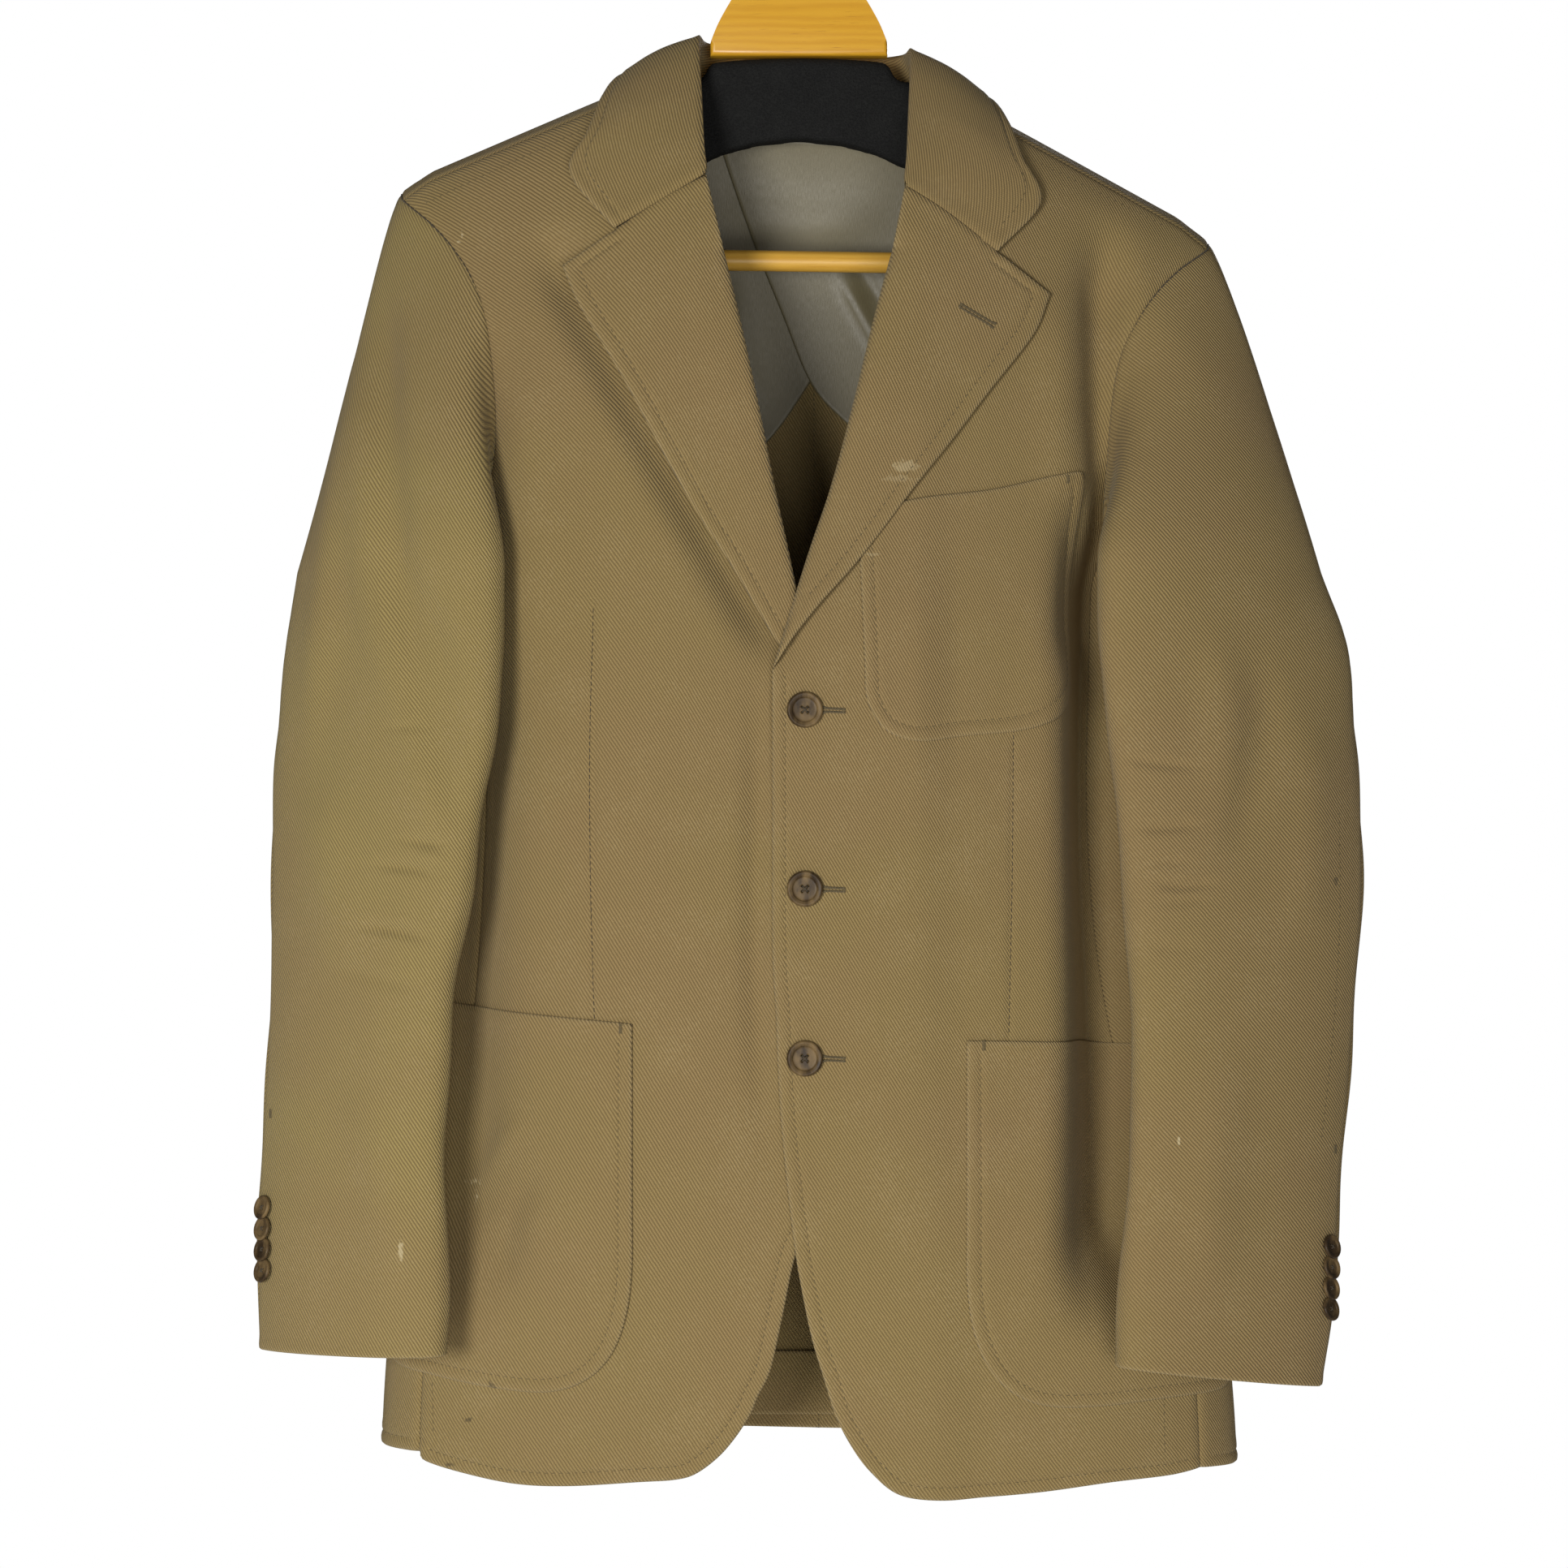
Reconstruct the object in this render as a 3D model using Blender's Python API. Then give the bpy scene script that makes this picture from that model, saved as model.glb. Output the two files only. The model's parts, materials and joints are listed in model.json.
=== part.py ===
"""Single-breasted three-button jacket hanging on a wooden hanger.

All sizes are in millimetres and become metres when a mesh is made. +Z is up, the front of the
jacket faces -Y, and the origin is the inner top of the hanger's hook. Left and right are the
wearer's, so the wearer's left is at +X. The body cloth is one surface, known by a grid of nodes:
across from the centre to the flank, and down from the shoulder ridge to the hem. Each cut piece is
an outline on that grid with a wall along its normals, so pieces that lie on each other share facets.
"""

import math

import bmesh
import bpy
from mathutils import Matrix, Vector

MM = 0.001
SEAM_GAP = 0.3
CLOTH = 2.0
LINING = 1.0

# Shoulder ridge and hem, before the jacket is hung askew
RIDGE_TOP = -151.5
RIDGE_START = 75.0
RIDGE_BLEND = 12.0
RIDGE_SLOPE = 0.49
TIP_START = 215.0
TIP_SLOPE = 0.25
HEM_Z = -965.0
SECTION_POWER = 2.6

# The jacket hangs lower on the wearer's left: height, slope and sideways shift
HANG = (
    # z, slope, shift
    (-230.0, 0.062, 3.5),
    (-300.0, 0.060, 3.8),
    (-450.0, 0.050, 4.3),
    (-700.0, 0.050, 5.2),
    (-900.0, 0.029, 6.0),
    (-965.0, 0.010, 6.0),
)
HANG_PIVOT = -1.5

# Levels of the body: drop below the ridge at the centre, half width, depth in front and behind
LEVELS = (
    # drop, half width, front, back
    (0.0, 262.0, 0.0, 0.0),
    (8.0, 262.0, 19.0, 17.0),
    (20.0, 260.0, 30.0, 27.0),
    (40.0, 256.0, 40.0, 36.0),
    (70.0, 250.0, 50.0, 45.0),
    (105.0, 242.0, 59.0, 52.0),
    (140.0, 232.0, 66.0, 56.0),
    (180.0, 222.0, 72.0, 59.0),
    (220.0, 216.0, 76.0, 60.0),
    (265.0, 214.0, 79.0, 60.0),
    (310.0, 213.0, 81.0, 59.0),
    (365.0, 212.0, 82.0, 58.0),
    (420.0, 213.5, 83.0, 58.0),
    (475.0, 217.0, 84.0, 59.0),
    (530.0, 222.0, 84.0, 60.0),
    (585.0, 228.0, 84.0, 60.0),
    (640.0, 234.5, 83.0, 60.0),
    (695.0, 240.0, 79.0, 60.0),
    (755.0, 244.5, 71.0, 58.0),
    (813.5, 247.0, 62.0, 54.0),
)

# Share of the half width at each grid line across
ACROSS = (0.0, 0.13, 0.26, 0.39, 0.52, 0.64, 0.75, 0.84, 0.90, 0.95, 0.985, 1.0)
FLANK = len(ACROSS) - 1
DEEPEST = len(LEVELS) - 1
FRONT_SEAM = 8
BACK_SEAM = 8
SHOULDER_SEAM = 1
# Half a seam gap in grid steps: the steps beside the side seams and shoulder seams are this wide
SEAM_STEP = 0.5 * SEAM_GAP / 12.0
SHOULDER_STEP = 0.5 * SEAM_GAP / 18.0

# Armhole from the shoulder tip to the armpit, before hanging
SHOULDER_TIP = 232.8
ARMHOLE_FRONT = (
    # x, z
    (230.5, -239.5),
    (218.0, -250.0),
    (202.0, -266.0),
    (190.0, -284.0),
    (182.0, -306.0),
    (178.5, -335.0),
    (178.0, -368.0),
    (182.0, -394.0),
    (195.0, -411.0),
)
ARMHOLE_BACK = (
    (224.0, -246.0),
    (210.0, -268.0),
    (202.0, -298.0),
    (199.0, -335.0),
    (200.0, -372.0),
    (205.0, -402.0),
)
ARMPIT_X = 216.0
ARMPIT_Z = -417.0
LOOP_STEPS = 10
PATH_STEPS = 6

# Neckline, gorge and lapel step, before hanging
NECK_FRONT = ((56.5, -219.0), (64.0, -192.0), (71.0, -166.0))
NECK_BACK = ((72.0, -156.0), (58.0, -160.0), (36.0, -166.0), (0.0, -170.0))
GORGE_INNER = (55.7, -220.4)
NOTCH = (107.5, -255.4)
LAPEL_POINT = (136.5, -276.5)

# Outlines measured as the jacket hangs, x and z
ROLL_LEFT = ((52.0, -261.0), (42.0, -298.0), (31.0, -344.0), (18.0, -393.0), (4.0, -435.0), (-15.0, -497.0))
ROLL_RIGHT = ((-42.0, -262.0), (-32.0, -305.0), (-22.0, -352.0), (-14.0, -393.0), (-4.0, -440.0), (8.0, -500.0))
LAPEL_EDGE_LEFT = ((127.0, -314.0), (90.0, -362.0), (58.0, -403.0), (33.0, -436.0), (11.0, -461.0),
                   (-4.0, -480.0))
LAPEL_EDGE_RIGHT = ((-118.5, -300.0), (-83.3, -361.6), (-58.7, -406.0), (-36.4, -441.0), (-11.7, -482.5),
                    (3.0, -499.0))
EDGE_LEFT = ((-15.0, -560.0), (-15.0, -650.0), (-13.0, -687.0), (-12.0, -715.0), (-9.5, -755.0),
             (-3.0, -814.0), (1.4, -841.0), (7.0, -868.0), (13.5, -890.0), (20.0, -911.0),
             (29.0, -929.0), (40.0, -944.0), (56.0, -957.0))
HEM_LEFT = ((80.0, -960.5), (106.0, -959.5), (138.0, -957.0), (177.0, -952.5), (215.0, -951.0))
EDGE_RIGHT = ((18.0, -545.0), (18.0, -760.0), (9.0, -798.0), (-2.0, -821.0), (-9.0, -854.0),
              (-16.0, -886.0), (-23.0, -901.0), (-27.0, -911.0), (-35.0, -924.0), (-45.0, -936.0),
              (-58.0, -946.0))
HEM_RIGHT = ((-70.0, -949.5), (-90.0, -951.0), (-130.0, -954.0), (-160.0, -955.0), (-190.0, -950.0),
             (-215.0, -944.0))
SIDE_HEM_Z = {1: -947.0, -1: -938.0}
BACK_HEM_Z = -941.0
HEM_MEASURE_X = 225.0
SIDE_MEASURE_X = 232.0
BACK_SEAM_X = 12.0

# Patch pockets: distance from the centre and height before hanging, from the top inner corner
HIP_POCKET = ((92.5, -697.5), (92.5, -800.0), (93.0, -836.0), (97.0, -862.0), (106.0, -883.0),
              (121.0, -897.0), (141.0, -903.5), (170.0, -903.0), (205.0, -899.0))
HIP_POCKET_END = FLANK - 0.2
CHEST_POCKET = ((32.0, -407.0), (61.0, -402.7), (102.6, -396.8), (142.9, -387.8), (157.8, -385.0),
                (161.0, -410.0), (162.8, -450.0), (162.8, -494.5), (159.1, -509.0), (148.7, -519.8),
                (136.5, -526.6), (118.5, -531.0), (92.2, -533.3), (68.3, -536.5), (51.6, -532.9),
                (42.1, -524.3), (36.7, -511.2), (35.8, -490.4), (33.5, -437.0))
POCKET_GAP = 0.6

# How far pieces stand off the body surface where the fronts overlap
LAPEL_GAP_RIGHT = 1.0
LAPEL_GAP_LEFT = 3.2
LAPEL_GAP_EDGE = 0.8
OVERLAP_LIFT = 2.8
CROSSING_LIFT = 6.0
OVERLAP_FROM = 8
CROSSING_LEVELS = (9, 10, 11)
GORGE_GAP = 1.5
GORGE_STEPS = 4

# Collar from the centre back to the gorge: roll line, leaf edge and foot of the stand
COLLAR = (
    # roll x, y, z, leaf edge x, y, z, stand foot x, y, z
    (0.0, 33.0, -135.0, 0.0, 45.0, -188.0, 0.0, 23.0, -166.0),
    (34.0, 29.0, -135.0, 58.0, 42.0, -184.5, 34.0, 20.0, -163.0),
    (56.0, 17.0, -134.0, 93.0, 27.0, -174.0, 62.0, 14.0, -157.0),
    (60.5, -2.0, -134.0, 107.5, 3.0, -162.0, 67.0, -3.0, -153.0),
    (60.5, -16.0, -146.0, 116.5, -20.0, -176.0, 65.5, -17.0, -165.0),
    (59.0, -30.0, -170.0, 124.0, -37.0, -199.0, 61.5, -29.0, -185.0),
    (57.5, -44.0, -196.0, 133.0, -45.0, -223.4, 57.5, -41.5, -203.0),
    (55.7, -53.5, -219.6, 107.5, -57.5, -254.6, 54.5, -50.0, -216.0),
)
COLLAR_BULGE = 4.0
COLLAR_STEPS = 3
COLLAR_ROWS = (0.0, 0.12, 0.3, 0.55, 0.8, 1.0)
STAND_SET = 2.5
STAND_DROP = 1.0

# Sleeves: rows from the upper arm to the cuff, distances from x = 0 and heights as they hang
SLEEVE_ROWS = {
    1: (
        # outer x, outer z, inner x, inner z
        (296.0, -440.0, 166.5, -440.0),
        (311.0, -482.0, 166.5, -482.0),
        (315.0, -531.0, 171.0, -531.0),
        (318.0, -576.0, 175.5, -576.0),
        (319.0, -622.0, 180.0, -622.0),
        (314.5, -676.0, 183.0, -676.0),
        (311.0, -719.0, 184.0, -719.0),
        (306.0, -767.0, 182.0, -767.0),
        (303.0, -820.0, 178.5, -815.0),
        (300.0, -862.0, 176.0, -852.0),
        (294.0, -899.0, 175.0, -881.0),
    ),
    -1: (
        (284.0, -440.0, 165.0, -440.0),
        (291.0, -485.0, 165.0, -485.0),
        (295.0, -530.0, 168.0, -530.0),
        (297.5, -575.0, 176.0, -575.0),
        (298.0, -620.0, 182.0, -620.0),
        (297.5, -666.0, 191.0, -666.0),
        (299.0, -711.0, 193.5, -711.0),
        (301.0, -757.0, 196.5, -757.0),
        (304.0, -800.0, 195.0, -800.0),
        (304.0, -842.0, 194.5, -842.0),
        (303.5, -877.5, 196.0, -875.0),
    ),
}
SLEEVE_OUTER_Y = (-22.0, -45.0)
SLEEVE_INNER_Y = (-86.0, -95.0)
SLEEVE_DEPTH = (23.0, 19.0)
SLEEVE_POWER = 2.2
SLEEVE_HEAD_STEPS = (0.0, 0.12, 0.3, 0.5, 0.75)
SLEEVE_TURN = 48.0
SLEEVE_TURN_ROWS = 4
# Share of the armhole loop, angle on the arm ring, pull outward and pull along the normal
SLEEVE_HEAD = (
    (0.00, -8.0, 0.95, 0.10),
    (0.12, 62.0, 0.85, 0.45),
    (0.25, 138.0, 0.55, 0.80),
    (0.33, 180.0, 0.30, 0.95),
    (0.42, 236.0, 0.05, 1.00),
    (0.50, 282.0, 0.00, 1.00),
    (0.62, 305.0, 0.10, 1.00),
    (0.78, 328.0, 0.55, 0.80),
    (0.90, 341.0, 0.85, 0.45),
    (1.00, 352.0, 0.95, 0.10),
)
HEAD_PULL = 16.0
ARM_PULL = 0.42
ARM_LEAN = 0.30
ARMHOLE_GAP = 1.2
UNDER_SLEEVE = (7, 16)
SLEEVE_SEAM_GAP = 0.7

# Buttons: outer and inner radius of the rim, thickness
FRONT_BUTTON = (10.0, 7.2, 3.6)
CUFF_BUTTON = (6.8, 4.6, 2.4)
FRONT_BUTTON_X = 3.0
FRONT_BUTTON_Z = (-519.1, -617.9, -711.5)
BUTTON_SIDES = 20
CUFF_BUTTON_SIDES = 14
CUFF_BUTTONS = {1: (291.5, -820.0), -1: (293.0, -797.5)}
CUFF_BUTTON_STEP = 11.7
CUFF_BUTTON_TILT = math.radians(14.5)
BUTTON_GAP = 0.4

# Half lining across the upper back, and the turned hem inside the back
LINING_EDGE_LEFT = ((-46.0, -180.0), (-43.0, -194.0), (-27.0, -239.0), (-10.0, -281.0), (7.0, -322.0),
                    (27.0, -345.0), (60.0, -372.0), (110.0, -396.0), (165.0, -412.0))
LINING_EDGE_RIGHT = ((46.0, -184.0), (42.0, -206.0), (30.0, -262.0), (20.0, -298.0), (7.0, -322.0),
                     (-19.0, -358.0), (-55.0, -384.0), (-105.0, -404.0), (-165.0, -416.0))
LINING_SIDE = ((188.0, -414.0), (186.0, -380.0), (186.0, -330.0), (190.0, -290.0), (196.0, -262.0),
               (184.0, -232.0), (130.0, -206.0), (80.0, -183.0))
LINING_GAP = 0.5
HEM_FACING_Z = (-902.0, -936.0)
FACING_STEP = 0.05

# Hanger
HOOK_WIRE = 1.9
HOOK_RADIUS = 20.0
NECK_PLATE = ((9.0, -80.0), (20.0, -86.0), (30.0, -97.0), (38.0, -108.0), (46.0, -122.0), (51.0, -134.0),
              (51.0, -141.0))
NECK_PLATE_X = 0.0
NECK_PLATE_DEPTH = 14.0
# Foam-covered arms: x, top where the cloth does not lie on it, underside, half depth
ARM_ROWS = (
    (0.0, -141.6, -189.0, 11.0),
    (25.0, -142.2, -191.5, 11.0),
    (44.0, -144.0, -197.0, 9.5),
    (51.0, -148.0, -200.0, 9.0),
    (56.0, -160.0, -203.0, 9.0),
    (65.0, -162.0, -206.0, 10.0),
)
ARM_SHOULDER = (78.0, 104.0, 132.0, 160.0, 188.0, 212.0)
ARM_UNDERSIDE = (-211.0, -222.0, -233.0, -242.0, -249.0, -252.2)
ARM_FOOT = 9.0
ARM_DROP = 14.0
ARM_CLEAR = 0.4
BAR_Z = -258.6
BAR_SLOPE = 0.015
BAR_RADIUS = 6.0
BAR_HALF = 208.0
BAR_SIDES = 16
HOOK_FOOT_Z = -79.6
HOOK_CENTRE_Z = -20.0
HOOK_START = -52.0
HOOK_END = 196.0
HOOK_STEPS = 18

COLOURS = {
    # name: red, green, blue, roughness, metallic
    "cloth": (0.262, 0.188, 0.075, 0.9, 0.0),
    "lining": (0.190, 0.185, 0.115, 0.55, 0.0),
    "wood": (0.640, 0.330, 0.055, 0.35, 0.0),
    "foam": (0.018, 0.018, 0.020, 0.95, 0.0),
    "horn": (0.120, 0.085, 0.050, 0.35, 0.0),
    "steel": (0.600, 0.600, 0.620, 0.25, 1.0),
}


def interpolate(table, value, column):
    """Read one column of a table whose first column rises or falls steadily."""
    rising = table[-1][0] > table[0][0]
    if (value <= table[0][0]) == rising:
        return table[0][column]
    for low, high in zip(table, table[1:]):
        if (value <= high[0]) == rising:
            share = (value - low[0]) / (high[0] - low[0])
            return low[column] + share * (high[column] - low[column])
    return table[-1][column]


def ridge(x):
    """Height of the shoulder ridge over x."""
    run = RIDGE_BLEND * math.log1p(math.exp((abs(x) - RIDGE_START) / RIDGE_BLEND))
    return RIDGE_TOP - RIDGE_SLOPE * run - TIP_SLOPE * max(abs(x) - TIP_START, 0.0)


def hung(x, y, z):
    """Move a point of the level jacket to where it hangs."""
    slope = interpolate(HANG, z, 1)
    return Vector((x + interpolate(HANG, z, 2), y, z - slope * (x - HANG_PIVOT)))


def unhung(x, z):
    """Find where a point of the hanging jacket lies on the level one."""
    level_x, level_z = x, z
    for _ in range(6):
        level_x = x - interpolate(HANG, level_z, 2)
        level_z = z + interpolate(HANG, level_z, 1) * (level_x - HANG_PIVOT)
    return level_x, level_z


SHARES = tuple(row[0] / LEVELS[-1][0] for row in LEVELS)


def place_in(steps, value):
    """Position of a value among rising steps, as a whole and a fraction."""
    for index in range(len(steps) - 1):
        if value <= steps[index + 1]:
            return index + (value - steps[index]) / (steps[index + 1] - steps[index])
    return len(steps) - 1.0


def chart(x, z):
    """Grid place of a point of the level jacket."""
    top = ridge(x)
    down = place_in(SHARES, max(0.0, (top - z) / (top - HEM_Z)))
    row = min(int(down), DEEPEST - 1)
    half = LEVELS[row][1] + (down - row) * (LEVELS[row + 1][1] - LEVELS[row][1])
    across = place_in(ACROSS, min(abs(x) / half, 1.0))
    return math.copysign(across, x), down


def chart_hung(x, z):
    """Grid place of a point measured as the jacket hangs."""
    return chart(*unhung(x, z))


def node(side, across, down):
    """Position of a grid node; side is -1 in front and 1 behind."""
    if down < 0:
        side, down = -side, -down
    if abs(across) > FLANK:
        side, across = -side, int(math.copysign(2 * FLANK - abs(across), across))
    share = ACROSS[abs(across)]
    x = math.copysign(share * LEVELS[down][1], across)
    z = ridge(x) * (1.0 - SHARES[down]) + HEM_Z * SHARES[down]
    depth = LEVELS[down][2 if side < 0 else 3]
    y = side * depth * max(1.0 - share ** SECTION_POWER, 0.0) ** (1.0 / SECTION_POWER)
    return hung(x, y, z)


def node_normal(side, across, down):
    """Outward normal of a grid node."""
    below = node(side, across, min(down + 1, DEEPEST))
    above = node(side, across, down - 1)
    right = node(side, across + 1, down)
    left = node(side, across - 1, down)
    return ((right - left).cross(below - above) * side).normalized()


NODES = {}


def cached(side, across, down):
    """Position and normal of a grid node, worked out once."""
    key = (side, across, down)
    if key not in NODES:
        NODES[key] = (node(side, across, down), node_normal(side, across, down))
    return NODES[key]


def front_sheet(across, down):
    """Grid node of a piece in front."""
    return -1, across, down


def back_sheet(across, down):
    """Grid node of a piece behind, which may pass over the ridge to the front."""
    return (1, across, down) if down >= 0 else (-1, across, -down)


def side_sheet(across, down):
    """Grid node of a piece that goes round the flank."""
    if abs(across) <= FLANK:
        return -1, across, down
    return 1, int(math.copysign(2 * FLANK - abs(across), across)), down


def on_sheet(sheet, across, down, lift):
    """Position and normal at a grid place, flat within each grid triangle."""
    column, row = math.floor(across + 1e-6), math.floor(down + 1e-6)
    u, v = across - column, down - row
    if u + v <= 1.0:
        corners = ((0, 0, 1.0 - u - v), (1, 0, u), (0, 1, v))
    else:
        corners = ((1, 1, u + v - 1.0), (0, 1, 1.0 - u), (1, 0, 1.0 - v))
    place, normal = Vector(), Vector()
    for step_across, step_down, weight in corners:
        if abs(weight) < 1e-9:
            continue
        key = sheet(column + step_across, min(row + step_down, DEEPEST))
        point, direction = cached(*key)
        place += weight * (point + lift(key[1], key[2]) * direction)
        normal += weight * direction
    return place, normal


def no_lift(_across, _down):
    """Pieces that lie on the body surface."""
    return 0.0


def left_front_lift(across, down):
    """The left front lies over the right one along the middle."""
    if across >= 3 or down < OVERLAP_FROM:
        return 0.0
    full = CROSSING_LIFT if down in CROSSING_LEVELS else OVERLAP_LIFT
    return full if across < 2 else 0.5 * full


def left_lapel_lift(across, down):
    """The left lapel lies over the left front and over the chest pocket's corner."""
    return left_front_lift(across, down) + (LAPEL_GAP_EDGE if across < 1 else LAPEL_GAP_LEFT)


def material(name):
    """Plain material of the given name."""
    made = bpy.data.materials.get(name)
    if made is None:
        red, green, blue, roughness, metallic = COLOURS[name]
        made = bpy.data.materials.new(name)
        made.use_nodes = True
        shader = made.node_tree.nodes["Principled BSDF"]
        shader.inputs["Base Color"].default_value = (red, green, blue, 1.0)
        shader.inputs["Roughness"].default_value = roughness
        shader.inputs["Metallic"].default_value = metallic
    return made


def finish(name, bm, finish_name):
    """Turn a bmesh in millimetres into a named object."""
    bmesh.ops.scale(bm, vec=(MM, MM, MM), verts=bm.verts)
    mesh = bpy.data.meshes.new(name)
    bm.to_mesh(mesh)
    bm.free()
    mesh.shade_smooth()
    mesh.set_sharp_from_angle(angle=math.radians(50.0))
    mesh.materials.append(material(finish_name))
    made = bpy.data.objects.new(name, mesh)
    bpy.context.scene.collection.objects.link(made)
    return made


def flat_pattern(outline):
    """Cut a flat outline, in grid places, along every grid line and grid diagonal."""
    bm = bmesh.new()
    bm.faces.new([bm.verts.new((across, down, 0.0)) for across, down in outline])
    bmesh.ops.triangulate(bm, faces=bm.faces)
    low = [math.floor(min(point[axis] for point in outline)) for axis in (0, 1)]
    high = [math.ceil(max(point[axis] for point in outline)) for axis in (0, 1)]
    lines = [((value, 0, 0), (1, 0, 0)) for value in range(low[0], high[0] + 1)]
    lines += [((0, value, 0), (0, 1, 0)) for value in range(low[1], high[1] + 1)]
    lines += [((value, 0, 0), (1, 1, 0)) for value in range(low[0] + low[1], high[0] + high[1] + 1)]
    for place, direction in lines:
        geometry = bm.verts[:] + bm.edges[:] + bm.faces[:]
        bmesh.ops.bisect_plane(bm, geom=geometry, dist=1e-5, plane_co=place, plane_no=direction)
    bmesh.ops.remove_doubles(bm, verts=bm.verts, dist=0.003)
    spare = [edge for edge in bm.edges if len(edge.link_faces) == 2 and not on_grid_line(edge)]
    bmesh.ops.dissolve_edges(bm, edges=spare, use_verts=False)
    loose = [vert for vert in bm.verts if is_needless(vert)]
    bmesh.ops.dissolve_verts(bm, verts=loose)
    bmesh.ops.triangulate(bm, faces=bm.faces)
    return bm


def on_grid_line(edge):
    """Whether an edge of the flat pattern follows a grid line or a grid diagonal."""
    first, second = (vert.co for vert in edge.verts)
    for a, b in ((first.x, second.x), (first.y, second.y), (first.x + first.y, second.x + second.y)):
        if abs(a - round(a)) < 0.004 and abs(b - round(a)) < 0.004:
            return True
    return False


def is_needless(vert):
    """Whether a vertex only splits a straight inner edge."""
    if len(vert.link_edges) != 2 or vert.is_boundary:
        return False
    first, second = (edge.other_vert(vert).co - vert.co for edge in vert.link_edges)
    return first.length > 0 and second.length > 0 and first.angle(second) > math.radians(179.5)


def panel(name, outline, sheet, inner, outer, lift=no_lift, finish_name="cloth"):
    """A wall between two distances from the body surface, inside an outline of grid places."""
    pattern = flat_pattern(outline)
    bm = bmesh.new()
    pairs = {}
    for vert in pattern.verts:
        place, normal = on_sheet(sheet, vert.co.x, vert.co.y, lift)
        pairs[vert] = (bm.verts.new(place + outer * normal), bm.verts.new(place + inner * normal))
    for face in pattern.faces:
        bm.faces.new([pairs[vert][0] for vert in face.verts])
        bm.faces.new([pairs[vert][1] for vert in reversed(face.verts)])
    for edge in pattern.edges:
        if edge.is_boundary:
            first, second = edge.verts
            bm.faces.new((pairs[first][0], pairs[second][0], pairs[second][1], pairs[first][1]))
    pattern.free()
    bmesh.ops.recalc_face_normals(bm, faces=bm.faces)
    return finish(name, bm, finish_name)


def smooth_rows(rows, steps):
    """Points between table rows on a smooth curve through them."""
    out = []
    for index in range(len(rows) - 1):
        before = rows[max(index - 1, 0)]
        start, end = rows[index], rows[index + 1]
        after = rows[min(index + 2, len(rows) - 1)]
        for step in range(steps):
            t = step / steps
            out.append(tuple(
                0.5 * (2 * b + (c - a) * t + (2 * a - 5 * b + 4 * c - d) * t * t
                       + (3 * b - a - 3 * c + d) * t ** 3)
                for a, b, c, d in zip(before, start, end, after)))
    out.append(rows[-1])
    return out


def grid_normal(grid, row, column):
    """Normal of a grid of points from its neighbours."""
    last_row, last_column = len(grid) - 1, len(grid[0]) - 1
    along = grid[min(row + 1, last_row)][column] - grid[max(row - 1, 0)][column]
    across = grid[row][min(column + 1, last_column)] - grid[row][max(column - 1, 0)]
    return along.cross(across).normalized()


def wall(name, grid, thickness, finish_name="cloth", normals=None):
    """A wall whose outer face is a grid of points; positive thickness goes against the normals."""
    bm = bmesh.new()
    outer, inner = [], []
    for row in range(len(grid)):
        outer.append([bm.verts.new(point) for point in grid[row]])
        inner.append([])
        for column, point in enumerate(grid[row]):
            normal = normals[row][column] if normals else grid_normal(grid, row, column)
            inner[row].append(bm.verts.new(point - thickness * normal))
    rows, columns = len(grid) - 1, len(grid[0]) - 1
    for row in range(rows):
        for column in range(columns):
            quad = ((row, column), (row + 1, column), (row + 1, column + 1), (row, column + 1))
            for triangle in ((quad[0], quad[1], quad[2]), (quad[0], quad[2], quad[3])):
                bm.faces.new([outer[r][c] for r, c in triangle])
                bm.faces.new([inner[r][c] for r, c in reversed(triangle)])
    rim = [(0, c) for c in range(columns)] + [(r, columns) for r in range(rows)]
    rim += [(rows, c) for c in range(columns, 0, -1)] + [(r, 0) for r in range(rows, 0, -1)]
    for (r, c), (next_r, next_c) in zip(rim, rim[1:] + rim[:1]):
        bm.faces.new((outer[r][c], outer[next_r][next_c], inner[next_r][next_c], inner[r][c]))
    bmesh.ops.recalc_face_normals(bm, faces=bm.faces)
    return finish(name, bm, finish_name)


def armhole_path(table, side, sign):
    """Grid places down one side of the armhole, from the shoulder tip to the armpit."""
    corners = [chart(SHOULDER_TIP, ridge(SHOULDER_TIP))]
    corners += [chart(x, z) for x, z in table]
    corners.append((float(FLANK), chart(ARMPIT_X, ARMPIT_Z)[1]))
    fine = []
    for start, end in zip(corners, corners[1:]):
        for step in range(PATH_STEPS):
            fine.append(blend(start, end, step / PATH_STEPS))
    fine.append(corners[-1])
    sheet = front_sheet if side < 0 else back_sheet
    points = [on_sheet(sheet, *place, no_lift)[0] for place in fine]
    lengths = [0.0]
    for first, second in zip(points, points[1:]):
        lengths.append(lengths[-1] + (second - first).length)
    path = []
    for step in range(LOOP_STEPS + 1):
        place = place_in(lengths, lengths[-1] * step / LOOP_STEPS)
        index = min(int(place), len(fine) - 2)
        path.append(blend(fine[index], fine[index + 1], place - index))
    return [(sign * across, down) for across, down in path]


def blend(first, second, share):
    """Point part of the way between two tuples."""
    return tuple(a + share * (b - a) for a, b in zip(first, second))


def split(path, axis, value):
    """Divide a path where the size of one coordinate first passes a value."""
    for index, (first, second) in enumerate(zip(path, path[1:])):
        low, high = abs(first[axis]), abs(second[axis])
        if (low - value) * (high - value) <= 0.0 and low != high:
            middle = blend(first, second, (value - low) / (high - low))
            return path[:index + 1] + [middle], [middle] + path[index + 1:]
    return path, []


def hang_place(sign, x, z):
    """Grid place of a point at a distance from x = 0 and at a height before hanging."""
    slope = interpolate(HANG, z, 1)
    return chart_hung(sign * x, z - slope * (sign * x - HANG_PIVOT))


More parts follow.
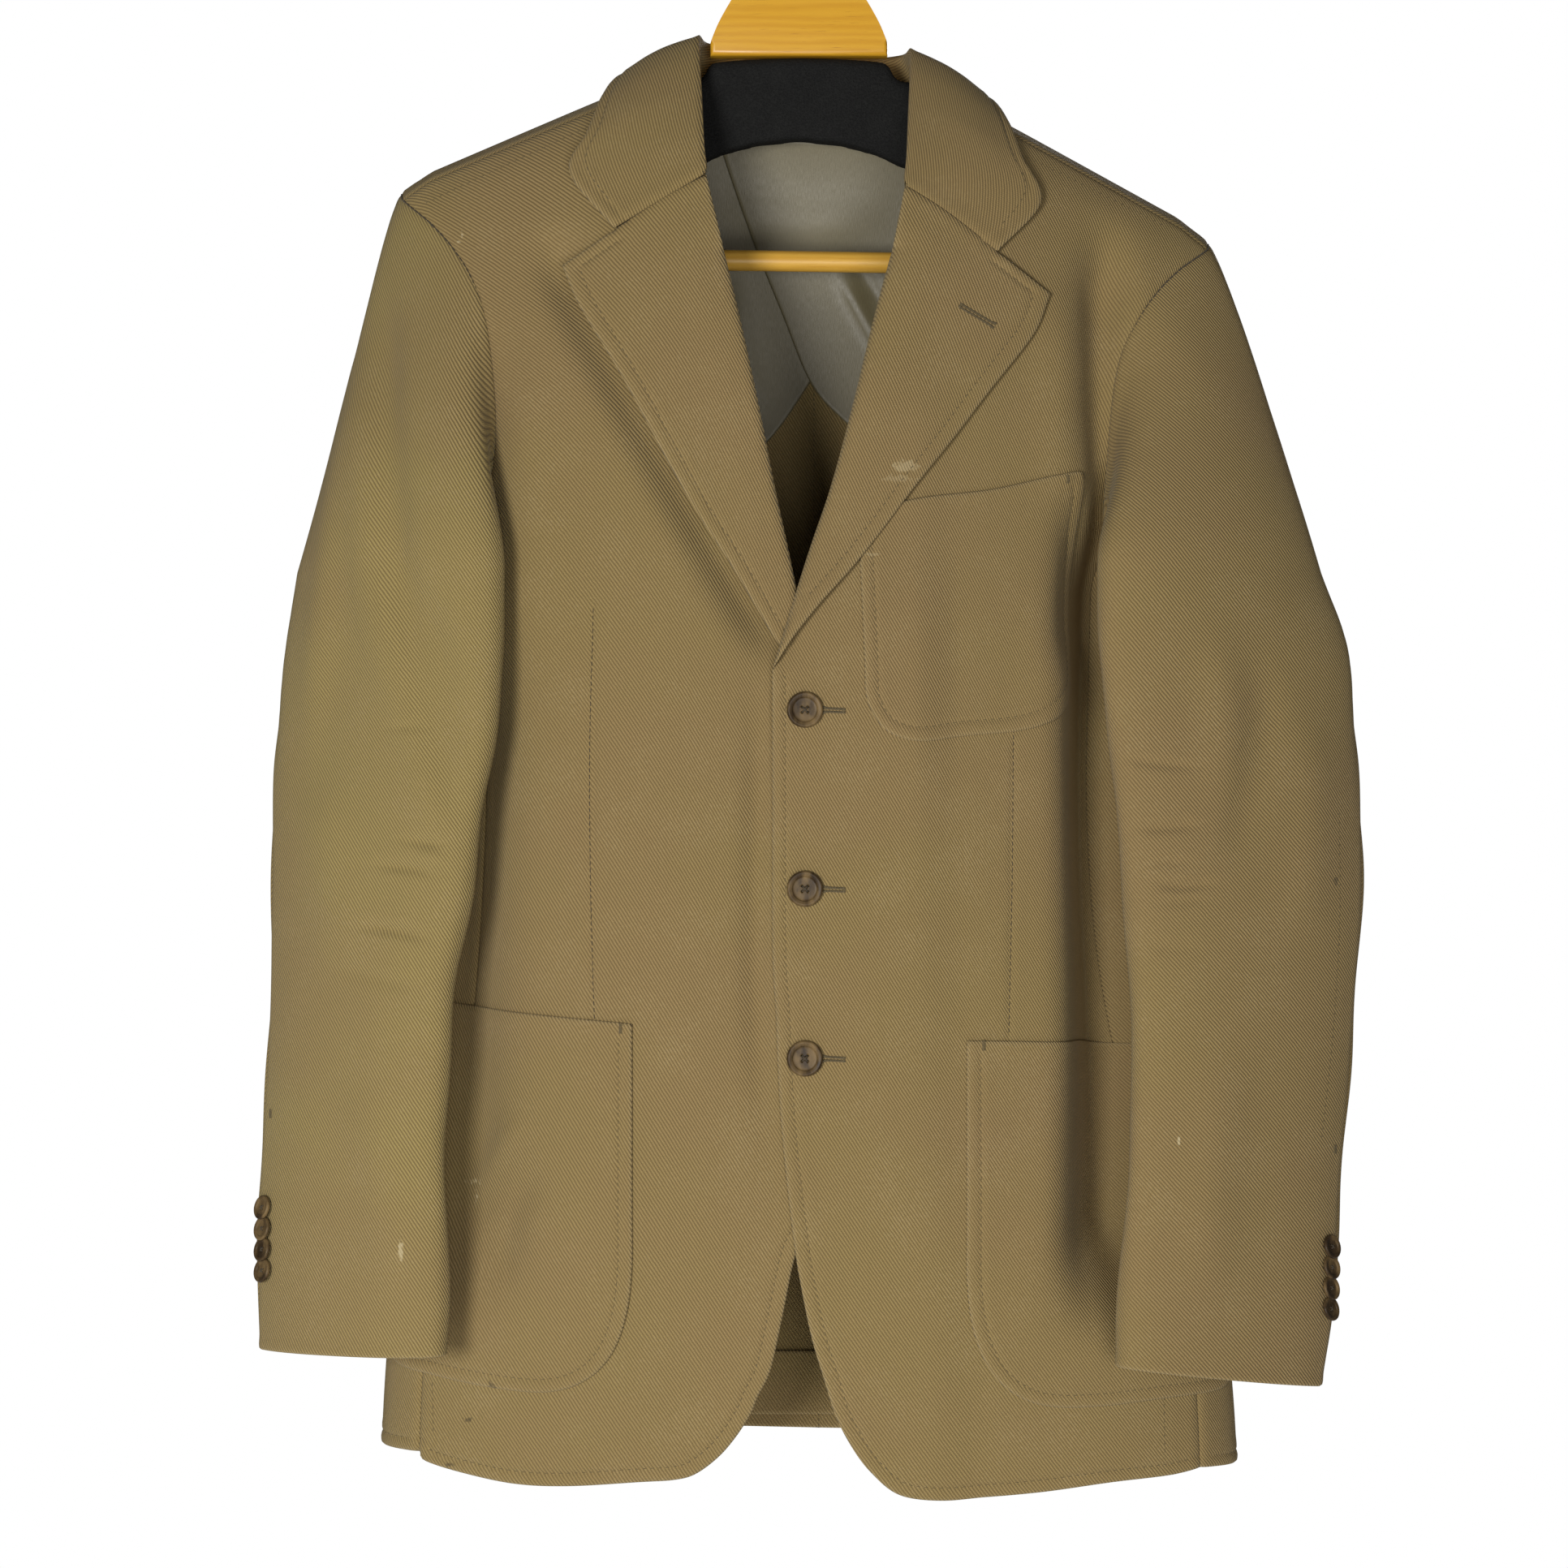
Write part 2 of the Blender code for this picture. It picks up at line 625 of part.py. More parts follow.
def level_place(sign, x, z):
    """Grid place of a point of the level jacket, on either side."""
    across, down = chart(x, z)
    return sign * across, down


def hem_row(sign, z):
    """Grid row of a height on the flank as the jacket hangs."""
    return chart_hung(sign * HEM_MEASURE_X, z)[1]


def make_fronts():
    """Fronts from shoulder seam to hem, and from the roll line to the side seam."""
    for sign, name in ((1, "front_left"), (-1, "front_right")):
        armhole = split(armhole_path(ARMHOLE_FRONT, -1, sign), 1, SHOULDER_SEAM + SHOULDER_STEP)[1]
        armhole = split(armhole, 0, FRONT_SEAM - SEAM_STEP)[0]
        hem = HEM_LEFT if sign > 0 else HEM_RIGHT
        edge = EDGE_LEFT if sign > 0 else EDGE_RIGHT
        roll = ROLL_LEFT if sign > 0 else ROLL_RIGHT
        outline = [(level_place(sign, *NECK_FRONT[-1])[0], SHOULDER_SEAM + SHOULDER_STEP)]
        outline += armhole
        outline.append((sign * (FRONT_SEAM - SEAM_STEP), hem_row(sign, SIDE_HEM_Z[sign])))
        outline += [chart_hung(x, z) for x, z in reversed(roll + edge + hem)]
        outline += [level_place(sign, x, z) for x, z in NECK_FRONT[:-1]]
        lift = left_front_lift if sign > 0 else no_lift
        panel(name, outline, front_sheet, -CLOTH, 0.0, lift)


def make_side_bodies():
    """Narrow side pieces round each flank, below the armhole."""
    for sign, name in ((1, "side_body_left"), (-1, "side_body_right")):
        front = split(armhole_path(ARMHOLE_FRONT, -1, sign), 0, FRONT_SEAM + SEAM_STEP)[1]
        back = split(armhole_path(ARMHOLE_BACK, 1, sign), 0, BACK_SEAM + SEAM_STEP)[1]
        outline = front + [(sign * 2 * FLANK - across, down) for across, down in reversed(back[:-1])]
        back_seam = sign * (2 * FLANK - BACK_SEAM - SEAM_STEP)
        outline.append((back_seam, hem_row(sign, BACK_HEM_Z)))
        outline.append((sign * FLANK, hem_row(sign, SIDE_HEM_Z[sign])))
        outline.append((sign * (FRONT_SEAM + SEAM_STEP), hem_row(sign, SIDE_HEM_Z[sign])))
        panel(name, outline, side_sheet, -CLOTH, 0.0)


def make_backs():
    """Back halves, over the shoulders to the seam in front, joined along the centre back."""
    for sign, name in ((1, "back_left"), (-1, "back_right")):
        strip = split(armhole_path(ARMHOLE_FRONT, -1, sign), 1, SHOULDER_SEAM - SHOULDER_STEP)[0]
        armhole = split(armhole_path(ARMHOLE_BACK, 1, sign), 0, BACK_SEAM - SEAM_STEP)[0]
        outline = [(level_place(sign, *NECK_FRONT[-1])[0], -SHOULDER_SEAM + SHOULDER_STEP)]
        outline += [(across, -down) for across, down in reversed(strip[1:])]
        outline += armhole
        outline.append((sign * (BACK_SEAM - SEAM_STEP), hem_row(sign, BACK_HEM_Z)))
        centre = BACK_SEAM_X + sign * 0.5 * SEAM_GAP
        outline.append(chart_hung(sign * 120.0, BACK_HEM_Z))
        outline.append(chart_hung(centre, BACK_HEM_Z))
        top = chart_hung(centre, NECK_BACK[-1][1])
        outline.append((top[0], chart(0.0, NECK_BACK[-1][1])[1]))
        neck = [level_place(sign, x, z) for x, z in reversed(NECK_BACK[:-1])]
        outline += neck
        panel(name, outline, back_sheet, -CLOTH, 0.0)


def make_lapels():
    """Lapels folded back on the fronts, from the gorge to the break above the top button."""
    for sign, name in ((1, "lapel_left"), (-1, "lapel_right")):
        roll = ROLL_LEFT if sign > 0 else ROLL_RIGHT
        edge = LAPEL_EDGE_LEFT if sign > 0 else LAPEL_EDGE_RIGHT
        seam = [blend(GORGE_INNER, NOTCH, step / GORGE_STEPS) for step in range(GORGE_STEPS + 1)]
        gorge = [level_place(sign, x, z - GORGE_GAP) for x, z in seam + [LAPEL_POINT]]
        outline = gorge + [chart_hung(x, z) for x, z in edge]
        outline += [chart_hung(x, z) for x, z in reversed(roll)]
        if sign > 0:
            panel(name, outline, front_sheet, 0.0, CLOTH, left_lapel_lift)
        else:
            panel(name, outline, front_sheet, LAPEL_GAP_RIGHT, LAPEL_GAP_RIGHT + CLOTH)


def make_pockets():
    """Patch pockets on the hips and on the left chest."""
    for sign, name in ((1, "hip_pocket_left"), (-1, "hip_pocket_right")):
        outline = [hang_place(sign, x, z) for x, z in HIP_POCKET]
        outline.append((sign * (HIP_POCKET_END - 0.35), outline[-1][1] - 0.06))
        outline.append((sign * HIP_POCKET_END, outline[-1][1] - 0.25))
        outline.append((sign * HIP_POCKET_END, hang_place(sign, SIDE_MEASURE_X, HIP_POCKET[0][1])[1]))
        panel(name, outline, front_sheet, POCKET_GAP, POCKET_GAP + CLOTH)
    outline = [chart_hung(x, z) for x, z in CHEST_POCKET]
    panel("chest_pocket", outline, front_sheet, POCKET_GAP, POCKET_GAP + CLOTH, left_front_lift)


def make_inside_back():
    """Crossed half linings below the shoulders, and the turned hem."""
    layers = ((1, "half_lining_left", LINING_EDGE_LEFT, LINING_GAP + LINING + LINING_GAP),
              (-1, "half_lining_right", LINING_EDGE_RIGHT, LINING_GAP))
    for sign, name, edge, depth in layers:
        outline = [chart_hung(x, z) for x, z in edge]
        outline += [level_place(sign, x, z) for x, z in LINING_SIDE]
        far = CLOTH + depth + LINING
        panel(name, outline, back_sheet, -far, -CLOTH - depth, finish_name="lining")
    reach = BACK_SEAM - FACING_STEP
    top = [chart_hung(x, HEM_FACING_Z[0])[1] for x in (-HEM_MEASURE_X, HEM_MEASURE_X)]
    low = [chart_hung(x, HEM_FACING_Z[1])[1] for x in (-HEM_MEASURE_X, HEM_MEASURE_X)]
    outline = [(-reach, top[0]), (reach, top[1]), (reach, low[1]), (-reach, low[0])]
    panel("back_hem_facing", outline, back_sheet, -2.0 * CLOTH - LINING_GAP, -CLOTH - LINING_GAP)


def collar_rows():
    """Collar table rows on both sides, smoothed, from the left gorge round to the right one."""
    mirrored = [tuple(-v if index % 3 == 0 else v for index, v in enumerate(row)) for row in COLLAR[1:]]
    return smooth_rows(list(reversed(COLLAR)) + mirrored, COLLAR_STEPS)


def make_collar():
    """Collar leaf that falls from the roll line, and the stand behind it."""
    rows = collar_rows()
    leaf, stand = [], []
    for index, row in enumerate(rows):
        before, after = rows[max(index - 1, 0)], rows[min(index + 1, len(rows) - 1)]
        roll, edge, foot = Vector(row[0:3]), Vector(row[3:6]), Vector(row[6:9])
        along = Vector(after[0:3]) - Vector(before[0:3])
        out = (edge - roll).cross(along).normalized()
        line = []
        bulge = COLLAR_BULGE * min(min(index, len(rows) - 1 - index) / (2.0 * COLLAR_STEPS), 1.0)
        for share in COLLAR_ROWS:
            point = roll.lerp(edge, share) + bulge * math.sin(math.pi * share) * out
            line.append(hung(*point))
        leaf.append(line)
        top = roll - STAND_SET * out + Vector((0.0, 0.0, -STAND_DROP))
        stand.append([hung(*top.lerp(foot, share)) for share in (0.0, 0.5, 1.0)])
    wall("collar", leaf, -CLOTH)
    wall("collar_stand", stand[COLLAR_STEPS:-COLLAR_STEPS], -CLOTH)


def arm_ring(sign, row):
    """Middle, outward and forward half axes and end heights of a sleeve section at a table row."""
    rows = SLEEVE_ROWS[sign]
    index = min(int(row), len(rows) - 2)
    outer_x, outer_z, inner_x, inner_z = blend(rows[index], rows[index + 1], row - index)
    share = row / (len(rows) - 1)
    outer = Vector((sign * outer_x, blend(SLEEVE_OUTER_Y[:1], SLEEVE_OUTER_Y[1:], share)[0], outer_z))
    inner = Vector((sign * inner_x, blend(SLEEVE_INNER_Y[:1], SLEEVE_INNER_Y[1:], share)[0], inner_z))
    half = 0.5 * (outer - inner)
    depth = blend(SLEEVE_DEPTH[:1], SLEEVE_DEPTH[1:], share)[0]
    forward = Vector((half.y * sign, -half.x * sign, 0.0)).normalized() * depth
    return 0.5 * (outer + inner), half, forward


def arm_point(sign, row, angle):
    """Point of a sleeve section, with the angle in degrees from its outer end round the front."""
    middle, outward, forward = arm_ring(sign, row)
    c, s = math.cos(math.radians(angle)), math.sin(math.radians(angle))
    power = 2.0 / SLEEVE_POWER
    return middle + math.copysign(abs(c) ** power, c) * outward + math.copysign(abs(s) ** power, s) * forward


def armhole_loop(sign):
    """Points, ways out of the body and normals round the armhole, down the front and up the back."""
    front = [on_sheet(front_sheet, *place, no_lift) for place in armhole_path(ARMHOLE_FRONT, -1, sign)]
    back = [on_sheet(back_sheet, *place, no_lift) for place in armhole_path(ARMHOLE_BACK, 1, sign)]
    loop = front + list(reversed(back))[1:-1]
    out = []
    for index, (point, normal) in enumerate(loop):
        along = loop[(index + 1) % len(loop)][0] - loop[index - 1][0]
        away = along.cross(normal).normalized() * sign
        out.append((point, -away, normal.normalized()))
    return out


def sleeve_grid(sign):
    """Rings of points from the armhole to the cuff."""
    loop = armhole_loop(sign)
    count = len(loop)
    angles = [interpolate(SLEEVE_HEAD, index / count, 1) for index in range(count)]
    grid = []
    for t in SLEEVE_HEAD_STEPS:
        ring = []
        for index, (point, away, normal) in enumerate(loop):
            share = index / count
            start = point + ARMHOLE_GAP * away
            pull = interpolate(SLEEVE_HEAD, share, 2) * away + interpolate(SLEEVE_HEAD, share, 3) * normal
            end = arm_point(sign, 0, angles[index])
            reach = (end - start).length
            lean = ARM_LEAN * max(math.cos(math.radians(angles[index])), 0.0)
            first = start + HEAD_PULL * pull.normalized()
            second = end + ARM_PULL * reach * Vector((-sign * lean, 0.0, 1.0))
            ring.append((1 - t) ** 3 * start + 3 * t * (1 - t) ** 2 * first
                        + 3 * t * t * (1 - t) * second + t ** 3 * end)
        grid.append(ring)
    for row in range(len(SLEEVE_ROWS[sign])):
        turn = SLEEVE_TURN * min(row / SLEEVE_TURN_ROWS, 1.0)
        grid.append([arm_point(sign, row, angle + turn) for angle in angles])
    return grid


def ring_normals(grid):
    """Outward normals of closed rings."""
    out = []
    for row, ring in enumerate(grid):
        above, below = grid[max(row - 1, 0)], grid[min(row + 1, len(grid) - 1)]
        middle = sum(ring, Vector()) / len(ring)
        line = []
        for index, point in enumerate(ring):
            along = ring[(index + 1) % len(ring)] - ring[index - 1]
            normal = along.cross(below[index] - above[index]).normalized()
            line.append(normal)
        facing = sum((point - middle).dot(normal) for point, normal in zip(ring, line))
        out.append([normal if facing > 0 else -normal for normal in line])
    return out


def make_sleeves():
    """Top and under sleeve on each side."""
    for sign, side in ((1, "left"), (-1, "right")):
        grid = sleeve_grid(sign)
        normals = ring_normals(grid)
        count = len(grid[0])
        first, last = UNDER_SLEEVE
        for name, start, end in (("top_sleeve_", last - count, first), ("under_sleeve_", first, last)):
            strip, facing = [], []
            for ring, line in zip(grid, normals):
                points = [ring[index % count] for index in range(start, end + 1)]
                points[0] = points[0] + 0.5 * SLEEVE_SEAM_GAP * (points[1] - points[0]).normalized()
                points[-1] = points[-1] + 0.5 * SLEEVE_SEAM_GAP * (points[-2] - points[-1]).normalized()
                strip.append(points)
                facing.append([line[index % count] for index in range(start, end + 1)])
            wall(name + side, strip, CLOTH, normals=facing)


def make_button(name, sizes, sides, place, normal):
    """A turned button with a raised rim, its back at the given place."""
    radius, inner, thickness = sizes
    profile = ((0.92 * radius, 0.0), (radius, 0.3 * thickness), (0.98 * radius, 0.8 * thickness),
               (0.88 * radius, thickness), (inner, 0.9 * thickness), (0.85 * inner, 0.6 * thickness))
    bm = bmesh.new()
    rings = []
    for reach, height in profile:
        rings.append([bm.verts.new((reach * math.cos(math.tau * k / sides),
                                    reach * math.sin(math.tau * k / sides), height)) for k in range(sides)])
    for low, high in zip(rings, rings[1:]):
        for k in range(sides):
            bm.faces.new((low[k], low[(k + 1) % sides], high[(k + 1) % sides], high[k]))
    bm.faces.new(list(reversed(rings[0])))
    bm.faces.new(rings[-1])
    turn = normal.to_track_quat("Z", "Y").to_matrix().to_4x4()
    bmesh.ops.transform(bm, matrix=turn, verts=bm.verts)
    bmesh.ops.translate(bm, vec=place, verts=bm.verts)
    finish(name, bm, "horn")


def make_buttons():
    """Three front buttons, and four overlapping buttons on each cuff."""
    for number, z in enumerate(FRONT_BUTTON_Z, 1):
        place, normal = on_sheet(front_sheet, *chart_hung(FRONT_BUTTON_X, z), left_front_lift)
        normal.normalize()
        make_button(f"front_button_{number}", FRONT_BUTTON, BUTTON_SIDES, place + BUTTON_GAP * normal, normal)
    for sign, side in ((1, "left"), (-1, "right")):
        x, top = CUFF_BUTTONS[sign]
        for number in range(4):
            place, normal = cuff_place(sign, x, top - CUFF_BUTTON_STEP * number)
            across = normal.cross(Vector((0.0, 0.0, 1.0))).normalized()
            tilted = normal.copy()
            tilted.rotate(Matrix.Rotation(CUFF_BUTTON_TILT, 3, across))
            lift = CUFF_BUTTON[0] * math.sin(CUFF_BUTTON_TILT) + BUTTON_GAP
            make_button(f"cuff_button_{side}_{number + 1}", CUFF_BUTTON, CUFF_BUTTON_SIDES,
                        place + lift * normal, tilted)


def cuff_place(sign, x, z):
    """Point and normal on the front of a sleeve near its outer edge."""
    rows = SLEEVE_ROWS[sign]
    row = place_in([-line[1] for line in rows], -z)
    middle, outward, forward = arm_ring(sign, row)
    share = min((abs(x) - abs(middle.x)) / abs(outward.x), 0.98)
    angle = math.degrees(math.acos(share ** (SLEEVE_POWER / 2.0)))
    before, after = arm_point(sign, row, angle - 8.0), arm_point(sign, row, angle + 8.0)
    normal = (after - before).cross(Vector((0.0, 0.0, 1.0))).normalized()
    point = arm_point(sign, row, angle)
    if normal.dot(point - middle) < 0:
        normal = -normal
    return point, normal


def loft(name, rings, finish_name):
    """A solid through rings of points, closed at both ends."""
    bm = bmesh.new()
    made = [[bm.verts.new(point) for point in ring] for ring in rings]
    count = len(made[0])
    for low, high in zip(made, made[1:]):
        for k in range(count):
            bm.faces.new((low[k], low[(k + 1) % count], high[(k + 1) % count], high[k]))
    bm.faces.new(made[0])
    bm.faces.new(made[-1])
    bmesh.ops.recalc_face_normals(bm, faces=bm.faces)
    finish(name, bm, finish_name)


def arm_section(sign, x, underside):
    """Section of the hanger's arm under the shoulder, its top side just inside the cloth."""
    low = underside - BAR_SLOPE * sign * x
    section = []
    for side, drop in ((-1, ARM_DROP), (-1, 0.4 * ARM_DROP), (1, 0.0), (1, 0.4 * ARM_DROP), (1, ARM_DROP)):
        across, down = level_place(sign, x, ridge(x) - drop)
        sheet = front_sheet if side < 0 else back_sheet
        point, normal = on_sheet(sheet, across, down, no_lift)
        section.append(point - (CLOTH + ARM_CLEAR) * normal)
    middle_x = section[2].x
    section.append(Vector((middle_x, ARM_FOOT, low)))
    section.append(Vector((middle_x, -ARM_FOOT, low)))
    return section


def make_hanger():
    """Wooden neck with a steel hook, foam-covered arms and a trouser bar."""
    rings = []
    for x, underside in zip(reversed(ARM_SHOULDER), reversed(ARM_UNDERSIDE)):
        rings.append(arm_section(-1, x, underside))
    middle = [(-row[0],) + row[1:] for row in reversed(ARM_ROWS[1:])] + list(ARM_ROWS)
    for x, top, under, half in middle:
        rings.append([Vector((x, -half, top - 5.0)), Vector((x, -0.6 * half, top - 1.0)), Vector((x, 0.0, top)),
                      Vector((x, 0.6 * half, top - 1.0)), Vector((x, half, top - 5.0)),
                      Vector((x, 0.8 * half, under)), Vector((x, -0.8 * half, under))])
    for x, underside in zip(ARM_SHOULDER, ARM_UNDERSIDE):
        rings.append(arm_section(1, x, underside))
    loft("hanger_arms", rings, "foam")
    outline = [(x + NECK_PLATE_X, z) for x, z in NECK_PLATE]
    outline += [(NECK_PLATE_X - x, z) for x, z in reversed(NECK_PLATE)]
    half = 0.5 * NECK_PLATE_DEPTH
    loft("hanger_neck", [[Vector((x, y, z)) for x, z in outline] for y in (-half, half)], "wood")
    bar = []
    for x in (-BAR_HALF, BAR_HALF):
        bar.append([Vector((x, BAR_RADIUS * math.cos(math.tau * k / BAR_SIDES),
                            BAR_Z - BAR_SLOPE * x + BAR_RADIUS * math.sin(math.tau * k / BAR_SIDES)))
                    for k in range(BAR_SIDES)])
    loft("trouser_bar", bar, "wood")
    make_hook()


def make_hook():
    """Bent wire hook; the inner top of its bend is the origin."""
    reach = HOOK_RADIUS + HOOK_WIRE
    points = [(0.0, HOOK_FOOT_Z), (0.0, -62.0), (1.0, -55.0), (5.0, -48.5), (10.5, -43.0)]
    for step in range(HOOK_STEPS + 1):
        angle = math.radians(HOOK_START + (HOOK_END - HOOK_START) * step / HOOK_STEPS)
        points.append((reach * math.cos(angle), HOOK_CENTRE_Z + reach * math.sin(angle)))
    curve = bpy.data.curves.new("hook", "CURVE")
    curve.dimensions = "3D"
    curve.bevel_depth = HOOK_WIRE * MM
    curve.bevel_resolution = 2
    curve.use_fill_caps = True
    spline = curve.splines.new("POLY")
    spline.points.add(len(points) - 1)
    for point, (x, z) in zip(spline.points, points):
        point.co = (x * MM, 0.0, z * MM, 1.0)
    curve.materials.append(material("steel"))
    bpy.context.scene.collection.objects.link(bpy.data.objects.new("hook", curve))


def build():
    """Model every piece."""
    for old in list(bpy.data.objects):
        bpy.data.objects.remove(old)
    make_fronts()
    make_side_bodies()
    make_backs()
    make_lapels()
    make_pockets()
    make_inside_back()
    make_collar()
    make_sleeves()
    make_buttons()
    make_hanger()


build()
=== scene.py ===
"""Looks of a three-button cotton twill jacket on a wooden hanger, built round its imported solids.

Sizes are in millimetres, in the frame of the solids, and become metres when a mesh is made. The
origin is the inner top of the hanger's hook, +Z is up and the front of the jacket faces -Y. Left and
right are the wearer's, so the wearer's left is at +X. Every cloth piece is a thin shell on a smooth
form: one form for the body, one for each sleeve and one for the collar.
"""

import json
import logging
import math
from dataclasses import dataclass, field
from enum import Enum
from typing import Callable, Sequence

import bmesh
import bpy
import numpy as np
from mathutils import Matrix, Vector
from mathutils.geometry import delaunay_2d_cdt

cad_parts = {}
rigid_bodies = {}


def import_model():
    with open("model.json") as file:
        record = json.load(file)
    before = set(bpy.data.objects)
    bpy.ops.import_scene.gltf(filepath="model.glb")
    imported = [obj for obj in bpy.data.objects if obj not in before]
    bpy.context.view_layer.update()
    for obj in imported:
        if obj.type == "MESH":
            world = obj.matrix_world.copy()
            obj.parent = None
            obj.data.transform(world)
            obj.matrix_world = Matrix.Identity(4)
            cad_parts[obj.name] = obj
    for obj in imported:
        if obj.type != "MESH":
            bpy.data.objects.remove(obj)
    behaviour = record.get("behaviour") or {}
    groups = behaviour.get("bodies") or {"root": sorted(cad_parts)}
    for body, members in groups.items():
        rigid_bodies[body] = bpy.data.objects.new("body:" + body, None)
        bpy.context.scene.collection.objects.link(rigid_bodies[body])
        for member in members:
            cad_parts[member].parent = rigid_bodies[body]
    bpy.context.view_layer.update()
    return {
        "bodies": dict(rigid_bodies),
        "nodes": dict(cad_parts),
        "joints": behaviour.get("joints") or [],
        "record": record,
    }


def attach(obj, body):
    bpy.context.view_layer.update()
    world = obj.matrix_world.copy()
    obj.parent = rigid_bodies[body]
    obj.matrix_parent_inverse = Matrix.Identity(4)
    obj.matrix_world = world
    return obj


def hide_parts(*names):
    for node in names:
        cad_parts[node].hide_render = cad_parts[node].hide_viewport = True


LOG = logging.getLogger("jacket")
MM = 0.001

CLOTH = 2.0
LINING = 1.0
MESH_STEP = 3.6
EDGE_STEP = 2.6
FINE_STEP = 3.2
EDGE_ROUND = 0.42
WEAR_REACH = 1.3
STITCH_INSET = 7.7
CLOTH_MAP = "cloth"
WEAR = "wear"

Points = np.ndarray
Point = tuple[float, float]
Path = Sequence[Point]


class Side(Enum):
    """The wearer's side; the value is the sign of x."""

    LEFT = 1
    RIGHT = -1


class Sheet(Enum):
    """The half of the body form that a piece starts on; the value is the sign of its outward y."""

    FRONT = -1
    BACK = 1


class EdgeKind(Enum):
    """How a piece of cloth ends along an edge."""

    TURNED = "folded under and stitched"
    FOLDED = "folded, without stitching"
    SEAM = "sewn to the next piece"
    HIDDEN = "under another piece"


def smooth_path(points: Sequence[Sequence[float]], steps: int = 8) -> Points:
    """Run a smooth curve through points.

    Args:
        points: Places in any number of coordinates.
        steps: Steps between two places.

    Returns:
        The curve's points, one row each.
    """
    rows = np.asarray(points, float)
    if len(rows) < 3:
        return rows
    padded = np.vstack((2 * rows[0] - rows[1], rows, 2 * rows[-1] - rows[-2]))
    out = []
    for before, start, end, after in zip(padded, padded[1:], padded[2:], padded[3:]):
        for step in range(steps):
            t = step / steps
            out.append(0.5 * (2 * start + (end - before) * t
                              + (2 * before - 5 * start + 4 * end - after) * t * t
                              + (3 * start - before - 3 * end + after) * t ** 3))
    out.append(rows[-1])
    return np.array(out)


def resample(path: Points, step: float) -> Points:
    """Place points evenly along a path.

    Args:
        path: Points of the path.
        step: Wanted distance between points.

    Returns:
        Points at even distances, with both ends kept.
    """
    lengths = np.concatenate(([0.0], np.cumsum(np.linalg.norm(np.diff(path, axis=0), axis=1))))
    count = max(int(round(lengths[-1] / step)), 1)
    places = np.linspace(0.0, lengths[-1], count + 1)
    return np.stack([np.interp(places, lengths, path[:, axis]) for axis in range(path.shape[1])], axis=1)


def distance_to(points: Points, path: Points) -> tuple[Points, Points]:
    """Measure how far points lie from a path.

    Args:
        points: Flat points.
        path: Flat points of the path.

    Returns:
        The distance of each point, and its place along the path as a share of its length.
    """
    best = np.full(len(points), 1e9)
    share = np.zeros(len(points))
    steps = np.linalg.norm(np.diff(path, axis=0), axis=1)
    total = max(steps.sum(), 1e-9)
    run = 0.0
    for start, end, length in zip(path, path[1:], steps):
        if length < 1e-9:
            continue
        along = np.clip(((points - start) @ (end - start)) / length ** 2, 0.0, 1.0)
        gap = np.linalg.norm(points - start - along[:, None] * (end - start), axis=1)
        nearer = gap < best
        best[nearer] = gap[nearer]
        share[nearer] = (run + along[nearer] * length) / total
        run += length
    return best, share


def inside(points: Points, outline: Points) -> Points:
    """Tell which flat points lie within a closed outline."""
    found = np.zeros(len(points), bool)
    for start, end in zip(outline, np.roll(outline, -1, axis=0)):
        crosses = (start[1] > points[:, 1]) != (end[1] > points[:, 1])
        rise = end[1] - start[1] if end[1] != start[1] else 1e-12
        reach = start[0] + (points[:, 1] - start[1]) * (end[0] - start[0]) / rise
        found ^= crosses & (points[:, 0] < reach)
    return found


def unit(vectors: Points) -> Points:
    """Scale each row to length one."""
    return vectors / np.maximum(np.linalg.norm(vectors, axis=-1, keepdims=True), 1e-9)


@dataclass(frozen=True)
class Crease:
    """A soft trough or ridge in the cloth, along a path seen from the front.

    Attributes:
        path: x and z of its course.
        height: How far it stands out, or in where negative.
        width: Half width.
        taper: Share of the length over which each end fades.
    """

    path: Path
    height: float
    width: float
    taper: float = 0.35

    def lift(self, x: Points, z: Points) -> Points:
        """Find how far the crease moves the cloth at places seen from the front."""
        gap, share = distance_to(np.stack((x, z), axis=1), smooth_path(self.path, 4))
        fade = np.clip(np.minimum(share, 1.0 - share) / self.taper, 0.0, 1.0)
        return self.height * np.exp(-(gap / self.width) ** 2) * np.sin(0.5 * math.pi * fade) ** 2


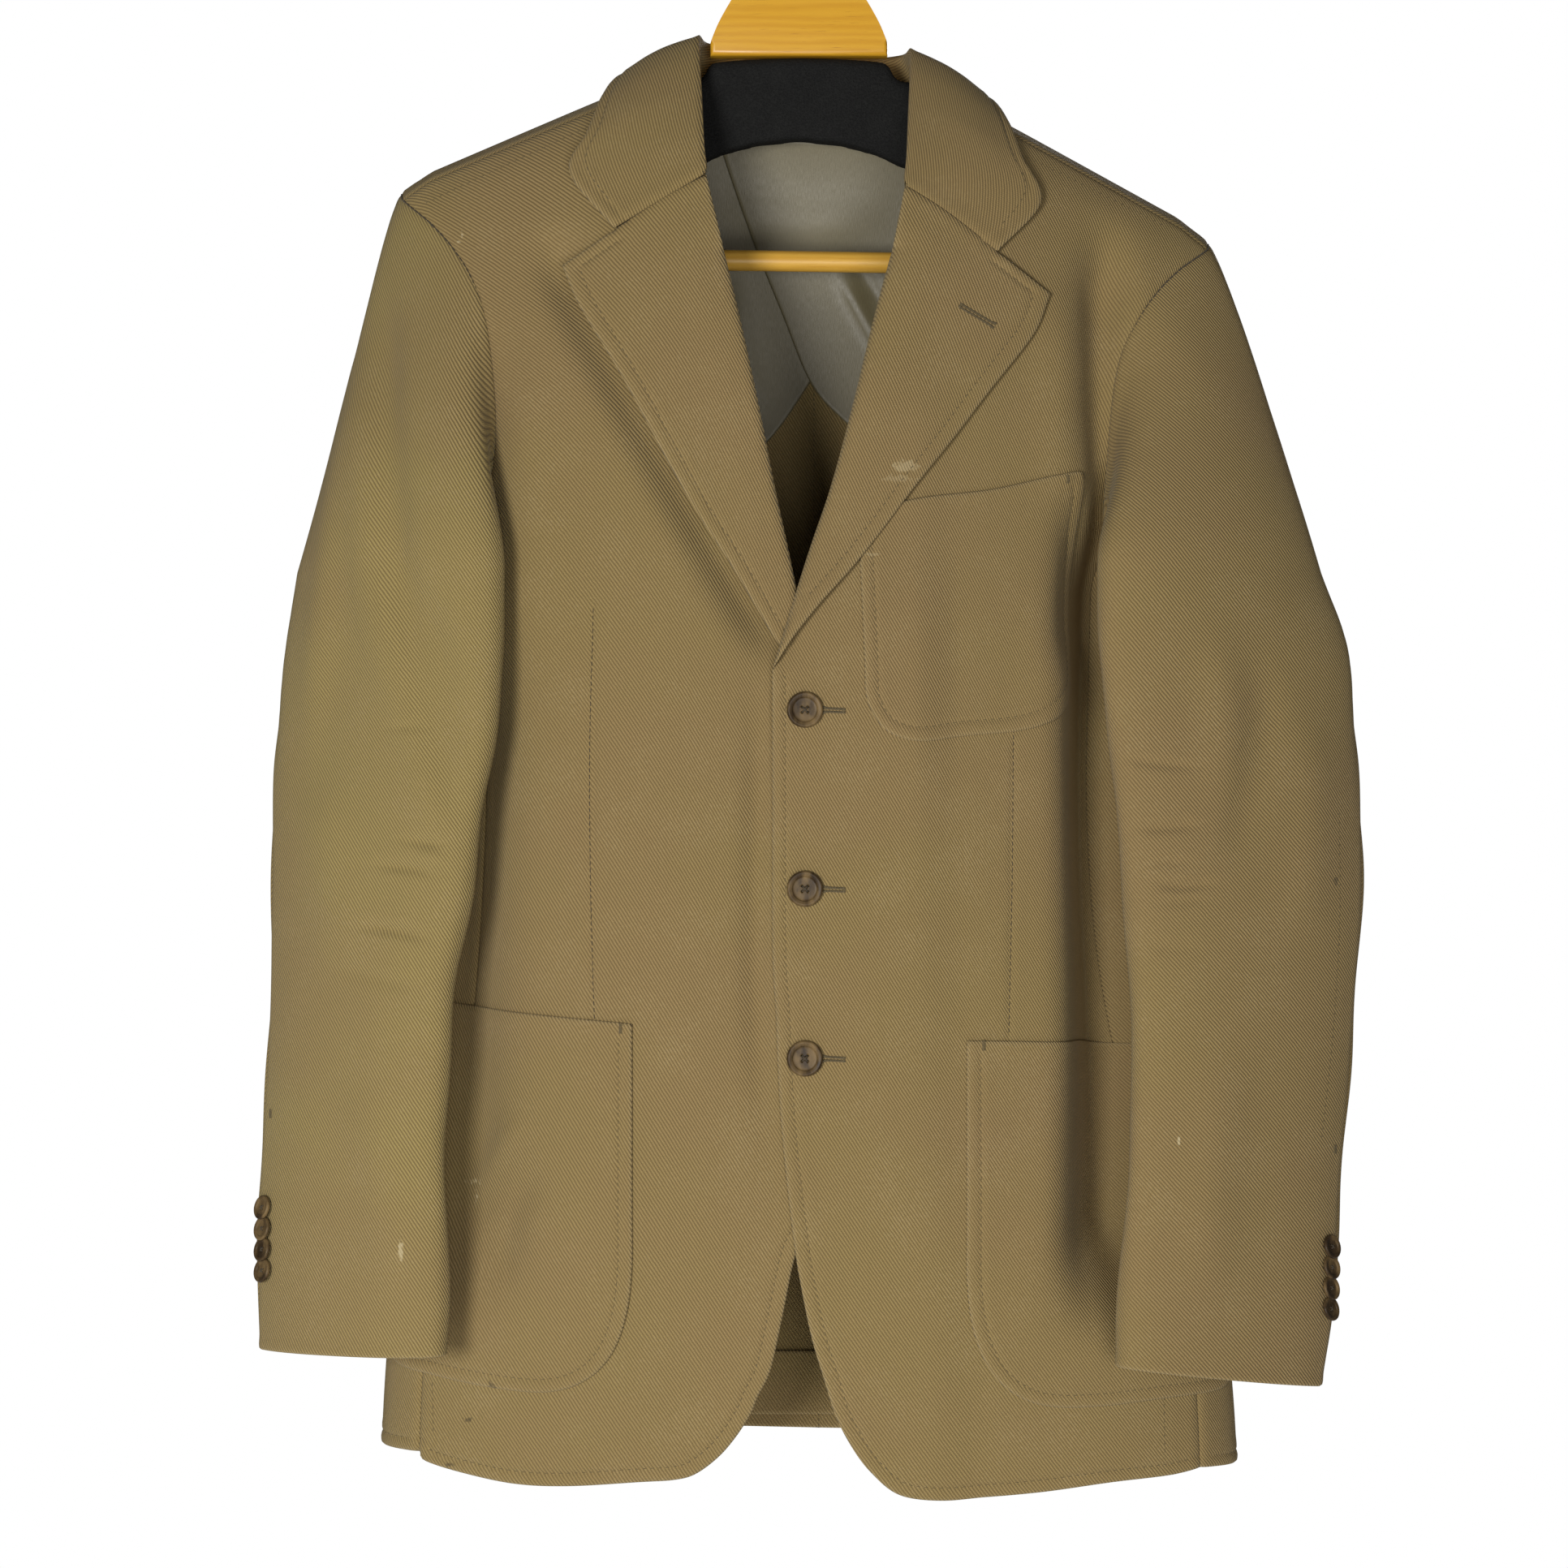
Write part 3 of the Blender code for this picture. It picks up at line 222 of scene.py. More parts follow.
@dataclass
class BodyForm:
    """The body cloth as one smooth surface, from the shoulder ridge to the hem.

    A place on it is a distance across from the centre and a distance down from the ridge, both in
    millimetres of cloth. Across passes the flank to the other half of the body, and a negative
    distance down passes over the ridge.
    """

    ridge_top: float = -151.5
    ridge_start: float = 75.0
    ridge_blend: float = 12.0
    ridge_slope: float = 0.49
    tip_start: float = 215.0
    tip_slope: float = 0.25
    hem_z: float = -965.0
    section_power: float = 2.6
    hang_pivot: float = -1.5
    # z, slope and sideways shift of the jacket as it hangs askew, from the hem up
    hang: Sequence[tuple[float, ...]] = (
        (-965.0, 0.010, 6.0), (-900.0, 0.029, 6.0), (-700.0, 0.050, 5.2), (-450.0, 0.050, 4.3),
        (-300.0, 0.060, 3.8), (-230.0, 0.062, 3.5))
    # drop below the ridge at the centre, half width, depth in front and depth behind
    levels: Sequence[tuple[float, ...]] = (
        (0.0, 262.0, 0.0, 0.0), (8.0, 262.0, 19.0, 17.0), (20.0, 260.0, 30.0, 27.0),
        (40.0, 256.0, 40.0, 36.0), (70.0, 250.0, 50.0, 45.0), (105.0, 242.0, 59.0, 52.0),
        (140.0, 232.0, 66.0, 56.0), (180.0, 222.0, 72.0, 59.0), (220.0, 216.0, 76.0, 60.0),
        (265.0, 214.0, 79.0, 60.0), (310.0, 213.0, 81.0, 59.0), (365.0, 212.0, 82.0, 58.0),
        (420.0, 213.5, 83.0, 58.0), (475.0, 217.0, 84.0, 59.0), (530.0, 222.0, 84.0, 60.0),
        (585.0, 228.0, 84.0, 60.0), (640.0, 234.5, 83.0, 60.0), (695.0, 240.0, 79.0, 60.0),
        (755.0, 244.5, 71.0, 58.0), (813.5, 247.0, 62.0, 54.0))
    rows_over_ridge: int = 6
    section_width: float = 230.0
    section_depth: float = 75.0
    samples: int = 400
    reach: float = 1.5
    front_creases: Sequence[Crease] = (
        Crease(((174.0, -228.0), (174.0, -320.0), (177.0, -375.0), (188.0, -440.0)), -19.0, 14.0, 0.3),
        Crease(((143.0, -262.0), (146.0, -330.0), (144.0, -420.0)), 3.0, 15.0),
        Crease(((172.0, -384.0), (166.0, -450.0), (164.0, -560.0), (166.0, -700.0), (162.0, -880.0)),
               -15.0, 16.0, 0.16),
        Crease(((200.0, -370.0), (192.0, -450.0), (190.0, -560.0), (192.0, -700.0), (188.0, -880.0)),
               -50.0, 25.0, 0.16),
        Crease(((140.0, -420.0), (144.0, -560.0), (146.0, -700.0), (138.0, -860.0)), 3.0, 17.0, 0.2),
        Crease(((-180.0, -290.0), (-184.0, -390.0), (-188.0, -510.0)), -9.0, 15.0),
        Crease(((-188.0, -440.0), (-194.0, -620.0), (-190.0, -760.0), (-184.0, -872.0)), -15.0, 27.0, 0.22),
        Crease(((-150.0, -300.0), (-152.0, -400.0), (-150.0, -520.0)), 2.4, 15.0),
        Crease(((110.0, -560.0), (112.0, -700.0), (106.0, -900.0)), 1.6, 26.0),
        Crease(((-105.0, -600.0), (-112.0, -720.0), (-100.0, -900.0)), 1.6, 26.0),
        Crease(((-150.0, -742.0), (-172.0, -768.0), (-186.0, -800.0)), 2.4, 8.0),
        Crease(((-140.0, -765.0), (-160.0, -800.0), (-168.0, -850.0)), -3.0, 10.0),
        Crease(((-146.0, -240.0), (-130.0, -278.0), (-98.0, -337.0), (-61.0, -402.0), (-20.0, -472.0),
                (-4.0, -500.0)), -13.0, 13.0, 0.16),
        Crease(((-25.0, -470.0), (-23.0, -560.0), (-24.0, -660.0), (-18.0, -790.0)), -5.0, 8.0),
        Crease(((-60.0, -560.0), (-66.0, -640.0), (-62.0, -760.0)), 1.2, 22.0),
        Crease(((60.0, -600.0), (48.0, -700.0), (60.0, -840.0)), 1.2, 24.0),
        Crease(((-60.0, -905.0), (-120.0, -915.0), (-190.0, -905.0)), 1.0, 12.0),
        Crease(((158.0, -384.0), (155.0, -440.0), (150.0, -505.0)), -8.0, 11.0),
    )
    back_creases: Sequence[Crease] = (
        Crease(((150.0, -300.0), (160.0, -380.0), (150.0, -480.0)), -4.0, 16.0),
        Crease(((-150.0, -300.0), (-165.0, -400.0), (-150.0, -500.0)), -4.0, 16.0),
        Crease(((60.0, -520.0), (80.0, -640.0), (70.0, -820.0)), 2.2, 26.0),
        Crease(((-70.0, -500.0), (-90.0, -640.0), (-76.0, -830.0)), 2.2, 26.0),
        Crease(((120.0, -560.0), (132.0, -700.0), (126.0, -900.0)), -2.4, 22.0),
        Crease(((-118.0, -580.0), (-136.0, -720.0), (-128.0, -900.0)), -2.4, 22.0),
        Crease(((-60.0, -215.0), (0.0, -228.0), (60.0, -222.0)), -2.0, 14.0),
    )
    crease_fade: tuple[float, float] = (-40.0, 15.0)

    def __post_init__(self) -> None:
        """Work out the tables that turn distances on the cloth into places in space."""
        rows = np.array(self.levels)
        over = rows[1:self.rows_over_ridge + 1][::-1] * (-1.0, 1.0, -1.0, -1.0)
        over[:, 2:] = over[:, [3, 2]]
        table = np.vstack((over, rows))
        fine = smooth_path(table, 12)
        steps = np.linalg.norm(np.diff(fine[:, [0, 2]], axis=0), axis=1)
        down = np.concatenate(([0.0], np.cumsum(steps)))
        down -= np.interp(0.0, fine[:, 0], down)
        self._down, self._rows = down, fine
        angles = np.linspace(0.0, 0.5 * math.pi, self.samples)
        power = 2.0 / self.section_power
        quarter = np.stack((np.sin(angles) ** power, np.cos(angles) ** power), axis=1)
        section = np.vstack((quarter, quarter[-2::-1] * (1.0, -1.0)))
        scaled = section * (self.section_width, self.section_depth)
        self._across = np.concatenate(([0.0], np.cumsum(np.linalg.norm(np.diff(scaled, axis=0), axis=1))))
        self._section = section
        self.flank = self._across[self.samples - 1]

    def ridge(self, x: Points) -> Points:
        """Give the height of the shoulder ridge over x, before hanging."""
        run = self.ridge_blend * np.log1p(np.exp((np.abs(x) - self.ridge_start) / self.ridge_blend))
        tip = np.maximum(np.abs(x) - self.tip_start, 0.0)
        return self.ridge_top - self.ridge_slope * run - self.tip_slope * tip

    def hung(self, points: Points) -> Points:
        """Move points of the level jacket to where they hang."""
        heights, slopes, shifts = np.array(self.hang).T
        x, y, z = points.T
        slope = np.interp(z, heights, slopes)
        return np.stack((x + np.interp(z, heights, shifts), y, z - slope * (x - self.hang_pivot)), axis=1)

    def unhung(self, places: Points) -> Points:
        """Find the level x and z of places that are measured as the jacket hangs."""
        heights, slopes, shifts = np.array(self.hang).T
        level = np.array(places, float)
        for _ in range(8):
            x = places[:, 0] - np.interp(level[:, 1], heights, shifts)
            z = places[:, 1] + np.interp(level[:, 1], heights, slopes) * (x - self.hang_pivot)
            level = np.stack((x, z), axis=1)
        return level

    def chart_level(self, places: Path) -> Points:
        """Find distances across and down for x and z of the level jacket."""
        x, z = np.asarray(places, float).T
        top = self.ridge(x)
        full = self.levels[-1][0]
        drop = np.clip((top - z) / (top - self.hem_z), 0.0, 1.0) * full
        first = np.searchsorted(self._rows[:, 0], 0.0)
        down = np.interp(drop, self._rows[first:, 0], self._down[first:])
        half = np.interp(down, self._down, self._rows[:, 1])
        share = np.clip(np.abs(x) / half, 0.0, 1.0)
        across = np.interp(share, self._section[:self.samples, 0], self._across[:self.samples])
        return np.stack((np.copysign(across, x), down), axis=1)

    def chart(self, places: Path) -> Points:
        """Find distances across and down for x and z measured as the jacket hangs."""
        return self.chart_level(self.unhung(np.asarray(places, float)))

    def across_at(self, share: float) -> float:
        """Give the distance across for a share of the half width."""
        return float(np.interp(share, self._section[:self.samples, 0], self._across[:self.samples]))

    def place(self, sheet: Sheet, chart: Points) -> Points:
        """Find points in space for distances across and down."""
        across, down = chart.T
        size = np.abs(across)
        u = np.interp(size, self._across, self._section[:, 0])
        v = np.interp(size, self._across, self._section[:, 1])
        drop, half, front, back = (np.interp(down, self._down, self._rows[:, k]) for k in range(4))
        x = np.copysign(u * half, across)
        share = np.abs(drop) / self.levels[-1][0]
        z = self.ridge(x) * (1.0 - share) + self.hem_z * share
        near, far = (front, back) if sheet is Sheet.FRONT else (back, front)
        y = sheet.value * v * np.where(v >= 0.0, near, far)
        return self.hung(np.stack((x, y, z), axis=1))

    def folds(self, place: Points) -> Points:
        """Find how far the listed folds move points of the form along its normals."""
        x, y, z = place.T
        behind = rising(y, *self.crease_fade)
        moved = np.zeros(len(place))
        for creases, share in ((self.front_creases, 1.0 - behind), (self.back_creases, behind)):
            for crease in creases:
                moved += crease.lift(x, z) * share
        return moved

    def normal(self, sheet: Sheet, chart: Points) -> Points:
        """Find outward normals for distances across and down."""
        sideways = np.array((self.reach, 0.0))
        downward = np.array((0.0, self.reach))
        along = self.place(sheet, chart + sideways) - self.place(sheet, chart - sideways)
        below = self.place(sheet, chart + downward) - self.place(sheet, chart - downward)
        return unit(np.cross(along, below)) * sheet.value


@dataclass
class Edge:
    """One edge of a cut piece.

    Attributes:
        kind: How the cloth ends there.
        points: Distances across and down, in order round the piece.
        smooth: Whether the edge curves through its points.
    """

    kind: EdgeKind
    points: Points
    smooth: bool = True

    def fine(self) -> Points:
        """Give the edge's points at the step of the mesh."""
        path = np.asarray(self.points, float)
        return resample(smooth_path(path) if self.smooth else path, EDGE_STEP)


def edge_profile(kinds: dict[EdgeKind, Points]) -> Points:
    """Find how far the outer face stands out for distances to the edges of a piece.

    Args:
        kinds: Distance of every point to the nearest edge of each kind.

    Returns:
        The height to add to the outer face.
    """
    lift = np.zeros(len(next(iter(kinds.values()))))
    if EdgeKind.TURNED in kinds:
        gap = kinds[EdgeKind.TURNED]
        lift += 0.55 * np.exp(-((gap - 3.6) / 2.6) ** 2)
        lift -= 0.55 * np.exp(-((gap - STITCH_INSET) / 0.9) ** 2)
        lift += 0.30 * np.exp(-((gap - 11.0) / 2.4) ** 2)
    if EdgeKind.FOLDED in kinds:
        lift += 0.35 * np.exp(-((kinds[EdgeKind.FOLDED] - 3.0) / 3.0) ** 2)
    if EdgeKind.SEAM in kinds:
        gap = kinds[EdgeKind.SEAM]
        lift -= 0.95 * np.exp(-(gap / 1.1) ** 2)
        lift += 0.30 * np.exp(-((gap - 5.0) / 3.5) ** 2)
    return lift


def shell(name: str, outer: Points, inner: Points, faces: Sequence[Sequence[int]], flat: Points,
          wear: Points) -> bpy.types.Object:
    """Make a closed thin shell from two layers that share their faces.

    Args:
        name: Name of the piece.
        outer: Points of the outer face, in millimetres.
        inner: Points of the inner face.
        faces: Faces of the outer side.
        flat: Place of each point on the flat cloth, in millimetres, for the weave.
        wear: How worn each point is, from 0 to 1.

    Returns:
        The new object.
    """
    count = len(outer)
    points = np.vstack((outer, inner)) * MM
    edges: dict[tuple[int, int], int] = {}
    for face in faces:
        for first, second in zip(face, list(face[1:]) + [face[0]]):
            edges[(first, second)] = edges.get((first, second), 0) + 1
    polygons = [tuple(face) for face in faces]
    polygons += [tuple(count + index for index in reversed(face)) for face in faces]
    for first, second in edges:
        if (second, first) not in edges:
            polygons.append((second, first, first + count, second + count))
    mesh = bpy.data.meshes.new(name)
    mesh.from_pydata(points.tolist(), [], polygons)
    mesh.update()
    layer = mesh.uv_layers.new(name=CLOTH_MAP)
    corners = np.zeros(len(mesh.loops), int)
    mesh.loops.foreach_get("vertex_index", corners)
    both = np.vstack((flat, flat)) * MM
    layer.data.foreach_set("uv", both[corners].astype(np.float32).ravel())
    attribute = mesh.attributes.new(WEAR, "FLOAT", "POINT")
    attribute.data.foreach_set("value", np.concatenate((wear, wear)).astype(np.float32))
    mesh.shade_smooth()
    made = bpy.data.objects.new(name, mesh)
    bpy.context.scene.collection.objects.link(made)
    return made


def triangles(outline: Points, extra: Points, spacing: float) -> tuple[Points, list[list[int]]]:
    """Fill a flat outline with even triangles.

    Args:
        outline: Closed outline.
        extra: Further points that the mesh keeps.
        spacing: Distance between the points inside.

    Returns:
        The points and the triangles.
    """
    low, high = outline.min(axis=0), outline.max(axis=0)
    rows = np.arange(low[1] + 0.5 * spacing, high[1], 0.87 * spacing)
    columns = np.arange(low[0], high[0], spacing)
    grid = np.array([(x + 0.5 * spacing * (row % 2), y) for row, y in enumerate(rows) for x in columns])
    closed = np.vstack((outline, outline[:1]))
    grid = grid[inside(grid, outline)]
    grid = grid[distance_to(grid, closed)[0] > 0.6 * spacing]
    if len(extra):
        extra = extra[inside(extra, outline)]
        cells = {tuple(cell) for cell in np.floor(extra / (0.8 * spacing)).astype(int)}
        keep = [tuple(cell) not in cells for cell in np.floor(grid / (0.8 * spacing)).astype(int)]
        grid = np.vstack((grid[keep], extra))
    everything = [Vector(point) for point in np.vstack((outline, grid))]
    ring = list(range(len(outline)))
    made = delaunay_2d_cdt(everything, [], [ring], 1, 1e-4)
    faces = []
    points = np.array([tuple(point) for point in made[0]])
    for face in made[2]:
        a, b, c = (points[index] for index in face[:3])
        turn = (b[0] - a[0]) * (c[1] - a[1]) - (b[1] - a[1]) * (c[0] - a[0])
        faces.append(list(face) if turn > 0 else list(reversed(face)))
    return points, faces


def tube(bm: bmesh.types.BMesh, points: Sequence[Vector], radii: Sequence[float], sides: int = 5) -> None:
    """Add a closed tube through points.

    Args:
        bm: Mesh that it is added to, in millimetres.
        points: Middle of each ring.
        radii: Radius of each ring.
        sides: Sides of a ring.
    """
    rings = []
    for index, (point, radius) in enumerate(zip(points, radii)):
        along = (points[min(index + 1, len(points) - 1)] - points[max(index - 1, 0)]).normalized()
        first = along.orthogonal() if index == 0 else first - along * first.dot(along)
        first.normalize()
        second = along.cross(first)
        rings.append([bm.verts.new(point + radius * (math.cos(math.tau * k / sides) * first
                                                     + math.sin(math.tau * k / sides) * second))
                      for k in range(sides)])
    for low, high in zip(rings, rings[1:]):
        for k in range(sides):
            bm.faces.new((low[k], low[(k + 1) % sides], high[(k + 1) % sides], high[k]))
    bm.faces.new(list(reversed(rings[0])))
    bm.faces.new(rings[-1])


def finish_mesh(name: str, bm: bmesh.types.BMesh, sharp: float | None = None) -> bpy.types.Object:
    """Turn a mesh in millimetres into a named object.

    Args:
        name: Name of the piece.
        bm: The mesh.
        sharp: Angle in degrees past which an edge is sharp, or None.

    Returns:
        The new object.
    """
    bmesh.ops.recalc_face_normals(bm, faces=bm.faces)
    bmesh.ops.scale(bm, vec=(MM, MM, MM), verts=bm.verts)
    mesh = bpy.data.meshes.new(name)
    bm.to_mesh(mesh)
    bm.free()
    mesh.shade_smooth()
    if sharp is not None:
        mesh.set_sharp_from_angle(angle=math.radians(sharp))
    made = bpy.data.objects.new(name, mesh)
    bpy.context.scene.collection.objects.link(made)
    return made


@dataclass(frozen=True)
class StitchRow:
    """A row of hand-like stitches on the cloth.

    Attributes:
        path: Points in space along the row.
        normals: Normals of the cloth there.
        length: Length of a stitch.
        gap: Gap between stitches.
        radius: Radius of the thread.
    """

    path: Points
    normals: Points
    length: float = 2.7
    gap: float = 1.6
    radius: float = 0.24

    def add(self, bm: bmesh.types.BMesh) -> None:
        """Add the stitches to a mesh."""
        run = np.concatenate(([0.0], np.cumsum(np.linalg.norm(np.diff(self.path, axis=0), axis=1))))
        count = int(run[-1] / (self.length + self.gap))
        for number in range(count):
            start = (number + 0.3) * (self.length + self.gap)
            points, radii = [], []
            for share, rise, size in ((0.0, -0.35, 0.6), (0.2, 0.06, 1.0), (0.5, 0.14, 1.1), (0.8, 0.06, 1.0),
                                      (1.0, -0.35, 0.6)):
                at = start + share * self.length
                point = np.array([np.interp(at, run, self.path[:, k]) for k in range(3)])
                normal = np.array([np.interp(at, run, self.normals[:, k]) for k in range(3)])
                points.append(Vector(point + rise * normal))
                radii.append(self.radius * size)
            tube(bm, points, radii, 4)


@dataclass(frozen=True)
class FlatCut:
    """The flat pattern of what shows of a piece, in millimetres."""

    width: float
    length: float
    area: float

    @classmethod
    def of_outline(cls, outline: Points) -> "FlatCut":
        """Measure a pattern from its closed outline."""
        size = outline.max(axis=0) - outline.min(axis=0)
        x, y = outline.T
        area = 0.5 * abs(float(np.dot(x, np.roll(y, -1)) - np.dot(y, np.roll(x, -1))))
        return cls(float(size[0]), float(size[1]), area)

    @classmethod
    def of_grid(cls, flat: Points) -> "FlatCut":
        """Measure a pattern from rows and columns of places on the flat cloth."""
        rim = np.vstack((flat[0], flat[1:, -1], flat[-1, ::-1][1:], flat[::-1, 0][1:-1]))
        return cls.of_outline(rim)


def split_runs(path: Points, reach: float) -> list[Points]:
    """Divide a path where it jumps further than a reach, and drop the shortest runs."""
    breaks = np.nonzero(np.linalg.norm(np.diff(path, axis=0), axis=1) > reach)[0] + 1
    return [run for run in np.split(path, breaks) if len(run) > 3]


@dataclass
class Panel:
    """A cut piece of cloth that lies on the body form.

    Attributes:
        name: Name of the piece.
        edges: Its edges in order.
        sheet: The half of the form that it starts on.
        inner: Distance of its inner face from the form.
        outer: Distance of its outer face.
        lift: Further lift at distances across and down, or None.
        creases: Folds given one by one.
        grooves: Paths on the form where the cloth is drawn in, as at a dart.
        spacing: Step of the mesh.
    """

    name: str
    edges: Sequence[Edge]
    sheet: Sheet
    inner: float
    outer: float
    lift: Callable[[Points], Points] | None = None
    creases: Sequence[Crease] = ()
    grooves: Sequence[Points] = ()
    spacing: float = MESH_STEP

    def build(self, form: BodyForm) -> tuple[bpy.types.Object, FlatCut, list[StitchRow]]:
        """Make the piece.

        Args:
            form: The body form that it lies on.

        Returns:
            The new object, its flat cut and the rows of its topstitching.
        """
        paths = [(edge.kind, edge.fine()) for edge in self.edges]
        outline = np.vstack([path[:-1] for _, path in paths])
        closed = np.vstack((outline, outline[:1]))
        extra = [self._beside(path, closed, offset) for kind, path in paths
                 for offset in self._offsets(kind)]
        for groove in self.grooves:
            for offset in (-1.1, 0.0, 1.1):
                extra.append(resample(smooth_path(groove), EDGE_STEP) + (offset, 0.0))
        points, faces = triangles(outline, np.vstack(extra) if extra else np.zeros((0, 2)), self.spacing)
        outer, inner, normal, wear = self._faces(form, points, paths)
        order = faces if self._outward(outer, faces, normal) else [face[::-1] for face in faces]
        made = shell(self.name, outer, inner, order, points, wear)
        rows = []
        for kind, path in paths:
            if kind is EdgeKind.TURNED:
                for run in split_runs(self._beside(path, closed, STITCH_INSET), 2.0 * EDGE_STEP):
                    outer, _, normal, _ = self._faces(form, run, paths)
                    rows.append(StitchRow(outer, normal))
        return made, FlatCut.of_outline(outline), rows

    def _faces(self, form: BodyForm, points: Points,
               paths: list[tuple[EdgeKind, Points]]) -> tuple[Points, Points, Points, Points]:
        """Find both faces of the cloth, the form's normals and the wear at places on the form."""
        gaps: dict[EdgeKind, Points] = {}
        for kind, path in paths:
            gap = distance_to(points, path)[0]
            gaps[kind] = np.minimum(gaps[kind], gap) if kind in gaps else gap
        place = form.place(self.sheet, points)
        normal = form.normal(self.sheet, points)
        moved = form.folds(place)
        for crease in self.creases:
            moved += crease.lift(place[:, 0], place[:, 2])
        if self.lift is not None:
            moved += self.lift(points)
        profile = edge_profile(gaps)
        for groove in self.grooves:
            profile -= 0.7 * np.exp(-(distance_to(points, smooth_path(groove))[0] / 0.9) ** 2)
        free = np.full(len(points), 9.0)
        for kind in (EdgeKind.TURNED, EdgeKind.FOLDED):
            free = np.minimum(free, gaps.get(kind, free))
        rounding = EDGE_ROUND * (self.outer - self.inner) * np.clip(1.0 - free, 0.0, 1.0) ** 2
        outer = place + normal * (self.outer + moved + profile - rounding)[:, None]
        inner = place + normal * (self.inner + moved + rounding)[:, None]
        return outer, inner, normal, np.exp(-(free / WEAR_REACH) ** 2)

    def _offsets(self, kind: EdgeKind) -> tuple[float, ...]:
        """Give the distances from an edge where the mesh needs points."""
        if kind is EdgeKind.TURNED:
            return (0.9, 2.2, 4.0, 6.0, 6.9, 7.7, 8.5, 9.6, 12.0)
        if kind is EdgeKind.FOLDED:
            return (0.9, 2.4)
        return (0.9, 2.0) if kind is EdgeKind.SEAM else ()

    def _beside(self, path: Points, closed: Points, offset: float) -> Points:
        """Give the points at a distance inside an edge."""
        along = unit(np.gradient(path, axis=0))
        turned = np.stack((along[:, 1], -along[:, 0]), axis=1) * offset
        sides = [path + turned, path - turned]
        counts = [inside(side, closed[:-1]).sum() for side in sides]
        chosen = sides[int(counts[1] > counts[0])]
        return chosen[distance_to(chosen, closed)[0] > 0.9 * offset]

    def _outward(self, outer: Points, faces: list[list[int]], normal: Points) -> bool:
        """Tell whether the first faces look along the form's normals."""
        score = 0.0
        for a, b, c in faces[:200]:
            score += float(np.cross(outer[b] - outer[a], outer[c] - outer[a]) @ normal[a])
        return score > 0.0


@dataclass
class Dressing:
    """What every finished piece needs: its material, its body, its solids hidden, and for cloth its flat cut in
    the log.
    """

    def cloth(self, made: bpy.types.Object, finish: bpy.types.Material, slot: str, replaced: Sequence[str],
              cut: FlatCut) -> None:
        """Args:
            made: The piece.
            finish: Its material.
            slot: Material slot of the record; not used.
            replaced: Solids that it stands for.
            cut: The flat cut of what shows.
        """
        self.part(made, finish, slot, replaced)
        LOG.info("%s: cut %.0f by %.0f mm, %.0f cm2", made.name, cut.width, cut.length, 0.01 * cut.area)

    def part(self, made: bpy.types.Object, finish: bpy.types.Material, slot: str,
             replaced: Sequence[str] = ()) -> None:
        """Finish a piece that isn't a sheet, and set it on its body.

        Args:
            made: The piece.
            finish: Its material.
            slot: Material slot of the record; not used.
            replaced: Solids that it stands for.
        """
        made.data.materials.clear()
        made.data.materials.append(finish)
        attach(made, "root")
        if replaced:
            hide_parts(*replaced)
        LOG.info("%s: %d faces", made.name, len(getattr(made.data, "polygons", ())))


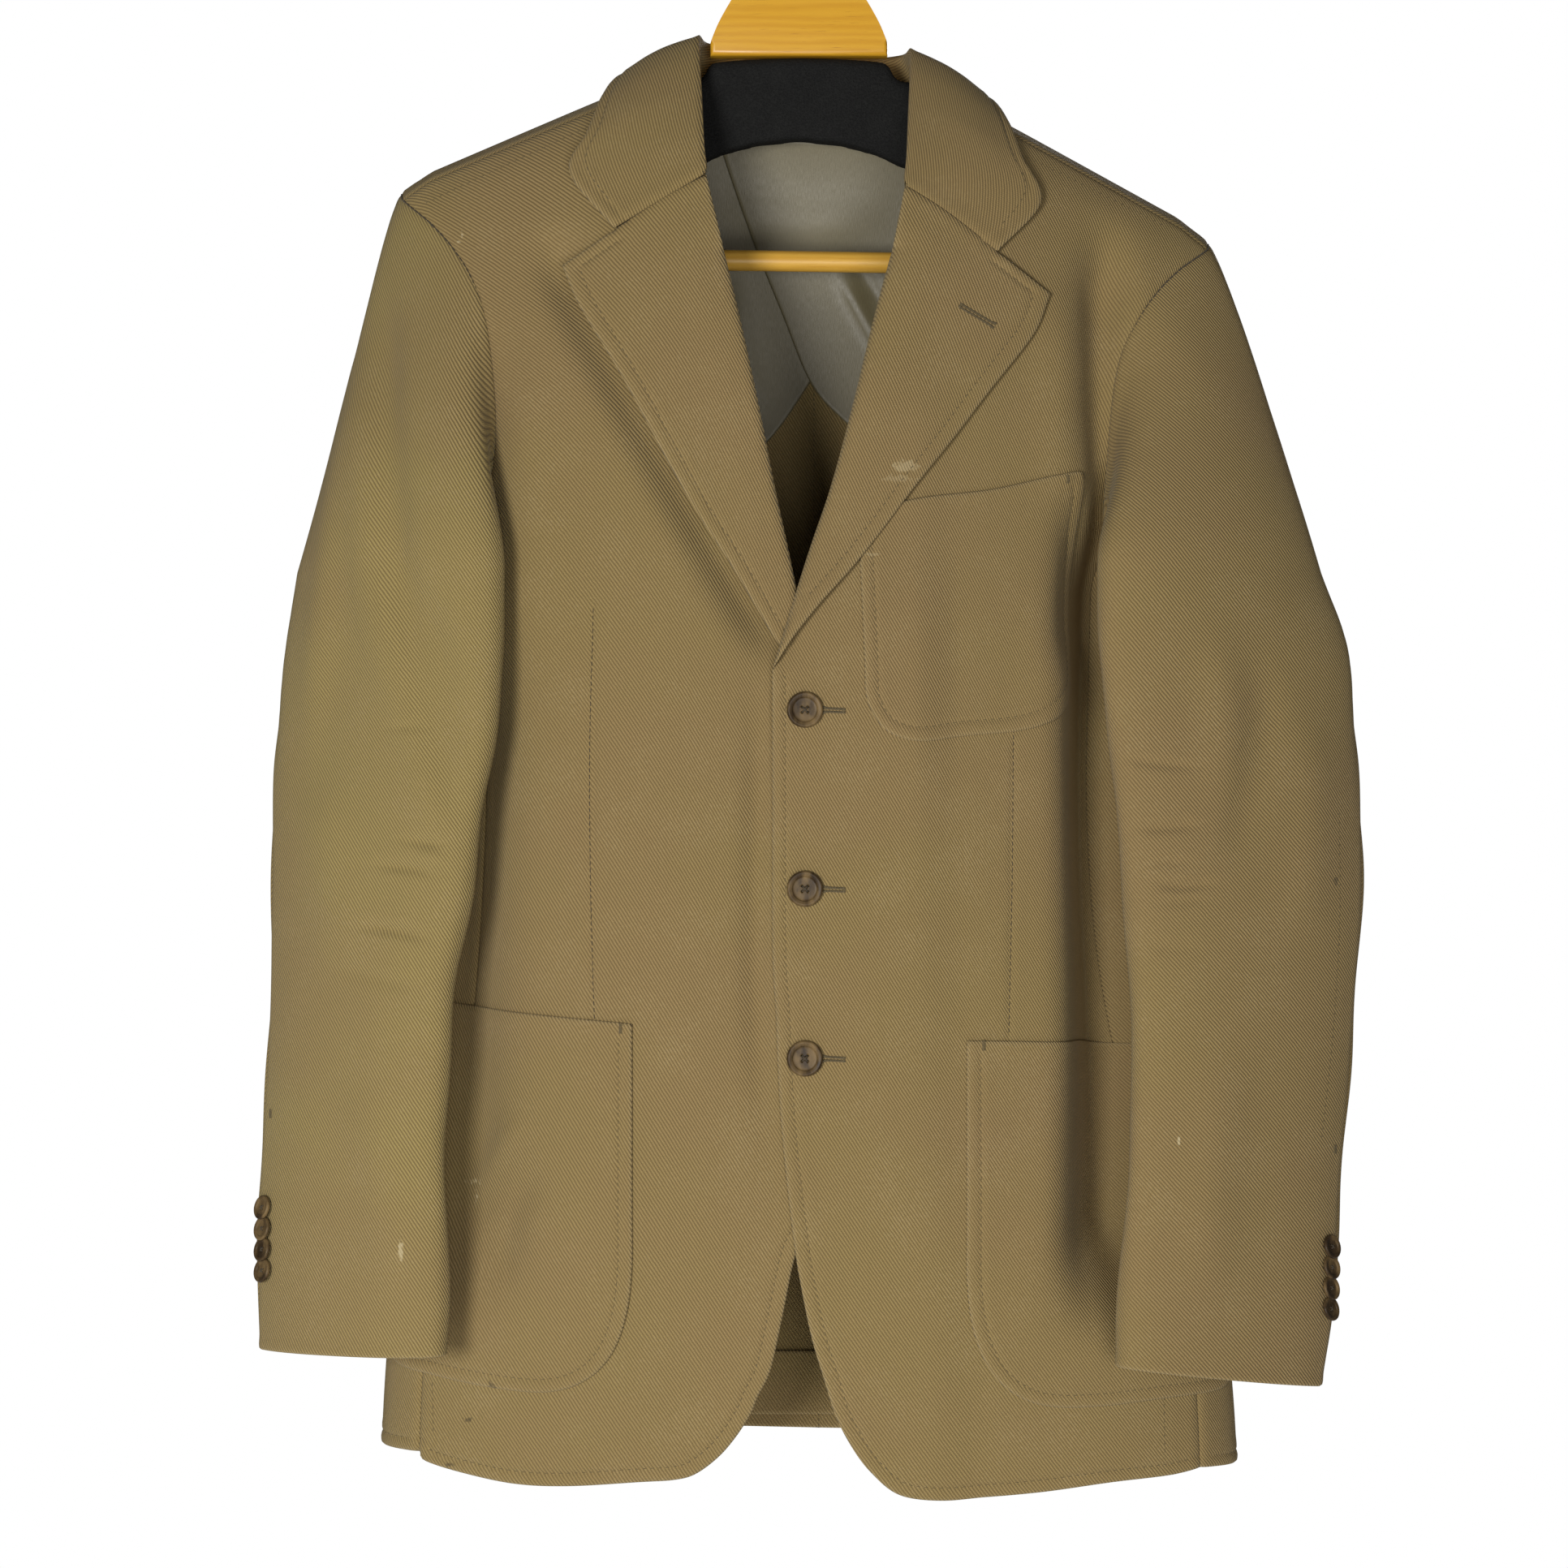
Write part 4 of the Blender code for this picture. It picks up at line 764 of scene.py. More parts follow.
@dataclass
class Outlines:
    """Edges of the cut pieces, measured on the photographed jacket as it hangs or, where named so, level."""

    shoulder_drop: float = 20.6
    armhole_front: Path = ((232.8, -233.5), (230.5, -239.5), (218.0, -250.0), (202.0, -266.0), (190.0, -284.0),
                           (182.0, -306.0), (178.5, -335.0), (178.0, -368.0), (182.0, -394.0), (195.0, -411.0))
    armhole_back: Path = ((232.8, -233.5), (224.0, -246.0), (210.0, -268.0), (202.0, -298.0), (199.0, -335.0),
                          (200.0, -372.0), (205.0, -402.0))
    armpit: tuple[float, float] = (216.0, -417.0)
    neck_front: Path = ((56.5, -219.0), (64.0, -192.0), (71.0, -166.0))
    neck_back: Path = ((72.0, -156.0), (58.0, -160.0), (36.0, -166.0), (0.0, -170.0))
    gorge_inner: tuple[float, float] = (55.7, -220.4)
    notch: tuple[float, float] = (107.5, -255.4)
    lapel_point: tuple[float, float] = (136.5, -276.5)
    seam_share: float = 0.90
    roll: dict[Side, Path] = field(default_factory=lambda: {
        Side.LEFT: ((52.0, -261.0), (42.0, -298.0), (31.0, -344.0), (18.0, -393.0), (4.0, -435.0),
                    (-15.0, -497.0)),
        Side.RIGHT: ((-42.0, -262.0), (-32.0, -305.0), (-22.0, -352.0), (-14.0, -393.0), (-4.0, -440.0),
                     (8.0, -500.0))})
    lapel_edge: dict[Side, Path] = field(default_factory=lambda: {
        Side.LEFT: ((127.0, -314.0), (90.0, -362.0), (58.0, -403.0), (33.0, -436.0), (11.0, -461.0),
                    (-4.0, -480.0)),
        Side.RIGHT: ((-118.5, -300.0), (-83.3, -361.6), (-58.7, -406.0), (-36.4, -441.0), (-11.7, -482.5),
                     (3.0, -499.0))})
    front_edge: dict[Side, Path] = field(default_factory=lambda: {
        Side.LEFT: ((-15.0, -497.0), (-15.0, -560.0), (-15.0, -650.0), (-13.0, -687.0), (-12.0, -715.0),
                    (-9.5, -755.0), (-3.0, -814.0), (1.4, -841.0), (7.0, -868.0), (13.5, -890.0),
                    (20.0, -911.0), (29.0, -929.0), (40.0, -944.0), (56.0, -957.0), (80.0, -960.5),
                    (106.0, -959.5), (138.0, -957.0), (177.0, -952.5), (211.0, -950.0)),
        Side.RIGHT: ((8.0, -500.0), (18.0, -545.0), (18.0, -760.0), (9.0, -798.0), (-2.0, -821.0),
                     (-9.0, -854.0), (-16.0, -886.0), (-23.0, -901.0), (-27.0, -911.0), (-35.0, -924.0),
                     (-45.0, -936.0), (-58.0, -946.0), (-70.0, -949.5), (-90.0, -951.0), (-130.0, -954.0),
                     (-160.0, -953.5), (-190.0, -948.5), (-212.0, -943.0))})
    side_hem: dict[Side, float] = field(default_factory=lambda: {Side.LEFT: -947.0, Side.RIGHT: -938.0})
    back_hem: float = -941.0
    hem_measure: float = 225.0
    back_seam: float = 12.0
    hip_pocket: Path = ((92.5, -697.5), (92.5, -800.0), (93.0, -836.0), (97.0, -862.0), (106.0, -883.0),
                        (121.0, -897.0), (141.0, -903.5), (170.0, -903.0), (205.0, -899.0))
    hip_pocket_reach: float = 0.982
    chest_pocket_top: Path = ((161.0, -388.0), (157.8, -385.0), (142.9, -387.8), (102.6, -396.8),
                              (61.0, -402.7), (32.0, -407.0))
    chest_pocket_round: Path = ((32.0, -407.0), (33.5, -437.0), (35.8, -490.4), (36.7, -511.2), (42.1, -524.3),
                                (51.6, -532.9), (68.3, -536.5), (92.2, -533.3), (118.5, -531.0),
                                (136.5, -526.6), (148.7, -519.8), (159.1, -509.0), (162.8, -494.5),
                                (162.8, -450.0), (161.0, -388.0))

    def mirrored(self, form: BodyForm, side: Side, places: Path) -> Points:
        """Chart level places on one side of the jacket."""
        return form.chart_level(places) * (side.value, 1.0)

    def armhole(self, form: BodyForm, side: Side, table: Path) -> Points:
        """Chart one half of the armhole, from the shoulder tip to the armpit."""
        level = form.chart_level(table)
        low = form.chart_level([self.armpit])[0, 1]
        path = np.vstack((level, (form.flank, low)))
        return smooth_path(path) * (side.value, 1.0)

    def hem_down(self, form: BodyForm, side: Side, z: float) -> float:
        """Find the distance down of a height on the flank."""
        return float(form.chart([(side.value * self.hem_measure, z)])[0, 1])


def cut_path(path: Points, axis: int, value: float) -> tuple[Points, Points]:
    """Divide a path where the size of one coordinate first passes a value.

    Args:
        path: The path.
        axis: The coordinate.
        value: Its size at the cut.

    Returns:
        The parts before and after the cut, which share the point there.
    """
    for index, (first, second) in enumerate(zip(path, path[1:])):
        low, high = abs(first[axis]), abs(second[axis])
        if (low - value) * (high - value) <= 0.0 and low != high:
            middle = first + (second - first) * (value - low) / (high - low)
            return np.vstack((path[:index + 1], middle)), np.vstack((middle, path[index + 1:]))
    return path, path[-1:]


def rising(value: Points, start: float, end: float) -> Points:
    """Rise smoothly from 0 at the start to 1 at the end."""
    share = np.clip((value - start) / (end - start), 0.0, 1.0)
    return share * share * (3.0 - 2.0 * share)


@dataclass
class BodyPieces:
    """Fronts, side bodies, backs, lapels, pockets and what shows inside the back."""

    form: BodyForm
    outlines: Outlines
    overlap_lift: float = 3.0
    crossing_lift: float = 6.2
    overlap_reach: tuple[float, float] = (62.0, 92.0)
    crossing: tuple[float, float] = (-500.0, 60.0)
    lapel_gap: dict[Side, float] = field(default_factory=lambda: {Side.LEFT: 3.2, Side.RIGHT: 1.0})
    roll_radius: float = 6.0
    pocket_gap: float = 0.6

    def left_lift(self, chart: Points) -> Points:
        """Raise the left front where it lies over the right one."""
        place = self.form.place(Sheet.FRONT, chart)
        crossing = np.exp(-((place[:, 2] - self.crossing[0]) / self.crossing[1]) ** 4)
        full = self.overlap_lift + (self.crossing_lift - self.overlap_lift) * crossing
        start, end = self.overlap_reach
        return full * (1.0 - rising(chart[:, 0], start, end)) * rising(-place[:, 2], 300.0, 360.0)

    def panels(self) -> list[Panel]:
        """Give all pieces on the body form."""
        out = []
        for side in Side:
            out += [self.front(side), self.side_body(side), self.back(side), self.lapel(side),
                    self.hip_pocket(side), self.half_lining(side)]
        out += [self.chest_pocket(), self.hem_facing()]
        return out

    def front(self, side: Side) -> Panel:
        """Cut a front, from the shoulder seam to the hem."""
        form, cut = self.form, self.outlines
        across = side.value * form.across_at(cut.seam_share)
        hole = cut_path(cut.armhole(form, side, cut.armhole_front), 1, cut.shoulder_drop)[1]
        hole = cut_path(hole, 0, abs(across))[0]
        neck = cut.mirrored(form, side, cut.neck_front)
        shoulder = np.array((neck[-1] * (1.0, 0.0) + (0.0, cut.shoulder_drop), hole[0]))
        edge = form.chart(cut.front_edge[side])
        low = np.array((across, cut.hem_down(form, side, cut.side_hem[side])))
        edge = np.vstack((edge, low))
        roll = form.chart(cut.roll[side])
        edge[0] = roll[-1]
        edges = [Edge(EdgeKind.SEAM, shoulder), Edge(EdgeKind.SEAM, hole, False),
                 Edge(EdgeKind.SEAM, np.array((hole[-1], low))), Edge(EdgeKind.TURNED, edge[::-1]),
                 Edge(EdgeKind.HIDDEN, roll[::-1]),
                 Edge(EdgeKind.HIDDEN, np.vstack((roll[0], neck[:-1], shoulder[0])))]
        dart = ((118.8, -536.0), (117.4, -620.0), (116.1, -702.0))
        if side is Side.RIGHT:
            dart = ((-115.2, -460.0), (-114.6, -580.0), (-115.2, -692.0))
        lift = self.left_lift if side is Side.LEFT else None
        panel = Panel(f"front_{side.name.lower()}_cloth", edges, Sheet.FRONT, -CLOTH, 0.0, lift, (),
                      [form.chart(dart)])
        return panel

    def side_body(self, side: Side) -> Panel:
        """Cut a narrow side piece, round the flank below the armhole."""
        form, cut = self.form, self.outlines
        across = form.across_at(cut.seam_share)
        front = cut_path(cut.armhole(form, side, cut.armhole_front), 0, across)[1]
        back = cut_path(cut.armhole(form, side, cut.armhole_back), 0, across)[1]
        back = (back * (-1.0, 1.0) + (side.value * 2.0 * form.flank, 0.0))[::-1]
        seam = side.value * (2.0 * form.flank - across)
        hems = [cut.hem_down(form, side, z) for z in (cut.back_hem, cut.side_hem[side])]
        low = np.array(((seam, hems[0]), (side.value * form.flank, hems[1]), (side.value * across, hems[1])))
        hole = np.vstack((front, back[1:]))
        edges = [Edge(EdgeKind.SEAM, hole, False), Edge(EdgeKind.SEAM, np.array((hole[-1], low[0]))),
                 Edge(EdgeKind.TURNED, low), Edge(EdgeKind.SEAM, np.array((low[-1], hole[0])))]
        panel = Panel(f"side_body_{side.name.lower()}_cloth", edges, Sheet.FRONT, -CLOTH, 0.0)
        return panel

    def back(self, side: Side) -> Panel:
        """Cut a back half, over the shoulder to the seam in front."""
        form, cut = self.form, self.outlines
        across = side.value * form.across_at(cut.seam_share)
        strip = cut_path(cut.armhole(form, side, cut.armhole_front), 1, cut.shoulder_drop)[0]
        hole = cut_path(cut.armhole(form, side, cut.armhole_back), 0, abs(across))[0]
        hole = np.vstack((strip[::-1] * (1.0, -1.0), hole))
        neck = cut.mirrored(form, side, cut.neck_back)
        corner = np.array((cut.mirrored(form, side, cut.neck_front)[-1, 0], -cut.shoulder_drop))
        low = np.array((across, cut.hem_down(form, side, cut.back_hem)))
        centre = form.chart([(cut.back_seam, cut.back_hem)])[0]
        middle = form.chart([(side.value * 120.0, cut.back_hem - side.value * 2.0)])[0]
        top = np.array((centre[0], neck[-1, 1]))
        edges = [Edge(EdgeKind.SEAM, np.array((corner, hole[0]))), Edge(EdgeKind.SEAM, hole, False),
                 Edge(EdgeKind.SEAM, np.array((hole[-1], low))),
                 Edge(EdgeKind.TURNED, np.array((low, middle, centre))),
                 Edge(EdgeKind.SEAM, np.array((centre, top))),
                 Edge(EdgeKind.HIDDEN, np.vstack((top, neck[::-1][1:], corner)))]
        panel = Panel(f"back_{side.name.lower()}_cloth", edges, Sheet.BACK, -CLOTH, 0.0)
        return panel

    def lapel(self, side: Side) -> Panel:
        """Cut a lapel, folded back on the front along its roll line."""
        form, cut = self.form, self.outlines
        step = np.array((0.0, -0.9))
        gorge = cut.mirrored(form, side, np.array((cut.gorge_inner, cut.notch)) + step)
        nose = cut.mirrored(form, side, np.array((cut.notch, cut.lapel_point)) + step)
        roll = form.chart(cut.roll[side])
        outer = np.vstack((nose[-1], form.chart(cut.lapel_edge[side]), roll[-1]))
        lift = self._lapel_lift(side, smooth_path(roll))
        edges = [Edge(EdgeKind.SEAM, gorge), Edge(EdgeKind.TURNED, nose), Edge(EdgeKind.TURNED, outer),
                 Edge(EdgeKind.FOLDED, np.vstack((roll[::-1], gorge[0])))]
        panel = Panel(f"lapel_{side.name.lower()}_cloth", edges, Sheet.FRONT, 0.0, CLOTH, lift,
                      (), (), 3.2)
        return panel

    def _lapel_lift(self, side: Side, roll: Points) -> Callable[[Points], Points]:
        """Give the lift of a lapel, which turns round the edge of the front along its roll."""
        def lift(chart: Points) -> Points:
            """Lift the lapel off the front."""
            gap = distance_to(chart, roll)[0]
            share = np.clip(1.0 - gap / self.roll_radius, 0.0, 1.0)
            base = self.left_lift(chart) if side is Side.LEFT else 0.0
            full = self.lapel_gap[side]
            bow = 1.2 * np.exp(-((gap - 16.0) / 12.0) ** 2)
            folds = self.form.folds(self.form.place(Sheet.FRONT, chart))
            return base + full + bow - (full + 2.2) * (1.0 - np.sqrt(1.0 - share ** 2)) - folds
        return lift

    def hip_pocket(self, side: Side) -> Panel:
        """Cut a hip patch pocket, which ends on the flank."""
        form, cut = self.form, self.outlines
        hung = np.array(cut.hip_pocket) * (side.value, 1.0)
        heights, slopes, _ = np.array(form.hang).T
        hung[:, 1] -= np.interp(hung[:, 1], heights, slopes) * (hung[:, 0] - form.hang_pivot)
        round_edge = form.chart(hung)
        end = side.value * form.across_at(cut.hip_pocket_reach)
        top_z = cut.hip_pocket[0][1] - side.value * 0.047 * 232.0
        top = float(form.chart([(side.value * 232.0, top_z)])[0, 1])
        low = round_edge[-1] + (0.0, -1.0)
        far = np.array(((end - side.value * 9.0, low[1] - 5.0), (end, low[1] - 16.0)))
        round_edge = np.vstack((round_edge, far))
        edges = [Edge(EdgeKind.TURNED, round_edge), Edge(EdgeKind.TURNED, np.array((far[-1], (end, top)))),
                 Edge(EdgeKind.FOLDED, np.array(((end, top), round_edge[0])))]
        panel = Panel(f"hip_pocket_{side.name.lower()}_cloth", edges, Sheet.FRONT, self.pocket_gap,
                      self.pocket_gap + 1.6, None, (), (), 3.2)
        return panel

    def chest_pocket(self) -> Panel:
        """Cut the chest patch pocket, whose inner corner lies under the lapel."""
        form, cut = self.form, self.outlines
        edges = [Edge(EdgeKind.FOLDED, form.chart(cut.chest_pocket_top)),
                 Edge(EdgeKind.TURNED, form.chart(cut.chest_pocket_round))]
        panel = Panel("chest_pocket_cloth", edges, Sheet.FRONT, self.pocket_gap, self.pocket_gap + 1.6,
                      self.left_lift, (), (), 2.8)
        return panel

    def half_lining(self, side: Side) -> Panel:
        """Cut one of the crossed half linings under the upper back."""
        form, cut = self.form, self.outlines
        edge = {
            Side.LEFT: ((-46.0, -180.0), (-43.0, -194.0), (-27.0, -239.0), (-10.0, -281.0), (7.0, -322.0),
                        (27.0, -345.0), (60.0, -372.0), (110.0, -396.0), (165.0, -412.0)),
            Side.RIGHT: ((46.0, -184.0), (42.0, -206.0), (30.0, -262.0), (20.0, -298.0), (7.0, -322.0),
                         (-19.0, -358.0), (-55.0, -384.0), (-105.0, -404.0), (-165.0, -416.0))}[side]
        rest = ((188.0, -414.0), (186.0, -380.0), (186.0, -330.0), (190.0, -290.0), (196.0, -262.0),
                (184.0, -232.0), (130.0, -206.0), (80.0, -183.0))
        free, sewn = form.chart(edge), cut.mirrored(form, side, rest)
        edges = [Edge(EdgeKind.FOLDED, free),
                 Edge(EdgeKind.HIDDEN, np.vstack((free[-1], sewn, free[0])), False)]
        depth = 2.0 if side is Side.LEFT else 0.5
        folds = (Crease(((20.0, -250.0), (42.0, -290.0), (62.0, -322.0)), -2.6, 4.5),
                 Crease(((30.0, -246.0), (54.0, -284.0)), 1.5, 4.0),
                 Crease(((-36.0, -250.0), (-30.0, -310.0), (-20.0, -350.0)), -1.2, 6.0))
        return Panel(f"half_lining_{side.name.lower()}_cloth", edges, Sheet.BACK, -CLOTH - depth - LINING,
                     -CLOTH - depth, creases=folds if side is Side.LEFT else folds[2:], spacing=FINE_STEP)

    def hem_facing(self) -> Panel:
        """Cut the turned hem inside the back."""
        form, cut = self.form, self.outlines
        reach = form.across_at(0.895)
        measure = cut.hem_measure
        rows = [[form.chart([(x, z)])[0, 1] for x in (-measure, measure)] for z in (-902.0, -936.0)]
        (top_right, top_left), (foot_right, foot_left) = rows
        corners = np.array(((-reach, top_right), (reach, top_left), (reach, foot_left), (-reach, foot_right)))
        edges = [Edge(EdgeKind.FOLDED, corners[[0, 1]]), Edge(EdgeKind.HIDDEN, corners[[1, 2]]),
                 Edge(EdgeKind.FOLDED, corners[[2, 3]]), Edge(EdgeKind.HIDDEN, corners[[3, 0]])]
        return Panel("back_hem_facing_cloth", edges, Sheet.BACK, -2.0 * CLOTH - 0.5, -CLOTH - 0.5,
                     spacing=FINE_STEP)


def grid_faces(rows: int, columns: int) -> list[list[int]]:
    """Give the quads of a grid of points."""
    return [[r * columns + c, (r + 1) * columns + c, (r + 1) * columns + c + 1, r * columns + c + 1]
            for r in range(rows - 1) for c in range(columns - 1)]


def grid_normals(grid: Points) -> Points:
    """Find the normals of a grid of points, rows by columns."""
    return unit(np.cross(np.gradient(grid, axis=1), np.gradient(grid, axis=0)))


def grid_shell(name: str, grid: Points, normals: Points, profile: Points, free: Points, moved: Points,
               weave: Points) -> tuple[bpy.types.Object, Points]:
    """Make a two-layer piece of cloth from a grid.

    Args:
        name: Name of the piece.
        grid: Its points.
        normals: The normals there.
        profile: How far its outer face is lowered or raised along the edges.
        free: Distance of each point from the free edge.
        moved: How far each point is moved along its normal.
        weave: Each point's place in the weave.

    Returns:
        The new object and the grid of its outer face.
    """
    rounding = EDGE_ROUND * CLOTH * np.clip(1.0 - free, 0.0, 1.0) ** 2
    points, ways = grid.reshape(-1, 3), normals.reshape(-1, 3)
    outer = points + ways * (moved + profile - rounding)[:, None]
    inner = points + ways * (moved - CLOTH + rounding)[:, None]
    faces = grid_faces(*grid.shape[:2])
    probe = faces[len(faces) // 2]
    a, b, c = (outer[probe[k]] for k in range(3))
    if np.cross(b - a, c - a) @ ways[probe[0]] < 0.0:
        faces = [face[::-1] for face in faces]
    made = shell(name, outer, inner, faces, weave, np.exp(-(free / WEAR_REACH) ** 2))
    return made, outer.reshape(grid.shape)


def hanging_weave(grid: Points) -> Points:
    """Lay the weave of a hanging grid straight down, and level round it from its middle column."""
    steps = np.linalg.norm(np.diff(grid[..., :2], axis=1), axis=2)
    steps = steps * np.sign(grid[:, -1:, 0] - grid[:, :1, 0])
    round_it = np.hstack((np.zeros((len(grid), 1)), np.cumsum(steps, axis=1)))
    middle = grid.shape[1] // 2
    across = round_it - round_it[:, middle:middle + 1] + grid[:, middle:middle + 1, 0]
    return np.stack((across, -grid[..., 2]), axis=2).reshape(-1, 2)


def grid_lengths(grid: Points) -> Points:
    """Lay a grid out flat: the distance along the middle row and down each column."""
    middle = grid[len(grid) // 2]
    across = np.concatenate(([0.0], np.cumsum(np.linalg.norm(np.diff(middle, axis=0), axis=1))))
    steps = np.linalg.norm(np.diff(grid, axis=0), axis=2)
    down = np.vstack((np.zeros(grid.shape[1]), np.cumsum(steps, axis=0)))
    return np.stack((np.broadcast_to(across, down.shape), down), axis=2)


@dataclass
class SleeveForm:
    """The surface of one sleeve, from the armhole to the cuff.

    A place on it is a share round the armhole, down the front and up the back, and a row: 0 to 1 is
    the head, and then one for each step of the table down the arm.
    """

    side: Side
    form: BodyForm
    outlines: Outlines
    outer_y: tuple[float, float] = (-22.0, -45.0)
    inner_y: tuple[float, float] = (-86.0, -95.0)
    depth: tuple[float, float] = (23.0, 19.0)
    power: float = 2.2
    turn: float = 48.0
    turn_rows: float = 4.0
    head_pull: float = 16.0
    arm_pull: float = 0.42
    arm_lean: float = 0.30
    gap: float = -1.6
    sunk: float = 0.9
    # share of the armhole, angle on the arm, pull outward and pull along the normal
    head: Sequence[tuple[float, ...]] = (
        (0.00, -8.0, 0.95, 0.10), (0.12, 62.0, 0.85, 0.45), (0.25, 138.0, 0.55, 0.80),
        (0.33, 180.0, 0.30, 0.95), (0.42, 236.0, 0.05, 1.00), (0.50, 282.0, 0.00, 1.00),
        (0.62, 305.0, 0.10, 1.00), (0.78, 328.0, 0.55, 0.80), (0.90, 341.0, 0.85, 0.45),
        (1.00, 352.0, 0.95, 0.10))
    # outer x and z, inner x and z
    rows: dict[Side, Sequence[tuple[float, ...]]] = field(default_factory=lambda: {
        Side.LEFT: ((296.0, -440.0, 166.5, -440.0), (311.0, -482.0, 166.5, -482.0),
                    (315.0, -531.0, 171.0, -531.0), (318.0, -576.0, 175.5, -576.0),
                    (319.0, -622.0, 180.0, -622.0), (314.5, -676.0, 183.0, -676.0),
                    (311.0, -719.0, 184.0, -719.0), (306.0, -767.0, 182.0, -767.0),
                    (303.0, -820.0, 178.5, -815.0), (300.0, -862.0, 176.0, -852.0),
                    (294.0, -899.0, 175.0, -881.0)),
        Side.RIGHT: ((284.0, -440.0, 165.0, -440.0), (291.0, -485.0, 165.0, -485.0),
                     (295.0, -530.0, 168.0, -530.0), (297.5, -575.0, 176.0, -575.0),
                     (298.0, -620.0, 182.0, -620.0), (297.5, -666.0, 191.0, -666.0),
                     (299.0, -711.0, 193.5, -711.0), (301.0, -757.0, 196.5, -757.0),
                     (304.0, -800.0, 195.0, -800.0), (304.0, -842.0, 194.5, -842.0),
                     (303.5, -877.5, 196.0, -875.0))})

    def __post_init__(self) -> None:
        """Work out the armhole loop and the rows of the arm."""
        cut, form = self.outlines, self.form
        halves = []
        for sheet, table in ((Sheet.FRONT, cut.armhole_front), (Sheet.BACK, cut.armhole_back)):
            chart = resample(cut.armhole(form, self.side, table), 1.0)
            points, normals = form.place(sheet, chart), form.normal(sheet, chart)
            points = points + normals * form.folds(points)[:, None]
            run = np.concatenate(([0.0], np.cumsum(np.linalg.norm(np.diff(points, axis=0), axis=1))))
            halves.append((run / run[-1], points, normals))
        self._halves = halves
        self.last = len(self.rows[self.side]) - 1

    def loop(self, share: Points) -> tuple[Points, Points, Points]:
        """Give points, ways out of the body and normals at shares round the armhole."""
        share = np.mod(share, 1.0)

        def read(values: int, at: Points) -> Points:
            """Read points or normals of the loop."""
            at = np.mod(at, 1.0)
            first, second = self._halves
            near, far = (np.stack([np.interp(run, half[0], half[values][:, k]) for k in range(3)], axis=1)
                         for run, half in ((2.0 * at, first), (2.0 - 2.0 * at, second)))
            return np.where((at <= 0.5)[:, None], near, far)

        points = read(1, share)
        normals = unit(read(2, share - 0.02) + read(2, share) + read(2, share + 0.02))
        along = read(1, share + 0.03) - read(1, share - 0.03)
        away = -unit(np.cross(along, normals)) * self.side.value
        return points, away, normals

    def arm(self, row: Points, angle: Points) -> Points:
        """Give points of the arm at table rows, with the angle from its outer end round the front."""
        sign = self.side.value
        fine = smooth_path(self.rows[self.side], 8)
        steps = np.arange(len(fine)) / 8.0
        outer_x, outer_z, inner_x, inner_z = (np.interp(row, steps, fine[:, k]) for k in range(4))
        share = row / self.last
        outer_y, inner_y, depth = (ends[0] + share * (ends[1] - ends[0])
                                   for ends in (self.outer_y, self.inner_y, self.depth))
        outer = np.stack((sign * outer_x, outer_y, outer_z), axis=1)
        inner = np.stack((sign * inner_x, inner_y, inner_z), axis=1)
        half = 0.5 * (outer - inner)
        forward = unit(np.stack((half[:, 1] * sign, -half[:, 0] * sign, np.zeros(len(row))), axis=1))
        c, s = np.cos(np.radians(angle)), np.sin(np.radians(angle))
        power = 2.0 / self.power
        c, s = np.sign(c) * np.abs(c) ** power, np.sign(s) * np.abs(s) ** power
        return 0.5 * (outer + inner) + c[:, None] * half + (s * depth)[:, None] * forward

    def place(self, share: Points, row: Points) -> Points:
        """Give points of the sleeve; rows below 1 are the head."""
        table = smooth_path(self.head, 6)
        angle, outward, along = (np.interp(np.mod(share, 1.0), table[:, 0], table[:, k]) for k in (1, 2, 3))
        start, away, normal = self.loop(share)
        start = start + self.gap * away - self.sunk * normal
        pull = unit(outward[:, None] * away + along[:, None] * normal)
        end = self.arm(np.zeros(len(share)), angle)
        reach = np.linalg.norm(end - start, axis=1)
        lean = self.arm_lean * np.maximum(np.cos(np.radians(angle)), 0.0)
        up = np.stack((-self.side.value * lean, np.zeros(len(share)), np.ones(len(share))), axis=1)
        first = start + self.head_pull * pull
        second = end + (self.arm_pull * reach)[:, None] * up
        t = np.clip(row, 0.0, 1.0)[:, None]
        head = ((1 - t) ** 3 * start + 3 * t * (1 - t) ** 2 * first + 3 * t * t * (1 - t) * second
                + t ** 3 * end)
        low = np.clip(row - 1.0, 0.0, None)
        turned = angle + self.turn * rising(low, 0.0, self.turn_rows)
        return np.where(row[:, None] <= 1.0, head, self.arm(low, turned))


